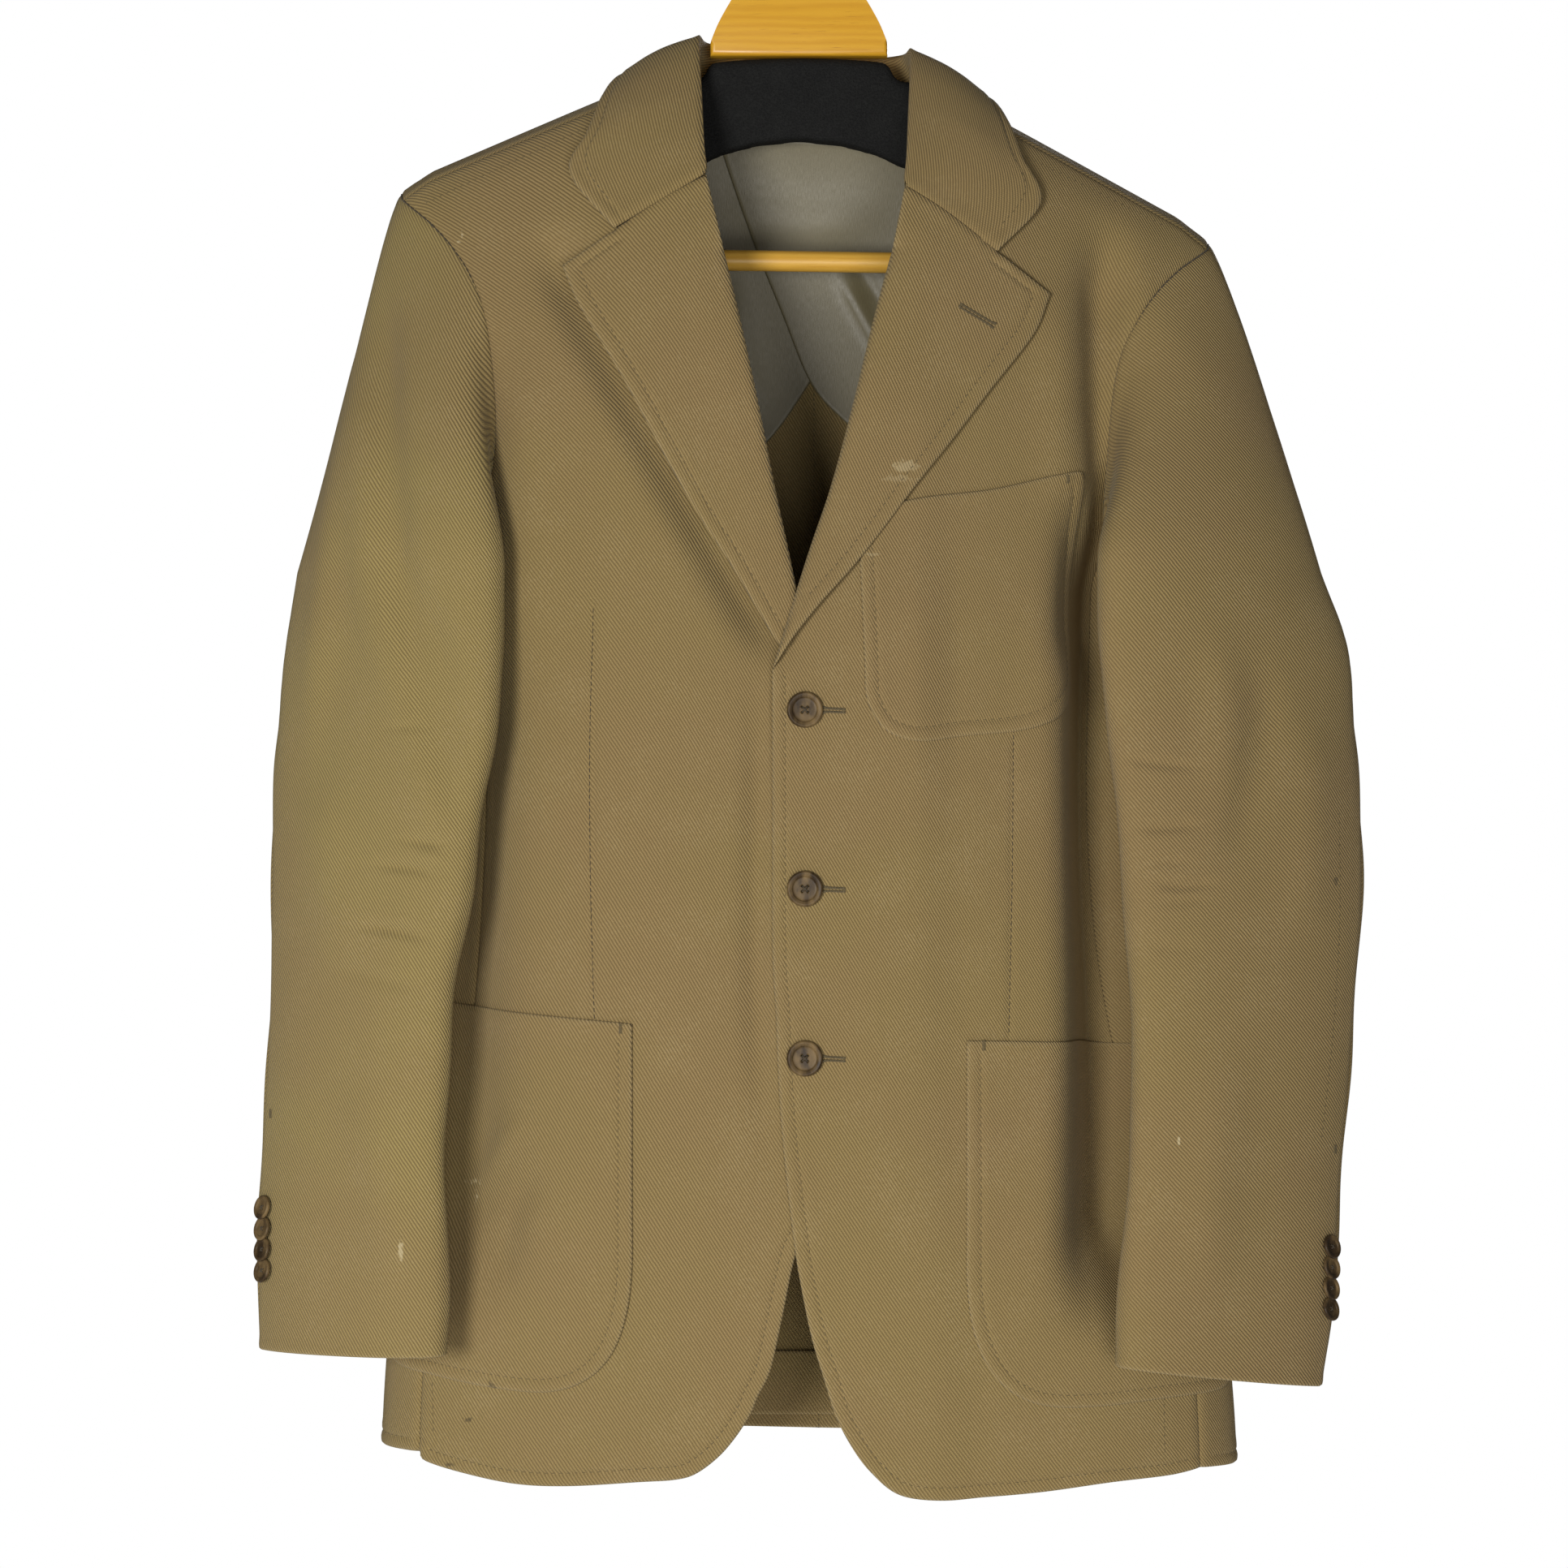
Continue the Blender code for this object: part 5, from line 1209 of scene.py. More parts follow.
@dataclass
class Sleeves:
    """Top and under sleeves."""

    form: BodyForm
    outlines: Outlines
    under: tuple[float, float] = (0.35, 0.80)
    head_steps: int = 44
    row_step: float = 1.6
    column_step: float = 3.2
    front_creases: dict[Side, Sequence[Crease]] = field(default_factory=lambda: {
        Side.RIGHT: (
            Crease(((-238.0, -262.0), (-232.0, -346.0), (-225.0, -431.0), (-214.0, -492.0), (-197.0, -556.0),
                    (-190.0, -606.0)), -6.0, 9.0, 0.2),
            Crease(((-252.0, -290.0), (-248.0, -350.0), (-242.0, -431.0), (-231.0, -492.0), (-216.0, -556.0)),
                   3.6, 10.0),
            Crease(((-250.0, -300.0), (-262.0, -408.0), (-271.0, -492.0), (-275.0, -590.0)), 4.0, 9.0),
            Crease(((-233.2, -436.0), (-209.0, -520.2), (-189.3, -617.7)), 3.8, 11.0),
            Crease(((-215.0, -430.0), (-196.0, -500.0), (-184.0, -560.0)), -3.8, 9.0),
            Crease(((-226.9, -529.1), (-207.2, -528.2)), -1.4, 2.2),
            Crease(((-221.1, -589.1), (-205.0, -592.5), (-192.9, -593.1)), -2.3, 2.5),
            Crease(((-209.0, -598.0), (-195.1, -602.1)), 1.4, 2.2),
            Crease(((-237.2, -604.8), (-215.0, -606.0), (-199.2, -611.9)), -2.3, 2.9),
            Crease(((-248.9, -637.9), (-222.0, -640.5), (-199.2, -646.8)), -2.5, 3.3),
            Crease(((-262.0, -660.0), (-230.0, -668.0), (-203.0, -672.0)), -1.2, 4.2),
            Crease(((-280.0, -540.0), (-262.0, -600.0), (-256.0, -680.0)), 3.0, 16.0),
            Crease(((-240.0, -700.0), (-228.0, -780.0), (-222.0, -860.0)), 2.2, 14.0),
            Crease(((-262.0, -470.0), (-272.0, -540.0), (-279.0, -600.0)), -2.5, 14.0),
        ),
        Side.LEFT: (
            Crease(((175.4, -545.2), (200.0, -549.0), (223.3, -550.2)), -1.8, 2.7),
            Crease(((183.4, -585.1), (205.0, -583.5), (223.3, -581.0)), -2.3, 2.9),
            Crease(((193.3, -605.2), (217.0, -601.2)), -1.4, 2.2),
            Crease(((193.3, -615.0), (212.0, -616.2), (231.3, -613.3)), -2.5, 2.7),
            Crease(((195.1, -627.1), (229.1, -622.2)), -1.4, 2.4),
            Crease(((190.0, -652.0), (222.0, -648.0)), -1.1, 3.8),
            Crease(((243.4, -479.4), (255.0, -501.4), (257.3, -531.4), (247.0, -581.0), (239.4, -617.3)),
                   -3.2, 8.0),
            Crease(((229.0, -460.0), (236.0, -520.0), (230.0, -580.0)), 2.7, 11.0),
            Crease(((282.0, -500.0), (287.0, -580.0), (278.0, -660.0)), 2.7, 14.0),
            Crease(((236.0, -690.0), (228.0, -780.0), (224.0, -860.0)), 2.2, 14.0),
        )})
    puckers: dict[Side, Sequence[Crease]] = field(default_factory=lambda: {
        Side.LEFT: tuple(Crease(((x, z), (x + 7.0, z - 9.0)), 0.9, 2.0, 0.5)
                         for x, z in ((192.0, -276.0), (197.0, -271.0), (203.0, -267.0), (209.0, -263.0))),
        Side.RIGHT: ()})

    def build(self) -> list[tuple[bpy.types.Object, str, FlatCut]]:
        """Make the four sleeve pieces.

        Returns:
            Each piece, the solid that it stands for and its flat cut.
        """
        out = []
        for side in Side:
            sleeve = SleeveForm(side, self.form, self.outlines)
            start, end = self.under
            word = side.name.lower()
            for name, first, last in (("top_sleeve", end - 1.0, start), ("under_sleeve", start, end)):
                node = f"{name}_{word}"
                made, cut = self._piece(sleeve, node + "_cloth", first, last)
                out.append((made, node, cut))
        return out

    def _piece(self, sleeve: SleeveForm, name: str, start: float,
               end: float) -> tuple[bpy.types.Object, FlatCut]:
        """Make one piece of a sleeve between two shares of the armhole."""
        columns = int(330.0 * (end - start) / self.column_step)
        arm_rows = int(455.0 / self.row_step)
        shares = np.linspace(start, end, columns)
        edges = np.array((0.0, 0.008, 0.016))
        shares = np.unique(np.concatenate((shares, start + 0.35 * edges, end - 0.35 * edges)))
        hem = sleeve.last + 1.0 - np.array((0.9, 2.2, 4.0)) / 43.0
        rows = np.unique(np.concatenate((np.linspace(0.0, 1.0, self.head_steps),
                                         np.linspace(1.0, sleeve.last + 1.0, arm_rows), hem)))
        share, row = np.meshgrid(shares, rows)
        grid = sleeve.place(share.ravel(), row.ravel()).reshape(len(rows), len(shares), 3)
        normals = grid_normals(grid)
        middle = grid.mean(axis=1, keepdims=True)
        if ((grid - middle) * normals).sum() < 0.0:
            normals = -normals
        facing = np.clip(-normals[..., 1] * 1.6, 0.0, 1.0).ravel()
        x, z = grid[..., 0].ravel(), grid[..., 2].ravel()
        moved = np.zeros(len(x))
        for crease in (*self.front_creases[sleeve.side], *self.puckers[sleeve.side]):
            moved += crease.lift(x, z) * facing
        fullness = 1.2 * np.sin(z / 23.0 + 3.0 * share.ravel()) * np.sin(z / 61.0 + 9.0 * share.ravel())
        moved += fullness * rising(row.ravel(), 1.5, 4.0) * (1.0 - facing)
        moved *= rising(row.ravel(), 0.0, 0.25)
        laid = grid_lengths(grid)
        flat = laid.reshape(-1, 2)
        ends = np.stack((flat[:, 0] - flat[:, 0].min(), flat[:, 0].max() - flat[:, 0])).min(axis=0)
        head = flat[:, 1]
        cuff = np.linalg.norm(grid - grid[-1:], axis=2).ravel()
        profile = edge_profile({EdgeKind.SEAM: np.minimum(ends, head), EdgeKind.FOLDED: cuff})
        made, _ = grid_shell(name, grid, normals, profile, cuff, moved, hanging_weave(grid))
        return made, FlatCut.of_grid(laid)


@dataclass
class Collar:
    """Collar leaf and stand, one piece of cloth folded at the roll."""

    form: BodyForm
    # roll line, leaf edge and foot of the stand, from the centre back to the gorge
    stations: Sequence[tuple[float, ...]] = (
        (0.0, 33.0, -135.0, 0.0, 45.0, -188.0, 0.0, 23.0, -166.0),
        (34.0, 29.0, -135.0, 58.0, 42.0, -184.5, 34.0, 20.0, -163.0),
        (56.0, 17.0, -134.0, 93.0, 27.0, -174.0, 62.0, 14.0, -157.0),
        (60.5, -2.0, -134.0, 107.5, 3.0, -162.0, 67.0, -3.0, -153.0),
        (60.5, -16.0, -146.0, 116.5, -20.0, -176.0, 65.5, -17.0, -165.0),
        (59.0, -30.0, -170.0, 124.0, -37.0, -199.0, 61.5, -29.0, -185.0),
        (57.5, -44.0, -196.0, 133.0, -45.0, -223.4, 57.5, -41.5, -203.0),
        (55.7, -53.5, -219.6, 107.5, -57.5, -254.6, 54.5, -50.0, -216.0))
    bulge: float = 4.0
    top_out: float = 1.6
    stand_set: float = 3.2
    fold_height: float = 1.4
    stitch_column: int = 6
    steps_along: int = 12

    def build(self) -> tuple[bpy.types.Object, FlatCut, StitchRow]:
        """Make the collar.

        Returns:
            The new object, its flat cut and its row of topstitching.
        """
        mirror = np.array((-1.0, 1.0, 1.0) * 3)
        rows = np.array(self.stations)
        fine = smooth_path(np.vstack((rows[::-1], rows[1:] * mirror)), self.steps_along)
        place = np.linspace(0.0, 1.0, len(fine))
        roll, edge, foot = fine[:, 0:3], fine[:, 3:6], fine[:, 6:9]
        out = unit(np.cross(edge - roll, np.gradient(roll, axis=0)))
        ends = np.minimum(place, 1.0 - place) * (len(self.stations) - 1) * 2.0
        full = np.clip(ends / 2.0, 0.0, 1.0)[:, None]
        bulge = self.bulge * full[:, 0]
        proud = self.top_out * (0.6 + 0.4 * full)
        leaf_shares = np.concatenate((np.array((1.0, 0.985, 0.96, 0.93, 0.905, 0.885, 0.87, 0.855, 0.84)),
                                      np.linspace(0.81, 0.06, 15)))
        columns = []
        for share in leaf_shares:
            columns.append(roll + (edge - roll) * share
                           + out * ((bulge * math.sin(math.pi * share))[:, None] + proud))
        top = proud * out + np.array((0.0, 0.0, self.fold_height)) * (0.1 + 0.9 * full)
        under = -self.stand_set * out * (0.1 + 0.9 * full)
        for angle in np.radians((30.0, 65.0, 100.0, 135.0, 165.0)):
            columns.append(roll + 0.5 * (proud * out + under) + 0.5 * math.cos(angle) * (proud * out - under)
                           + math.sin(angle) * (top - proud * out))
        for share in (0.12, 0.3, 0.5, 0.7, 0.88, 1.0):
            sunk = share * (0.25 + 0.75 * full)
            columns.append((roll + under) * (1.0 - sunk) + foot * sunk)
        grid = np.stack(columns, axis=1)
        grid = self.form.hung(grid.reshape(-1, 3)).reshape(grid.shape)
        normals = grid_normals(grid)
        if (normals[len(grid) // 2, 10] @ np.array((0.0, 1.0, 0.0))) < 0.0:
            normals = -normals
        leaf = np.linalg.norm(grid - grid[:, :1], axis=2)
        nose = np.minimum(np.linalg.norm(grid - grid[:1], axis=2), np.linalg.norm(grid - grid[-1:], axis=2))
        profile = edge_profile({EdgeKind.TURNED: leaf.ravel(), EdgeKind.SEAM: nose.ravel()})
        laid = np.swapaxes(grid_lengths(np.swapaxes(grid, 0, 1)), 0, 1)
        weave = laid - laid[:, len(leaf_shares) - 1:len(leaf_shares)] * (0.0, 1.0)
        made, outer = grid_shell("collar_cloth", grid, normals, profile, leaf.ravel(), np.zeros(leaf.size),
                                 weave.reshape(-1, 2))
        row = StitchRow(outer[4:-4, self.stitch_column], normals[4:-4, self.stitch_column])
        return made, FlatCut.of_grid(laid), row


@dataclass
class Sewing:
    """Threads on the cloth: topstitching, buttonholes and bar tacks.

    Rows are laid on finished pieces by dropping points straight back onto them from the front.
    """

    depth: float = 400.0

    def drop(self, made: bpy.types.Object, places: Points, forward: bool = True) -> tuple[Points, Points]:
        """Drop places seen from the front, or from behind, onto a piece.

        Args:
            made: The piece.
            places: x and z of each place.
            forward: Whether they are seen from the front.

        Returns:
            The points that were hit and the normals there.
        """
        points, normals = [], []
        sign = 1.0 if forward else -1.0
        for x, z in places:
            hit, point, normal, _ = made.ray_cast(Vector((x, -sign * self.depth, z)) * MM, (0.0, sign, 0.0))
            if hit:
                points.append(np.array(point) / MM)
                normals.append(np.array(normal))
        return np.array(points), np.array(normals)

    def row(self, made: bpy.types.Object, path: Path, **sizes: float) -> list[StitchRow]:
        """Lay a row of stitches on a piece, along x and z seen from the front."""
        points, normals = self.drop(made, resample(smooth_path(path), 2.0))
        return [StitchRow(points, normals, **sizes)] if len(points) > 3 else []

    def join(self, name: str, rows: Sequence[StitchRow]) -> bpy.types.Object:
        """Make one piece of many rows."""
        bm = bmesh.new()
        for row in rows:
            row.add(bm)
        return finish_mesh(name, bm)

    def buttonhole(self, bm: bmesh.types.BMesh, made: bpy.types.Object, start: tuple[float, float],
                   end: tuple[float, float], half: float = 1.5) -> None:
        """Add a worked buttonhole, with its round end at the start.

        Args:
            bm: Mesh that it is added to.
            made: Piece that it is worked in.
            start: x and z of the round end.
            end: x and z of the far end.
            half: Half its width.
        """
        first, last = np.array(start), np.array(end)
        along = (last - first) / np.linalg.norm(last - first)
        across = np.array((-along[1], along[0]))
        length = np.linalg.norm(last - first)
        count = int(length / 0.62)
        for number in range(count + 1):
            at = first + along * length * number / count
            swell = 1.0 + 0.45 * math.exp(-(number / 3.0) ** 2)
            for sign in (-1.0, 1.0):
                ends = np.array((at + across * sign * 0.35 * swell, at + across * sign * half * swell))
                points, normals = self.drop(made, ends)
                if len(points) == 2:
                    rise = (0.25, 0.75, 0.25)
                    shares = (0.0, 0.5, 1.0)
                    middle = [Vector(points[0] + (points[1] - points[0]) * s + r * normals[0])
                              for s, r in zip(shares, rise)]
                    tube(bm, middle, (0.2, 0.36, 0.2), 5)
        for sign in (-0.8, -0.3, 0.3, 0.8):
            middle = last + across * half * sign
            ends = np.array((middle - along * 0.7, middle + along * 0.9))
            points, normals = self.drop(made, ends)
            if len(points) == 2:
                tube(bm, [Vector(p + 0.5 * n) for p, n in zip(points, normals)], (0.35, 0.35), 5)

    def tack(self, bm: bmesh.types.BMesh, made: bpy.types.Object, start: tuple[float, float],
             end: tuple[float, float], half: float = 0.9) -> None:
        """Add a bar tack of close stitches across a line."""
        first, last = np.array(start), np.array(end)
        along = (last - first) / np.linalg.norm(last - first)
        across = np.array((-along[1], along[0]))
        count = int(np.linalg.norm(last - first) / 0.5)
        for number in range(count):
            at = first + (last - first) * number / count
            points, normals = self.drop(made, np.array((at - across * half, at + across * half)))
            if len(points) == 2:
                middle = 0.5 * (points[0] + points[1]) + 0.5 * normals[0]
                tube(bm, [Vector(points[0]), Vector(middle), Vector(points[1])], (0.2, 0.3, 0.2), 4)


@dataclass(frozen=True)
class ButtonSizes:
    """Sizes of a turned four-hole button."""

    radius: float
    bowl: float
    thickness: float
    hole_reach: float
    hole_radius: float
    segments: int


@dataclass
class Buttons:
    """Front and cuff buttons with their thread, each in the place of its solid."""

    front: ButtonSizes = ButtonSizes(10.0, 6.8, 3.6, 2.0, 0.75, 96)
    cuff: ButtonSizes = ButtonSizes(6.8, 4.4, 2.4, 1.35, 0.5, 64)
    thread: float = 0.34

    def build(self, nodes: dict[str, bpy.types.Object]) -> list[tuple[bpy.types.Object, bpy.types.Object, str]]:
        """Make the buttons.

        Args:
            nodes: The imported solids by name.

        Returns:
            Each button with its thread and the solid that it stands for.
        """
        out = []
        for name in sorted(node for node in nodes if "_button_" in node):
            sizes = self.front if name.startswith("front") else self.cuff
            frame = self._frame(nodes[name])
            button = self._disc(name + "_turned", sizes)
            thread = self._thread(name + "_thread", sizes)
            for made in (button, thread):
                made.data.transform(frame)
            out.append((button, thread, name))
        return out

    def _frame(self, solid: bpy.types.Object) -> Matrix:
        """Find where a solid button sits and which way it faces."""
        points = np.array([vert.co for vert in solid.data.vertices])
        middle = points.mean(axis=0)
        _, _, axes = np.linalg.svd(points - middle)
        normal = Vector(axes[2])
        if normal.y > 0.0:
            normal.negate()
        heights = (points - middle) @ np.array(normal)
        place = Vector(middle) + normal * float(heights.min())
        return Matrix.Translation(place) @ normal.to_track_quat("Z", "Y").to_matrix().to_4x4()

    def _disc(self, name: str, sizes: ButtonSizes) -> bpy.types.Object:
        """Turn one button about +Z, with four holes."""
        r, bowl, t = sizes.radius, sizes.bowl, sizes.thickness
        profile = smooth_path(((0.0, 0.05 * t), (0.6 * r, 0.02 * t), (0.90 * r, 0.08 * t), (0.99 * r, 0.35 * t),
                               (1.0 * r, 0.6 * t), (0.97 * r, 0.85 * t), (0.90 * r, 1.0 * t), (0.83 * r, 0.98 * t),
                               (1.04 * bowl, 0.86 * t), (0.99 * bowl, 0.70 * t), (0.90 * bowl, 0.62 * t),
                               (0.70 * bowl, 0.60 * t), (0.0, 0.60 * t)), 3)
        bm = bmesh.new()
        rings = []
        for reach, height in profile[1:-1]:
            rings.append([bm.verts.new((reach * math.cos(math.tau * k / sizes.segments),
                                        reach * math.sin(math.tau * k / sizes.segments), height))
                          for k in range(sizes.segments)])
        for low, high in zip(rings, rings[1:]):
            for k in range(sizes.segments):
                after = (k + 1) % sizes.segments
                bm.faces.new((low[k], low[after], high[after], high[k]))
        bm.faces.new(rings[0])
        bm.faces.new(rings[-1])
        made = finish_mesh(name, bm, 60.0)
        drill = bmesh.new()
        for number in range(4):
            angle = math.radians(45.0 + 90.0 * number)
            place = Matrix.Translation((sizes.hole_reach * math.cos(angle), sizes.hole_reach * math.sin(angle),
                                        0.5 * t))
            bmesh.ops.create_cone(drill, cap_ends=True, segments=14, radius1=sizes.hole_radius,
                                  radius2=sizes.hole_radius, depth=2.0 * t, matrix=place)
        tool = finish_mesh(name + "_drill", drill)
        cut = made.modifiers.new("holes", "BOOLEAN")
        cut.object = tool
        cut.operation = "DIFFERENCE"
        cut.solver = "EXACT"
        graph = bpy.context.evaluated_depsgraph_get()
        drilled = bpy.data.meshes.new_from_object(made.evaluated_get(graph))
        made.modifiers.clear()
        made.data = drilled
        bpy.data.objects.remove(tool)
        return made

    def _thread(self, name: str, sizes: ButtonSizes) -> bpy.types.Object:
        """Lay crossed thread through the four holes, and a shank behind the button."""
        bm = bmesh.new()
        reach, t = sizes.hole_reach, sizes.thickness
        for turn in (45.0, 135.0):
            c, s = math.cos(math.radians(turn)), math.sin(math.radians(turn))
            for offset in (-0.55, 0.0, 0.55):
                points = []
                crest = 0.82 + 0.05 * (turn > 90.0)
                for share, height in ((-1.0, 0.1), (-0.98, 0.55), (-0.6, 0.74), (0.0, crest),
                                      (0.6, 0.74), (0.98, 0.55), (1.0, 0.1)):
                    across = offset * self.thread * (1.0 - 0.3 * abs(share))
                    points.append(Vector((share * reach * c - across * s, share * reach * s + across * c,
                                          height * t)))
                tube(bm, points, [self.thread * 0.62 * sizes.radius / 8.0] * len(points), 6)
        tube(bm, [Vector((0.0, 0.0, -0.5)), Vector((0.0, 0.0, 0.12 * t))], (1.6, 1.4), 10)
        return finish_mesh(name, bm)


@dataclass
class Hanger:
    """Wooden neck, foam cover, trouser bar and hook."""

    plate: Path = ((9.0, -80.0), (20.0, -86.0), (30.0, -97.0), (38.0, -108.0), (46.0, -122.0), (51.0, -134.0),
                   (51.0, -141.0))
    plate_depth: float = 14.0
    plate_round: float = 3.0
    wire: float = 1.9
    hook_radius: float = 20.0
    bar_radius: float = 6.0
    bar_half: float = 208.0
    bar_z: float = -258.6
    bar_slope: float = 0.015
    corner: tuple[float, float, float] = (42.0, 58.0, 70.0)
    corner_foot: float = -185.0
    corner_rise: float = 0.4

    def build_neck(self) -> bpy.types.Object:
        """Make the wooden neck, with rounded edges."""
        bm = bmesh.new()
        right = smooth_path(self.plate[:-1], 6)
        outline = np.vstack((right, self.plate[-1], np.array(self.plate[-1]) * (-1.0, 1.0),
                             right[::-1] * (-1.0, 1.0)))
        half = 0.5 * self.plate_depth
        front = [bm.verts.new((x, -half, z)) for x, z in outline]
        behind = [bm.verts.new((x, half, z)) for x, z in outline]
        bm.faces.new(front)
        bm.faces.new(list(reversed(behind)))
        count = len(outline)
        for k in range(count):
            bm.faces.new((front[k], behind[k], behind[(k + 1) % count], front[(k + 1) % count]))
        rims = [edge for edge in bm.edges if abs(edge.verts[0].co.y - edge.verts[1].co.y) < 1e-6]
        bmesh.ops.bevel(bm, geom=rims, offset=self.plate_round, segments=5, profile=0.5, affect="EDGES",
                        clamp_overlap=True)
        return finish_mesh("hanger_neck_wood", bm, 40.0)

    def build_bar(self) -> bpy.types.Object:
        """Make the round trouser bar."""
        bm = bmesh.new()
        places = np.concatenate(((-1.0, -0.998, -0.99), np.linspace(-0.98, 0.98, 40), (0.99, 0.998, 1.0)))
        radii = [self.bar_radius * (0.75 if abs(p) == 1.0 else 0.93 if abs(p) > 0.995 else 1.0) for p in places]
        middle = [Vector((p * self.bar_half, 0.0, self.bar_z - self.bar_slope * p * self.bar_half))
                  for p in places]
        tube(bm, middle, radii, 40)
        return finish_mesh("trouser_bar_wood", bm, 50.0)

    def build_hook(self) -> bpy.types.Object:
        """Make the bent wire hook with a rounded tip and a screwed foot."""
        reach = self.hook_radius + self.wire
        points = [(0.0, -79.6), (0.0, -70.0), (0.0, -62.0), (1.0, -55.0), (5.0, -48.5), (10.5, -43.0)]
        for step in range(18 + 1):
            angle = math.radians(-52.0 + 248.0 * step / 18)
            points.append((reach * math.cos(angle), -20.0 + reach * math.sin(angle)))
        fine = smooth_path(points, 5)
        bm = bmesh.new()
        radii = np.full(len(fine), self.wire)
        radii[-3:] = self.wire * np.array((0.96, 0.8, 0.4))
        tube(bm, [Vector((x, 0.0, z)) for x, z in fine], radii.tolist(), 20)
        for z, radius in ((-79.4, 4.6), (-78.2, 4.6), (-77.4, 3.2)):
            bmesh.ops.create_cone(bm, cap_ends=True, segments=36, radius1=radius, radius2=0.94 * radius,
                                  depth=1.0, matrix=Matrix.Translation((0.0, 0.0, z)))
        return finish_mesh("hook_wire", bm, 50.0)

    def build_foam(self, solid: bpy.types.Object) -> bpy.types.Object:
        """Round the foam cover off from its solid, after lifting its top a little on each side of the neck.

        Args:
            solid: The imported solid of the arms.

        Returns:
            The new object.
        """
        made = bpy.data.objects.new("hanger_arms_foam", solid.data.copy())
        for vert in made.data.vertices:
            x, z = abs(vert.co.x) / MM, vert.co.z / MM
            if self.corner[0] < x < self.corner[2] and z > self.corner_foot:
                vert.co.z += (min(x, self.corner[1]) - self.corner[0]) * self.corner_rise * MM
        bpy.context.scene.collection.objects.link(made)
        remesh = made.modifiers.new("even", "REMESH")
        remesh.mode = "VOXEL"
        remesh.voxel_size = 2.6 * MM
        soften = made.modifiers.new("soften", "SMOOTH")
        soften.factor = 0.5
        soften.iterations = 6
        graph = bpy.context.evaluated_depsgraph_get()
        soft = bpy.data.meshes.new_from_object(made.evaluated_get(graph))
        made.modifiers.clear()
        made.data = soft
        made.data.shade_smooth()
        return made


class Graph:
    """A material's nodes, built by short calls."""

    def __init__(self, name: str) -> None:
        """Start a material with a principled shader."""
        self.material = bpy.data.materials.new(name)
        self.material.use_nodes = True
        self.tree = self.material.node_tree
        self.shader = self.tree.nodes["Principled BSDF"]

    def node(self, kind: str, inputs: dict[str | int, object] | None = None,
             **settings: object) -> bpy.types.Node:
        """Add a node.

        Args:
            kind: Its type.
            inputs: Values or sockets for its inputs.
            settings: Its own settings.

        Returns:
            The node.
        """
        made = self.tree.nodes.new(kind)
        for name, value in settings.items():
            setattr(made, name, value)
        for key, value in (inputs or {}).items():
            socket = made.inputs[key]
            if isinstance(value, bpy.types.NodeSocket):
                self.tree.links.new(value, socket)
            else:
                socket.default_value = value
        return made

    def math(self, operation: str, first: object, second: object = 0.0) -> bpy.types.NodeSocket:
        """Add a sum of two values."""
        return self.node("ShaderNodeMath", {0: first, 1: second}, operation=operation).outputs[0]

    def noise(self, vector: bpy.types.NodeSocket, scale: float, detail: float = 3.0) -> bpy.types.NodeSocket:
        """Add soft noise at a scale per metre."""
        made = self.node("ShaderNodeTexNoise", {"Vector": vector, "Scale": scale, "Detail": detail})
        return made.outputs["Fac"]

    def spread(self, value: bpy.types.NodeSocket, low: float, high: float, start: float = 0.0,
               end: float = 1.0) -> bpy.types.NodeSocket:
        """Stretch a value from one range to another, smoothly."""
        made = self.node("ShaderNodeMapRange", {"Value": value, "From Min": low, "From Max": high,
                                                "To Min": start, "To Max": end})
        made.interpolation_type = "SMOOTHSTEP"
        return made.outputs["Result"]

    def mix(self, share: object, first: object, second: object) -> bpy.types.NodeSocket:
        """Mix two colours."""
        made = self.node("ShaderNodeMix", data_type="RGBA")
        for index, value in ((0, share), (6, first), (7, second)):
            socket = made.inputs[index]
            if isinstance(value, bpy.types.NodeSocket):
                self.tree.links.new(value, socket)
            else:
                socket.default_value = value if index == 0 else (*value, 1.0)
        return made.outputs[2]

    def colour(self, value: bpy.types.NodeSocket) -> None:
        """Join the base colour."""
        self.tree.links.new(value, self.shader.inputs["Base Color"])

    def rough(self, value: bpy.types.NodeSocket) -> None:
        """Join the roughness."""
        self.tree.links.new(value, self.shader.inputs["Roughness"])

    def bump(self, height: bpy.types.NodeSocket, strength: float, distance: float) -> None:
        """Join a bump of a real height in metres."""
        made = self.node("ShaderNodeBump", {"Height": height, "Strength": strength, "Distance": distance})
        self.tree.links.new(made.outputs["Normal"], self.shader.inputs["Normal"])

    def set(self, **values: object) -> None:
        """Set constants on the shader's own sockets."""
        for name, value in values.items():
            self.shader.inputs[name.replace("_", " ")].default_value = value


@dataclass(frozen=True)
class Mark:
    """A small stain, scuff or speck on the cloth.

    Attributes:
        place: x, y and z of its middle.
        size: Half sizes along x and z.
        colour: Its colour.
        strength: How far it covers the cloth.
    """

    place: tuple[float, float, float]
    size: tuple[float, float]
    colour: tuple[float, float, float]
    strength: float


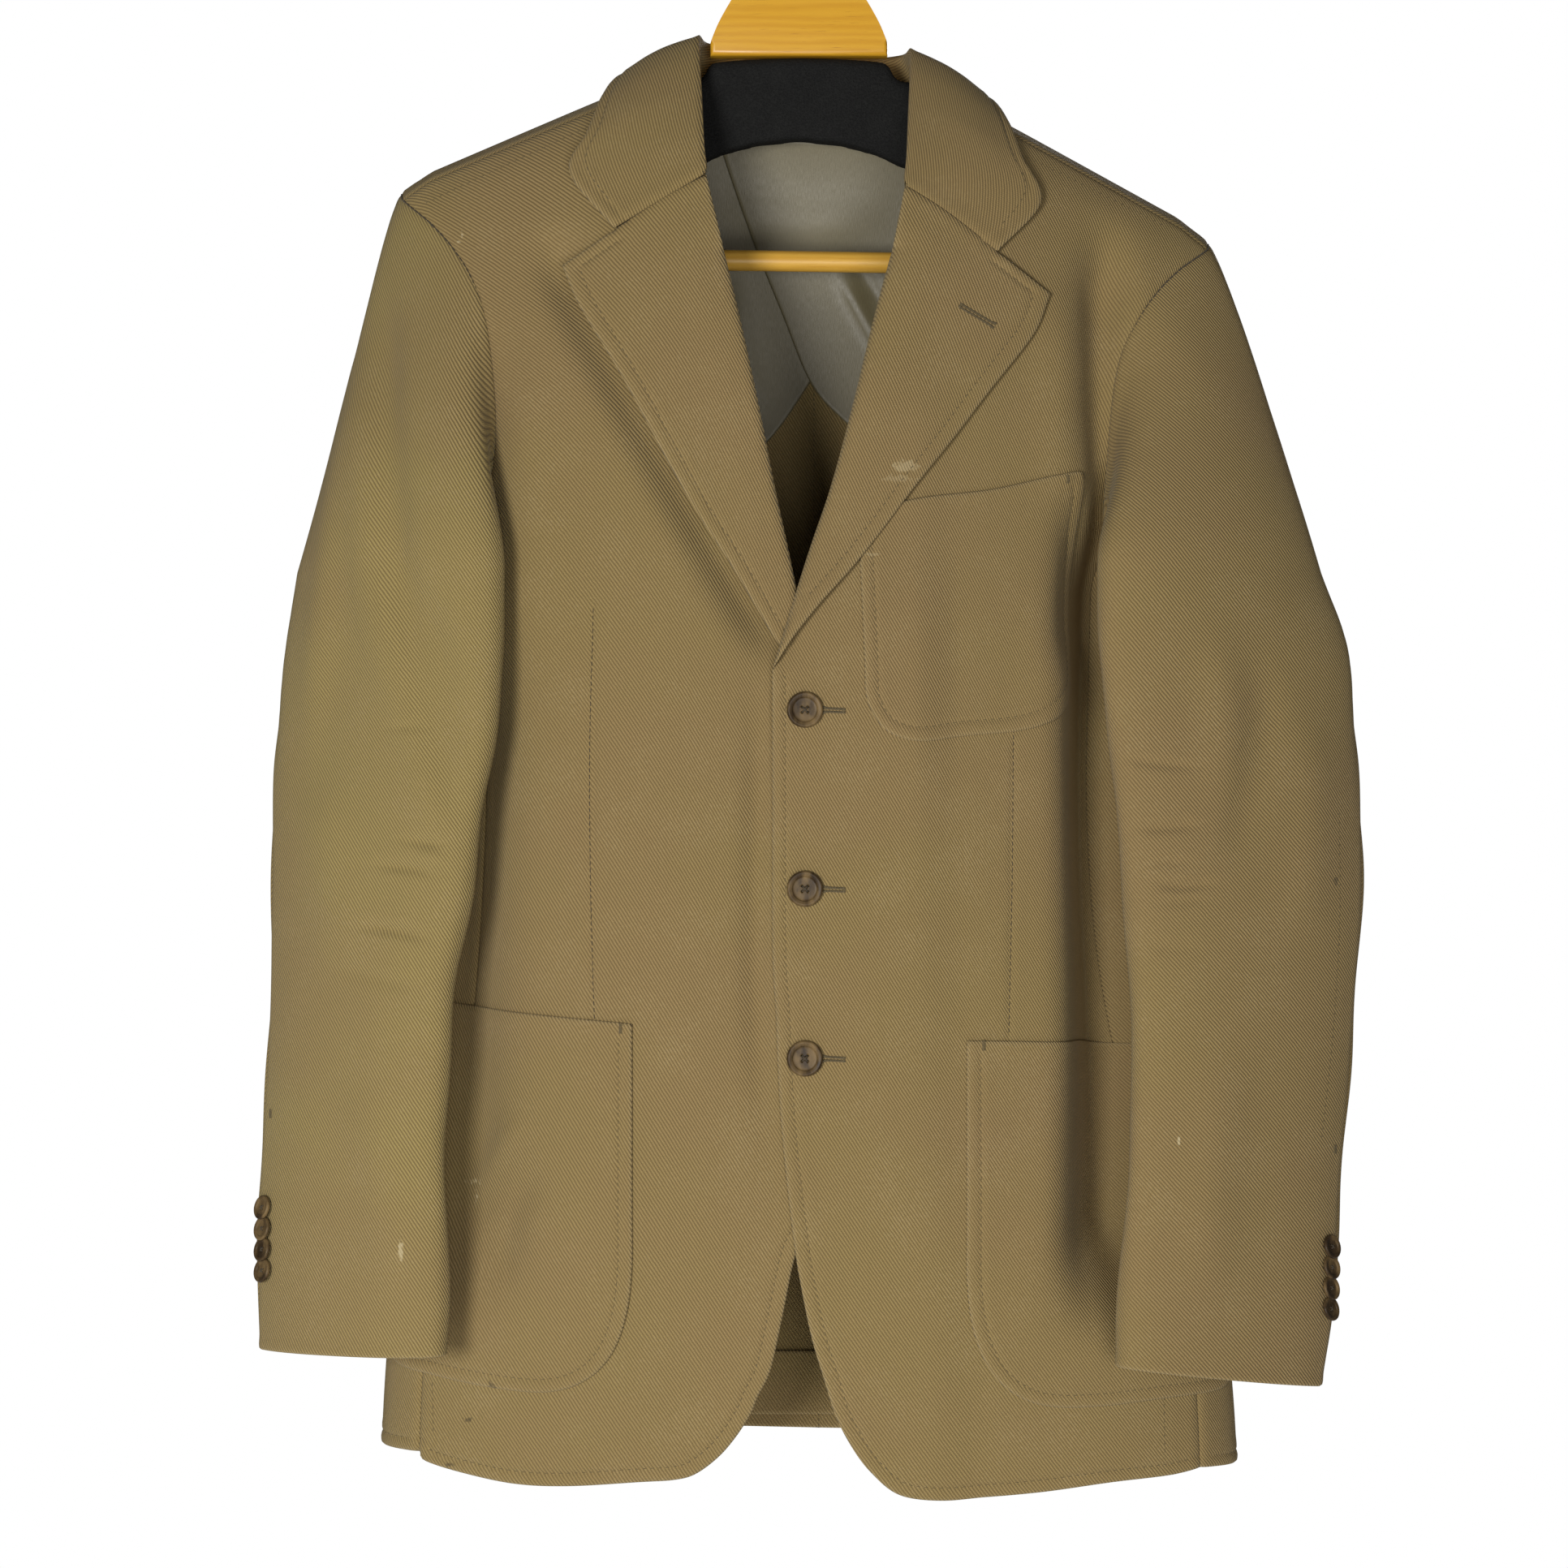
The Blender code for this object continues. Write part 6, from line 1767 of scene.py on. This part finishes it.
PALE = (0.52, 0.43, 0.25)
DARK = (0.045, 0.034, 0.018)
MARKS = (
    Mark((58.5, -85.0, -384.0), (7.0, 4.0), PALE, 0.30),
    Mark((55.0, -85.0, -391.0), (9.0, 2.4), PALE, 0.16),
    Mark((-191.0, -60.0, -248.0), (1.0, 3.0), PALE, 0.6),
    Mark((-193.0, -60.0, -252.5), (1.6, 0.8), PALE, 0.5),
    Mark((-219.0, -100.0, -816.5), (1.4, 6.0), PALE, 0.55),
    Mark((-183.5, -80.0, -784.0), (5.0, 2.0), PALE, 0.5),
    Mark((-182.0, -80.0, -793.0), (1.2, 4.0), PALE, 0.5),
    Mark((208.5, -110.0, -756.5), (0.9, 3.4), PALE, 0.6),
    Mark((40.0, -90.0, -433.0), (5.0, 1.0), PALE, 0.2),
    Mark((-186.8, -70.0, -917.3), (3.4, 2.0), DARK, 0.7),
    Mark((-172.4, -80.0, -896.6), (3.0, 2.0), DARK, 0.6),
    Mark((-197.9, -70.0, -944.3), (3.6, 1.6), DARK, 0.6),
    Mark((301.1, -60.0, -614.6), (1.6, 2.6), DARK, 0.55),
)


@dataclass(frozen=True)
class TwillCloth:
    """Heavy cotton twill with raised slanting ribs, faded unevenly, with painted shade in the gaps between the
    ribs.

    Attributes:
        name: Name of the finish.
        slant: Angle of the ribs, in degrees from across to down.
        tint: Share of the yellower cloth.
        pitch: Distance from rib to rib, in metres.
    """

    name: str
    slant: float
    tint: float = 0.4
    pitch: float = 0.00165
    brown: tuple[float, float, float] = (0.245, 0.166, 0.070)
    olive: tuple[float, float, float] = (0.243, 0.175, 0.064)
    faded: tuple[float, float, float] = (0.330, 0.245, 0.115)
    # colour of the painted shade darkened into the gaps between the ribs
    gap: tuple[float, float, float] = (0.105, 0.070, 0.028)

    def build(self) -> bpy.types.Material:
        """Make the material."""
        g = Graph(self.name)
        flat = g.node("ShaderNodeUVMap", uv_map=CLOTH_MAP).outputs["UV"]
        place = g.node("ShaderNodeTexCoord").outputs["Object"]
        wander = g.node("ShaderNodeTexNoise", {"Vector": flat, "Scale": 190.0, "Detail": 2.0}).outputs["Color"]
        shift = g.node("ShaderNodeVectorMath", {0: wander, "Scale": 0.00055}, operation="SCALE").outputs[0]
        moved = g.node("ShaderNodeVectorMath", {0: flat, 1: shift}, operation="ADD").outputs[0]
        turn = math.radians(90.0 - self.slant)
        turned = g.node("ShaderNodeMapping", {"Vector": moved, "Rotation": (0.0, 0.0, turn)})
        parts = g.node("ShaderNodeSeparateXYZ", {0: turned.outputs[0]})
        rib_phase = g.math("MULTIPLY", parts.outputs["X"], math.tau / self.pitch)
        rib = g.math("MULTIPLY_ADD", g.math("SINE", rib_phase), 0.5)
        rib.node.inputs[2].default_value = 0.5
        rib = g.math("POWER", rib, 0.65)
        number = g.math("FLOOR", g.math("DIVIDE", parts.outputs["X"], self.pitch))
        yarn_phase = g.math("ADD", g.math("MULTIPLY", parts.outputs["Y"], math.tau / 0.00105),
                            g.math("MULTIPLY", number, 2.1))
        yarn = g.math("MULTIPLY_ADD", g.math("SINE", yarn_phase), 0.5)
        yarn.node.inputs[2].default_value = 0.5
        fuzz = g.noise(flat, 2600.0, 2.0)
        twist = g.math("MULTIPLY", g.math("MULTIPLY", yarn, rib), 0.22)
        height = g.math("ADD", g.math("MULTIPLY", rib, 0.72), twist)
        height = g.math("ADD", height, g.math("MULTIPLY", fuzz, 0.22))
        broad = g.noise(place, 7.0, 3.0)
        middle = g.noise(place, 31.0, 4.0)
        fine = g.noise(flat, 420.0, 3.0)
        tone = g.math("ADD", g.spread(broad, 0.35, 0.65, -0.25, 0.35), self.tint)
        cloth = g.mix(tone, self.brown, self.olive)
        wear = g.node("ShaderNodeAttribute", attribute_name=WEAR, attribute_type="GEOMETRY").outputs["Fac"]
        faded = g.math("ADD", g.math("MULTIPLY", wear, 0.55),
                       g.spread(g.math("MULTIPLY", middle, fine), 0.22, 0.46, 0.0, 0.30))
        cloth = g.mix(faded, cloth, self.faded)
        # Painted shade: the gaps between the ribs are darkened towards the gap colour.
        depth = g.spread(rib, 0.0, 0.8, 0.70, 0.0)
        cloth = g.mix(depth, cloth, self.gap)
        cloth = self._marked(g, place, cloth)
        g.colour(cloth)
        g.rough(g.spread(height, 0.0, 1.0, 0.96, 0.82))
        g.bump(height, 1.0, 0.00055)
        g.set(Specular_IOR_Level=0.22, Sheen_Weight=0.10, Sheen_Roughness=0.5,
              Sheen_Tint=(0.85, 0.80, 0.62, 1.0))
        return g.material

    def _marked(self, g: Graph, place: bpy.types.NodeSocket,
                cloth: bpy.types.NodeSocket) -> bpy.types.NodeSocket:
        """Add the small marks."""
        rag = g.node("ShaderNodeTexNoise", {"Vector": place, "Scale": 420.0, "Detail": 3.0}).outputs["Fac"]
        for mark in MARKS:
            middle = Vector(mark.place) * MM
            local = g.node("ShaderNodeVectorMath", {0: place, 1: middle}, operation="SUBTRACT").outputs[0]
            shrink = (1.0 / (mark.size[0] * MM), 1.0 / (45.0 * MM), 1.0 / (mark.size[1] * MM))
            scaled = g.node("ShaderNodeVectorMath", {0: local, 1: shrink}, operation="MULTIPLY").outputs[0]
            length = g.node("ShaderNodeVectorMath", {0: scaled}, operation="LENGTH").outputs["Value"]
            ragged = g.math("ADD", length, g.math("MULTIPLY", g.math("SUBTRACT", rag, 0.5), 2.6))
            share = g.spread(ragged, 1.1, 0.5, 0.0, mark.strength)
            cloth = g.mix(share, cloth, mark.colour)
        return cloth


@dataclass(frozen=True)
class SatinLining:
    """Smooth grey-green lining."""

    name: str = "lining_satin"
    colour: tuple[float, float, float] = (0.170, 0.140, 0.068)
    deep: tuple[float, float, float] = (0.075, 0.064, 0.034)

    def build(self) -> bpy.types.Material:
        """Make the material."""
        g = Graph(self.name)
        flat = g.node("ShaderNodeUVMap", uv_map=CLOTH_MAP).outputs["UV"]
        slub = g.node("ShaderNodeMapping", {"Vector": flat, "Scale": (2600.0, 260.0, 1.0)}).outputs[0]
        thread = g.node("ShaderNodeTexNoise", {"Vector": slub, "Scale": 1.0, "Detail": 2.0}).outputs["Fac"]
        broad = g.noise(flat, 14.0, 3.0)
        tone = g.math("ADD", g.math("MULTIPLY", thread, 0.5), g.math("MULTIPLY", broad, 0.4))
        g.colour(g.mix(tone, self.deep, self.colour))
        g.rough(g.spread(thread, 0.2, 0.8, 0.52, 0.40))
        g.bump(g.math("ADD", g.math("MULTIPLY", thread, 0.4), broad), 0.4, 0.0006)
        g.set(Specular_IOR_Level=0.4, Sheen_Weight=0.1)
        return g.material


@dataclass(frozen=True)
class VarnishedWood:
    """Golden varnished wood; the grain runs along x."""

    name: str
    pale: tuple[float, float, float] = (0.600, 0.320, 0.020)
    deep: tuple[float, float, float] = (0.500, 0.240, 0.012)
    pore: tuple[float, float, float] = (0.300, 0.120, 0.010)
    stretch: float = 9.0

    def build(self) -> bpy.types.Material:
        """Make the material."""
        g = Graph(self.name)
        place = g.node("ShaderNodeTexCoord").outputs["Object"]
        along = g.node("ShaderNodeMapping", {"Vector": place,
                                             "Scale": (1.0, self.stretch, self.stretch)}).outputs[0]
        warp = g.noise(along, 9.0, 4.0)
        wave = g.node("ShaderNodeTexWave", {"Vector": along, "Scale": 7.0, "Distortion": 7.0, "Detail": 3.0,
                                            "Detail Scale": 1.4}, bands_direction="Z").outputs["Fac"]
        lines = g.node("ShaderNodeMapping", {"Vector": place, "Scale": (60.0, 1500.0, 1500.0)}).outputs[0]
        pores = g.node("ShaderNodeTexNoise", {"Vector": lines, "Scale": 1.0, "Detail": 3.0}).outputs["Fac"]
        tone = g.math("ADD", g.math("MULTIPLY", wave, 0.5), g.math("MULTIPLY", warp, 0.4))
        base = g.mix(tone, self.deep, self.pale)
        g.colour(g.mix(g.spread(pores, 0.62, 0.74, 0.0, 0.45), base, self.pore))
        g.rough(g.spread(warp, 0.3, 0.7, 0.34, 0.44))
        g.bump(pores, 0.15, 0.0002)
        g.set(Specular_IOR_Level=0.3, Coat_Weight=0.15, Coat_Roughness=0.25)
        return g.material


@dataclass(frozen=True)
class FoamCover:
    """Black open foam with a pebbled skin."""

    name: str = "foam_black"

    def build(self) -> bpy.types.Material:
        """Make the material."""
        g = Graph(self.name)
        place = g.node("ShaderNodeTexCoord").outputs["Object"]
        cells = g.node("ShaderNodeTexVoronoi", {"Vector": place, "Scale": 900.0}).outputs["Distance"]
        grain = g.noise(place, 1500.0, 3.0)
        patch = g.noise(place, 60.0, 3.0)
        tone = g.math("ADD", g.math("MULTIPLY", cells, 0.6), g.math("MULTIPLY", patch, 0.5))
        g.colour(g.mix(tone, (0.004, 0.004, 0.004), (0.015, 0.015, 0.014)))
        g.rough(g.spread(grain, 0.2, 0.8, 0.98, 0.85))
        g.bump(g.math("ADD", cells, grain), 0.7, 0.0007)
        g.set(Specular_IOR_Level=0.12)
        return g.material


@dataclass(frozen=True)
class Horn:
    """Brown horn with darker streaks."""

    name: str
    seed: float

    def build(self) -> bpy.types.Material:
        """Make the material."""
        g = Graph(self.name)
        place = g.node("ShaderNodeTexCoord").outputs["Object"]
        moved = g.node("ShaderNodeMapping", {"Vector": place, "Location": (self.seed, 0.0, self.seed),
                                             "Scale": (1.0, 0.6, 0.45),
                                             "Rotation": (0.3, 0.5, self.seed)}).outputs[0]
        cloud = g.noise(moved, 130.0, 4.0)
        streak = g.node("ShaderNodeTexWave", {"Vector": moved, "Scale": 70.0, "Distortion": 9.0, "Detail": 3.0})
        base = g.mix(g.spread(cloud, 0.36, 0.64), (0.026, 0.016, 0.008), (0.150, 0.098, 0.042))
        g.colour(g.mix(g.math("MULTIPLY", streak.outputs["Fac"], 0.35), base, (0.060, 0.038, 0.018)))
        g.rough(g.spread(cloud, 0.3, 0.7, 0.34, 0.46))
        g.set(Specular_IOR_Level=0.12)
        return g.material


@dataclass(frozen=True)
class Thread:
    """Twisted sewing thread."""

    name: str
    colour: tuple[float, float, float]

    def build(self) -> bpy.types.Material:
        """Make the material."""
        g = Graph(self.name)
        place = g.node("ShaderNodeTexCoord").outputs["Object"]
        twist = g.noise(place, 2400.0, 2.0)
        dark = tuple(0.6 * value for value in self.colour)
        g.colour(g.mix(twist, dark, self.colour))
        g.rough(g.spread(twist, 0.3, 0.7, 0.85, 0.7))
        g.bump(twist, 0.5, 0.0002)
        g.set(Specular_IOR_Level=0.3, Sheen_Weight=0.1)
        return g.material


@dataclass(frozen=True)
class Steel:
    """Drawn steel wire with faint scratches."""

    name: str = "hook_steel"

    def build(self) -> bpy.types.Material:
        """Make the material."""
        g = Graph(self.name)
        place = g.node("ShaderNodeTexCoord").outputs["Object"]
        scratch = g.noise(place, 700.0, 4.0)
        g.colour(g.mix(scratch, (0.50, 0.50, 0.52), (0.66, 0.66, 0.68)))
        g.rough(g.spread(scratch, 0.3, 0.7, 0.2, 0.34))
        g.bump(scratch, 0.1, 0.0001)
        g.set(Metallic=1.0)
        return g.material


@dataclass
class Studio:
    """Camera, soft lights, pale floor and surroundings."""

    place: tuple[float, float, float] = (-8.55, -2080.0, -560.0)
    lens: float = 82.8
    floor_z: float = -1360.0
    floor_radius: float = 1500.0

    def build(self) -> None:
        """Set up the studio."""
        camera = bpy.data.cameras.new("camera")
        camera.lens = self.lens
        camera.sensor_width = 36.0
        holder = bpy.data.objects.new("camera", camera)
        holder.location = Vector(self.place) * MM
        holder.rotation_euler = (math.radians(90.0), 0.0, 0.0)
        bpy.context.scene.collection.objects.link(holder)
        bpy.context.scene.camera = holder
        bpy.context.scene.view_settings.view_transform = "Standard"
        self._light("key", (-820.0, -2300.0, -620.0), 700.0, 47.0)
        self._light("fill", (420.0, -2400.0, -1000.0), 1100.0, 24.0)
        self._light("back", (300.0, 2300.0, 300.0), 1500.0, 60.0)
        self._floor()
        self._world()

    def _light(self, name: str, place: tuple[float, float, float], size: float, power: float) -> None:
        """Add a large soft light aimed at the jacket's middle."""
        light = bpy.data.lights.new(name, "AREA")
        light.shape = "DISK"
        light.size = size * MM
        light.energy = power
        holder = bpy.data.objects.new(name, light)
        holder.location = Vector(place) * MM
        aim = Vector((0.0, 0.0, -560.0)) * MM - holder.location
        holder.rotation_euler = aim.to_track_quat("-Z", "Y").to_euler()
        bpy.context.scene.collection.objects.link(holder)

    def _floor(self) -> None:
        """Add a plain pale round floor."""
        bm = bmesh.new()
        bmesh.ops.create_circle(bm, cap_ends=True, segments=128, radius=self.floor_radius)
        bmesh.ops.translate(bm, vec=(0.0, 0.0, self.floor_z), verts=bm.verts)
        floor = finish_mesh("floor", bm)
        g = Graph("floor_pale")
        place = g.node("ShaderNodeTexCoord").outputs["Object"]
        g.colour(g.mix(g.noise(place, 3.0), (0.78, 0.78, 0.77), (0.82, 0.82, 0.81)))
        g.set(Roughness=0.8)
        floor.data.materials.append(g.material)

    def _world(self) -> None:
        """Surround the scene with soft white light."""
        world = bpy.data.worlds.new("surroundings")
        world.use_nodes = True
        tree = world.node_tree
        seen = tree.nodes.new("ShaderNodeBackground")
        seen.inputs["Color"].default_value = (1.0, 1.0, 1.0, 1.0)
        soft = tree.nodes["Background"]
        soft.inputs["Color"].default_value = (1.0, 0.99, 0.97, 1.0)
        soft.inputs["Strength"].default_value = 0.13
        path = tree.nodes.new("ShaderNodeLightPath")
        mix = tree.nodes.new("ShaderNodeMixShader")
        tree.links.new(path.outputs["Is Camera Ray"], mix.inputs[0])
        tree.links.new(soft.outputs[0], mix.inputs[1])
        tree.links.new(seen.outputs[0], mix.inputs[2])
        tree.links.new(mix.outputs[0], tree.nodes["World Output"].inputs["Surface"])
        bpy.context.scene.world = world


@dataclass
class Jacket:
    """The whole jacket on its hanger."""

    nodes: dict[str, bpy.types.Object]
    form: BodyForm = field(default_factory=BodyForm)
    outlines: Outlines = field(default_factory=Outlines)
    dressing: Dressing = field(default_factory=Dressing)
    made: dict[str, bpy.types.Object] = field(default_factory=dict)
    rows: list[StitchRow] = field(default_factory=list)
    # buttonholes and tacks: the piece, and both ends seen from the front
    buttonholes: Sequence[tuple[str, Point, Point]] = (
        ("front_left", (12.8, -519.05), (24.5, -519.55)), ("front_left", (12.8, -618.05), (24.5, -618.55)),
        ("front_left", (12.8, -711.65), (24.5, -712.15)), ("lapel_left", (108.9, -304.4), (90.0, -293.2)))
    tacks: Sequence[tuple[str, Point, Point]] = (
        ("hip_pocket_right", (-99.0, -692.8), (-99.0, -698.5)),
        ("hip_pocket_left", (102.2, -702.2), (102.2, -707.8)),
        ("chest_pocket", (149.9, -387.7), (149.9, -392.5)),
        ("top_sleeve_left", (301.0, -763.0), (301.0, -768.0)),
        ("top_sleeve_right", (-297.0, -743.0), (-297.0, -748.0)))
    # the dark line round each armhole, painted shade for the crevice of the seam: its last share of the loop, how
    # far it is sunk, and its radius
    armhole_shade_line_end: float = 0.44
    armhole_shade_line_sunk: float = 0.35
    armhole_shade_line_radius: float = 0.42
    # topstitching beside seams: the piece, and x and z of its course seen from the front
    dart_rows: Sequence[tuple[str, Path]] = (
        ("front_right", ((-114.6, -461.0), (-116.6, -540.0), (-116.0, -620.0), (-113.8, -691.0))),
        ("front_left", ((119.0, -524.0), (118.2, -610.0), (116.0, -701.0))),
    )
    seam_rows: Sequence[tuple[str, Path]] = (
        ("front_right", ((-207.0, -896.0), (-206.5, -930.0))),
        ("front_left", ((205.0, -903.0), (206.0, -938.0))),
        ("front_right", ((-100.0, -177.0), (-150.0, -200.0), (-214.0, -229.0))),
        ("front_left", ((100.0, -190.0), (150.0, -213.0), (210.0, -242.0))),
        ("top_sleeve_left", ((303.0, -575.0), (303.0, -640.0), (299.0, -700.0), (292.0, -760.0))),
    )

    def finishes(self) -> dict[str, bpy.types.Material]:
        """Make every material once."""
        return {
            "body": TwillCloth("twill_body", 57.0, 0.45).build(),
            "pocket": TwillCloth("twill_pocket", 57.0, 0.30).build(),
            "lapel": TwillCloth("twill_lapel", 62.0, 0.40).build(),
            "collar": TwillCloth("twill_collar", 12.0, 0.40).build(),
            "sleeve_left": TwillCloth("twill_sleeve_left", 47.0, 0.40).build(),
            "sleeve_right": TwillCloth("twill_sleeve_right", 57.0, 0.75, olive=(0.275, 0.205, 0.074)).build(),
            "lining": SatinLining().build(),
            "neck_wood": VarnishedWood("wood_neck").build(),
            "bar_wood": VarnishedWood("wood_bar", (0.62, 0.36, 0.055), (0.50, 0.26, 0.030)).build(),
            "foam": FoamCover().build(),
            "steel": Steel().build(),
            "thread": Thread("thread_olive", (0.140, 0.102, 0.042)).build(),
            "dark_thread": Thread("thread_dark", (0.060, 0.044, 0.024)).build(),
            "hole_thread": Thread("thread_buttonholes", (0.130, 0.096, 0.042)).build(),
        }

    def build(self) -> None:
        """Make and dress every piece."""
        finishes = self.finishes()
        self._body(finishes)
        self._sleeves(finishes)
        collar, cut, row = Collar(self.form).build()
        self.dressing.cloth(collar, finishes["collar"], "cloth", ("collar", "collar_stand"), cut)
        self.made["collar"] = collar
        self.rows.append(row)
        self._buttons(finishes)
        self._hanger(finishes)
        self._sewing(finishes)

    def _body(self, finishes: dict[str, bpy.types.Material]) -> None:
        """Make the pieces on the body form."""
        for panel in BodyPieces(self.form, self.outlines).panels():
            node = panel.name.removesuffix("_cloth")
            made, cut, rows = panel.build(self.form)
            self.made[node] = made
            self.rows += rows
            lining = node.startswith("half_lining")
            word = "pocket" if "pocket" in node else "lapel" if node.startswith("lapel") else "body"
            slot = "lining" if lining else "cloth"
            self.dressing.cloth(made, finishes["lining" if lining else word], slot, (node,), cut)

    def _sleeves(self, finishes: dict[str, bpy.types.Material]) -> None:
        """Make the sleeves."""
        for made, node, cut in Sleeves(self.form, self.outlines).build():
            self.made[node] = made
            side = node.rsplit("_", 1)[1]
            self.dressing.cloth(made, finishes[f"sleeve_{side}"], "cloth", (node,), cut)

    def _buttons(self, finishes: dict[str, bpy.types.Material]) -> None:
        """Make the buttons."""
        for number, (button, thread, node) in enumerate(Buttons().build(self.nodes)):
            self.dressing.part(button, Horn(f"horn_{number + 1}", 0.37 * number).build(), "horn", (node,))
            self.dressing.part(thread, finishes["dark_thread"], "horn")

    def _hanger(self, finishes: dict[str, bpy.types.Material]) -> None:
        """Make the hanger."""
        hanger = Hanger()
        self.dressing.part(hanger.build_neck(), finishes["neck_wood"], "wood", ("hanger_neck",))
        self.dressing.part(hanger.build_bar(), finishes["bar_wood"], "wood", ("trouser_bar",))
        self.dressing.part(hanger.build_hook(), finishes["steel"], "steel", ("hook",))
        foam = hanger.build_foam(self.nodes["hanger_arms"])
        self.dressing.part(foam, finishes["foam"], "foam", ("hanger_arms",))

    def _sewing(self, finishes: dict[str, bpy.types.Material]) -> None:
        """Sew on what the bare cloth lacks, and lay a painted shade line along the front of each armhole seam."""
        sewing = Sewing()
        bm = bmesh.new()
        for node, start, end in self.buttonholes:
            sewing.buttonhole(bm, self.made[node], start, end)
        for node, start, end in self.tacks:
            sewing.tack(bm, self.made[node], start, end)
        worked = finish_mesh("buttonholes_and_tacks", bm)
        self.dressing.part(worked, finishes["hole_thread"], "cloth")
        lines = []
        for node, path in self.dart_rows:
            lines += sewing.row(self.made[node], path, length=3.0, gap=0.7, radius=0.26)
        # A continuous dark line along the front of each armhole seam, painted shade for the seam's crevice; the
        # same dark thread finish also serves the real dart stitches and button thread.
        shares = np.linspace(0.0, self.armhole_shade_line_end, 150)
        for side in Side:
            points, _, normals = SleeveForm(side, self.form, self.outlines).loop(shares)
            points = points - self.armhole_shade_line_sunk * normals
            lines.append(StitchRow(points, normals, length=4.0, gap=0.0, radius=self.armhole_shade_line_radius))
        self.dressing.part(sewing.join("dart_and_armhole_lines", lines), finishes["dark_thread"], "cloth")
        for node, path in self.seam_rows:
            self.rows += sewing.row(self.made[node], path)
        self.dressing.part(sewing.join("topstitching", self.rows), finishes["thread"], "cloth")


def main() -> None:
    """Build the jacket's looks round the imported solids."""
    logging.basicConfig(level=logging.INFO, format="%(name)s: %(message)s")
    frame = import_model()
    Studio().build()
    Jacket(frame["nodes"]).build()


if __name__ == "__main__":
    main()
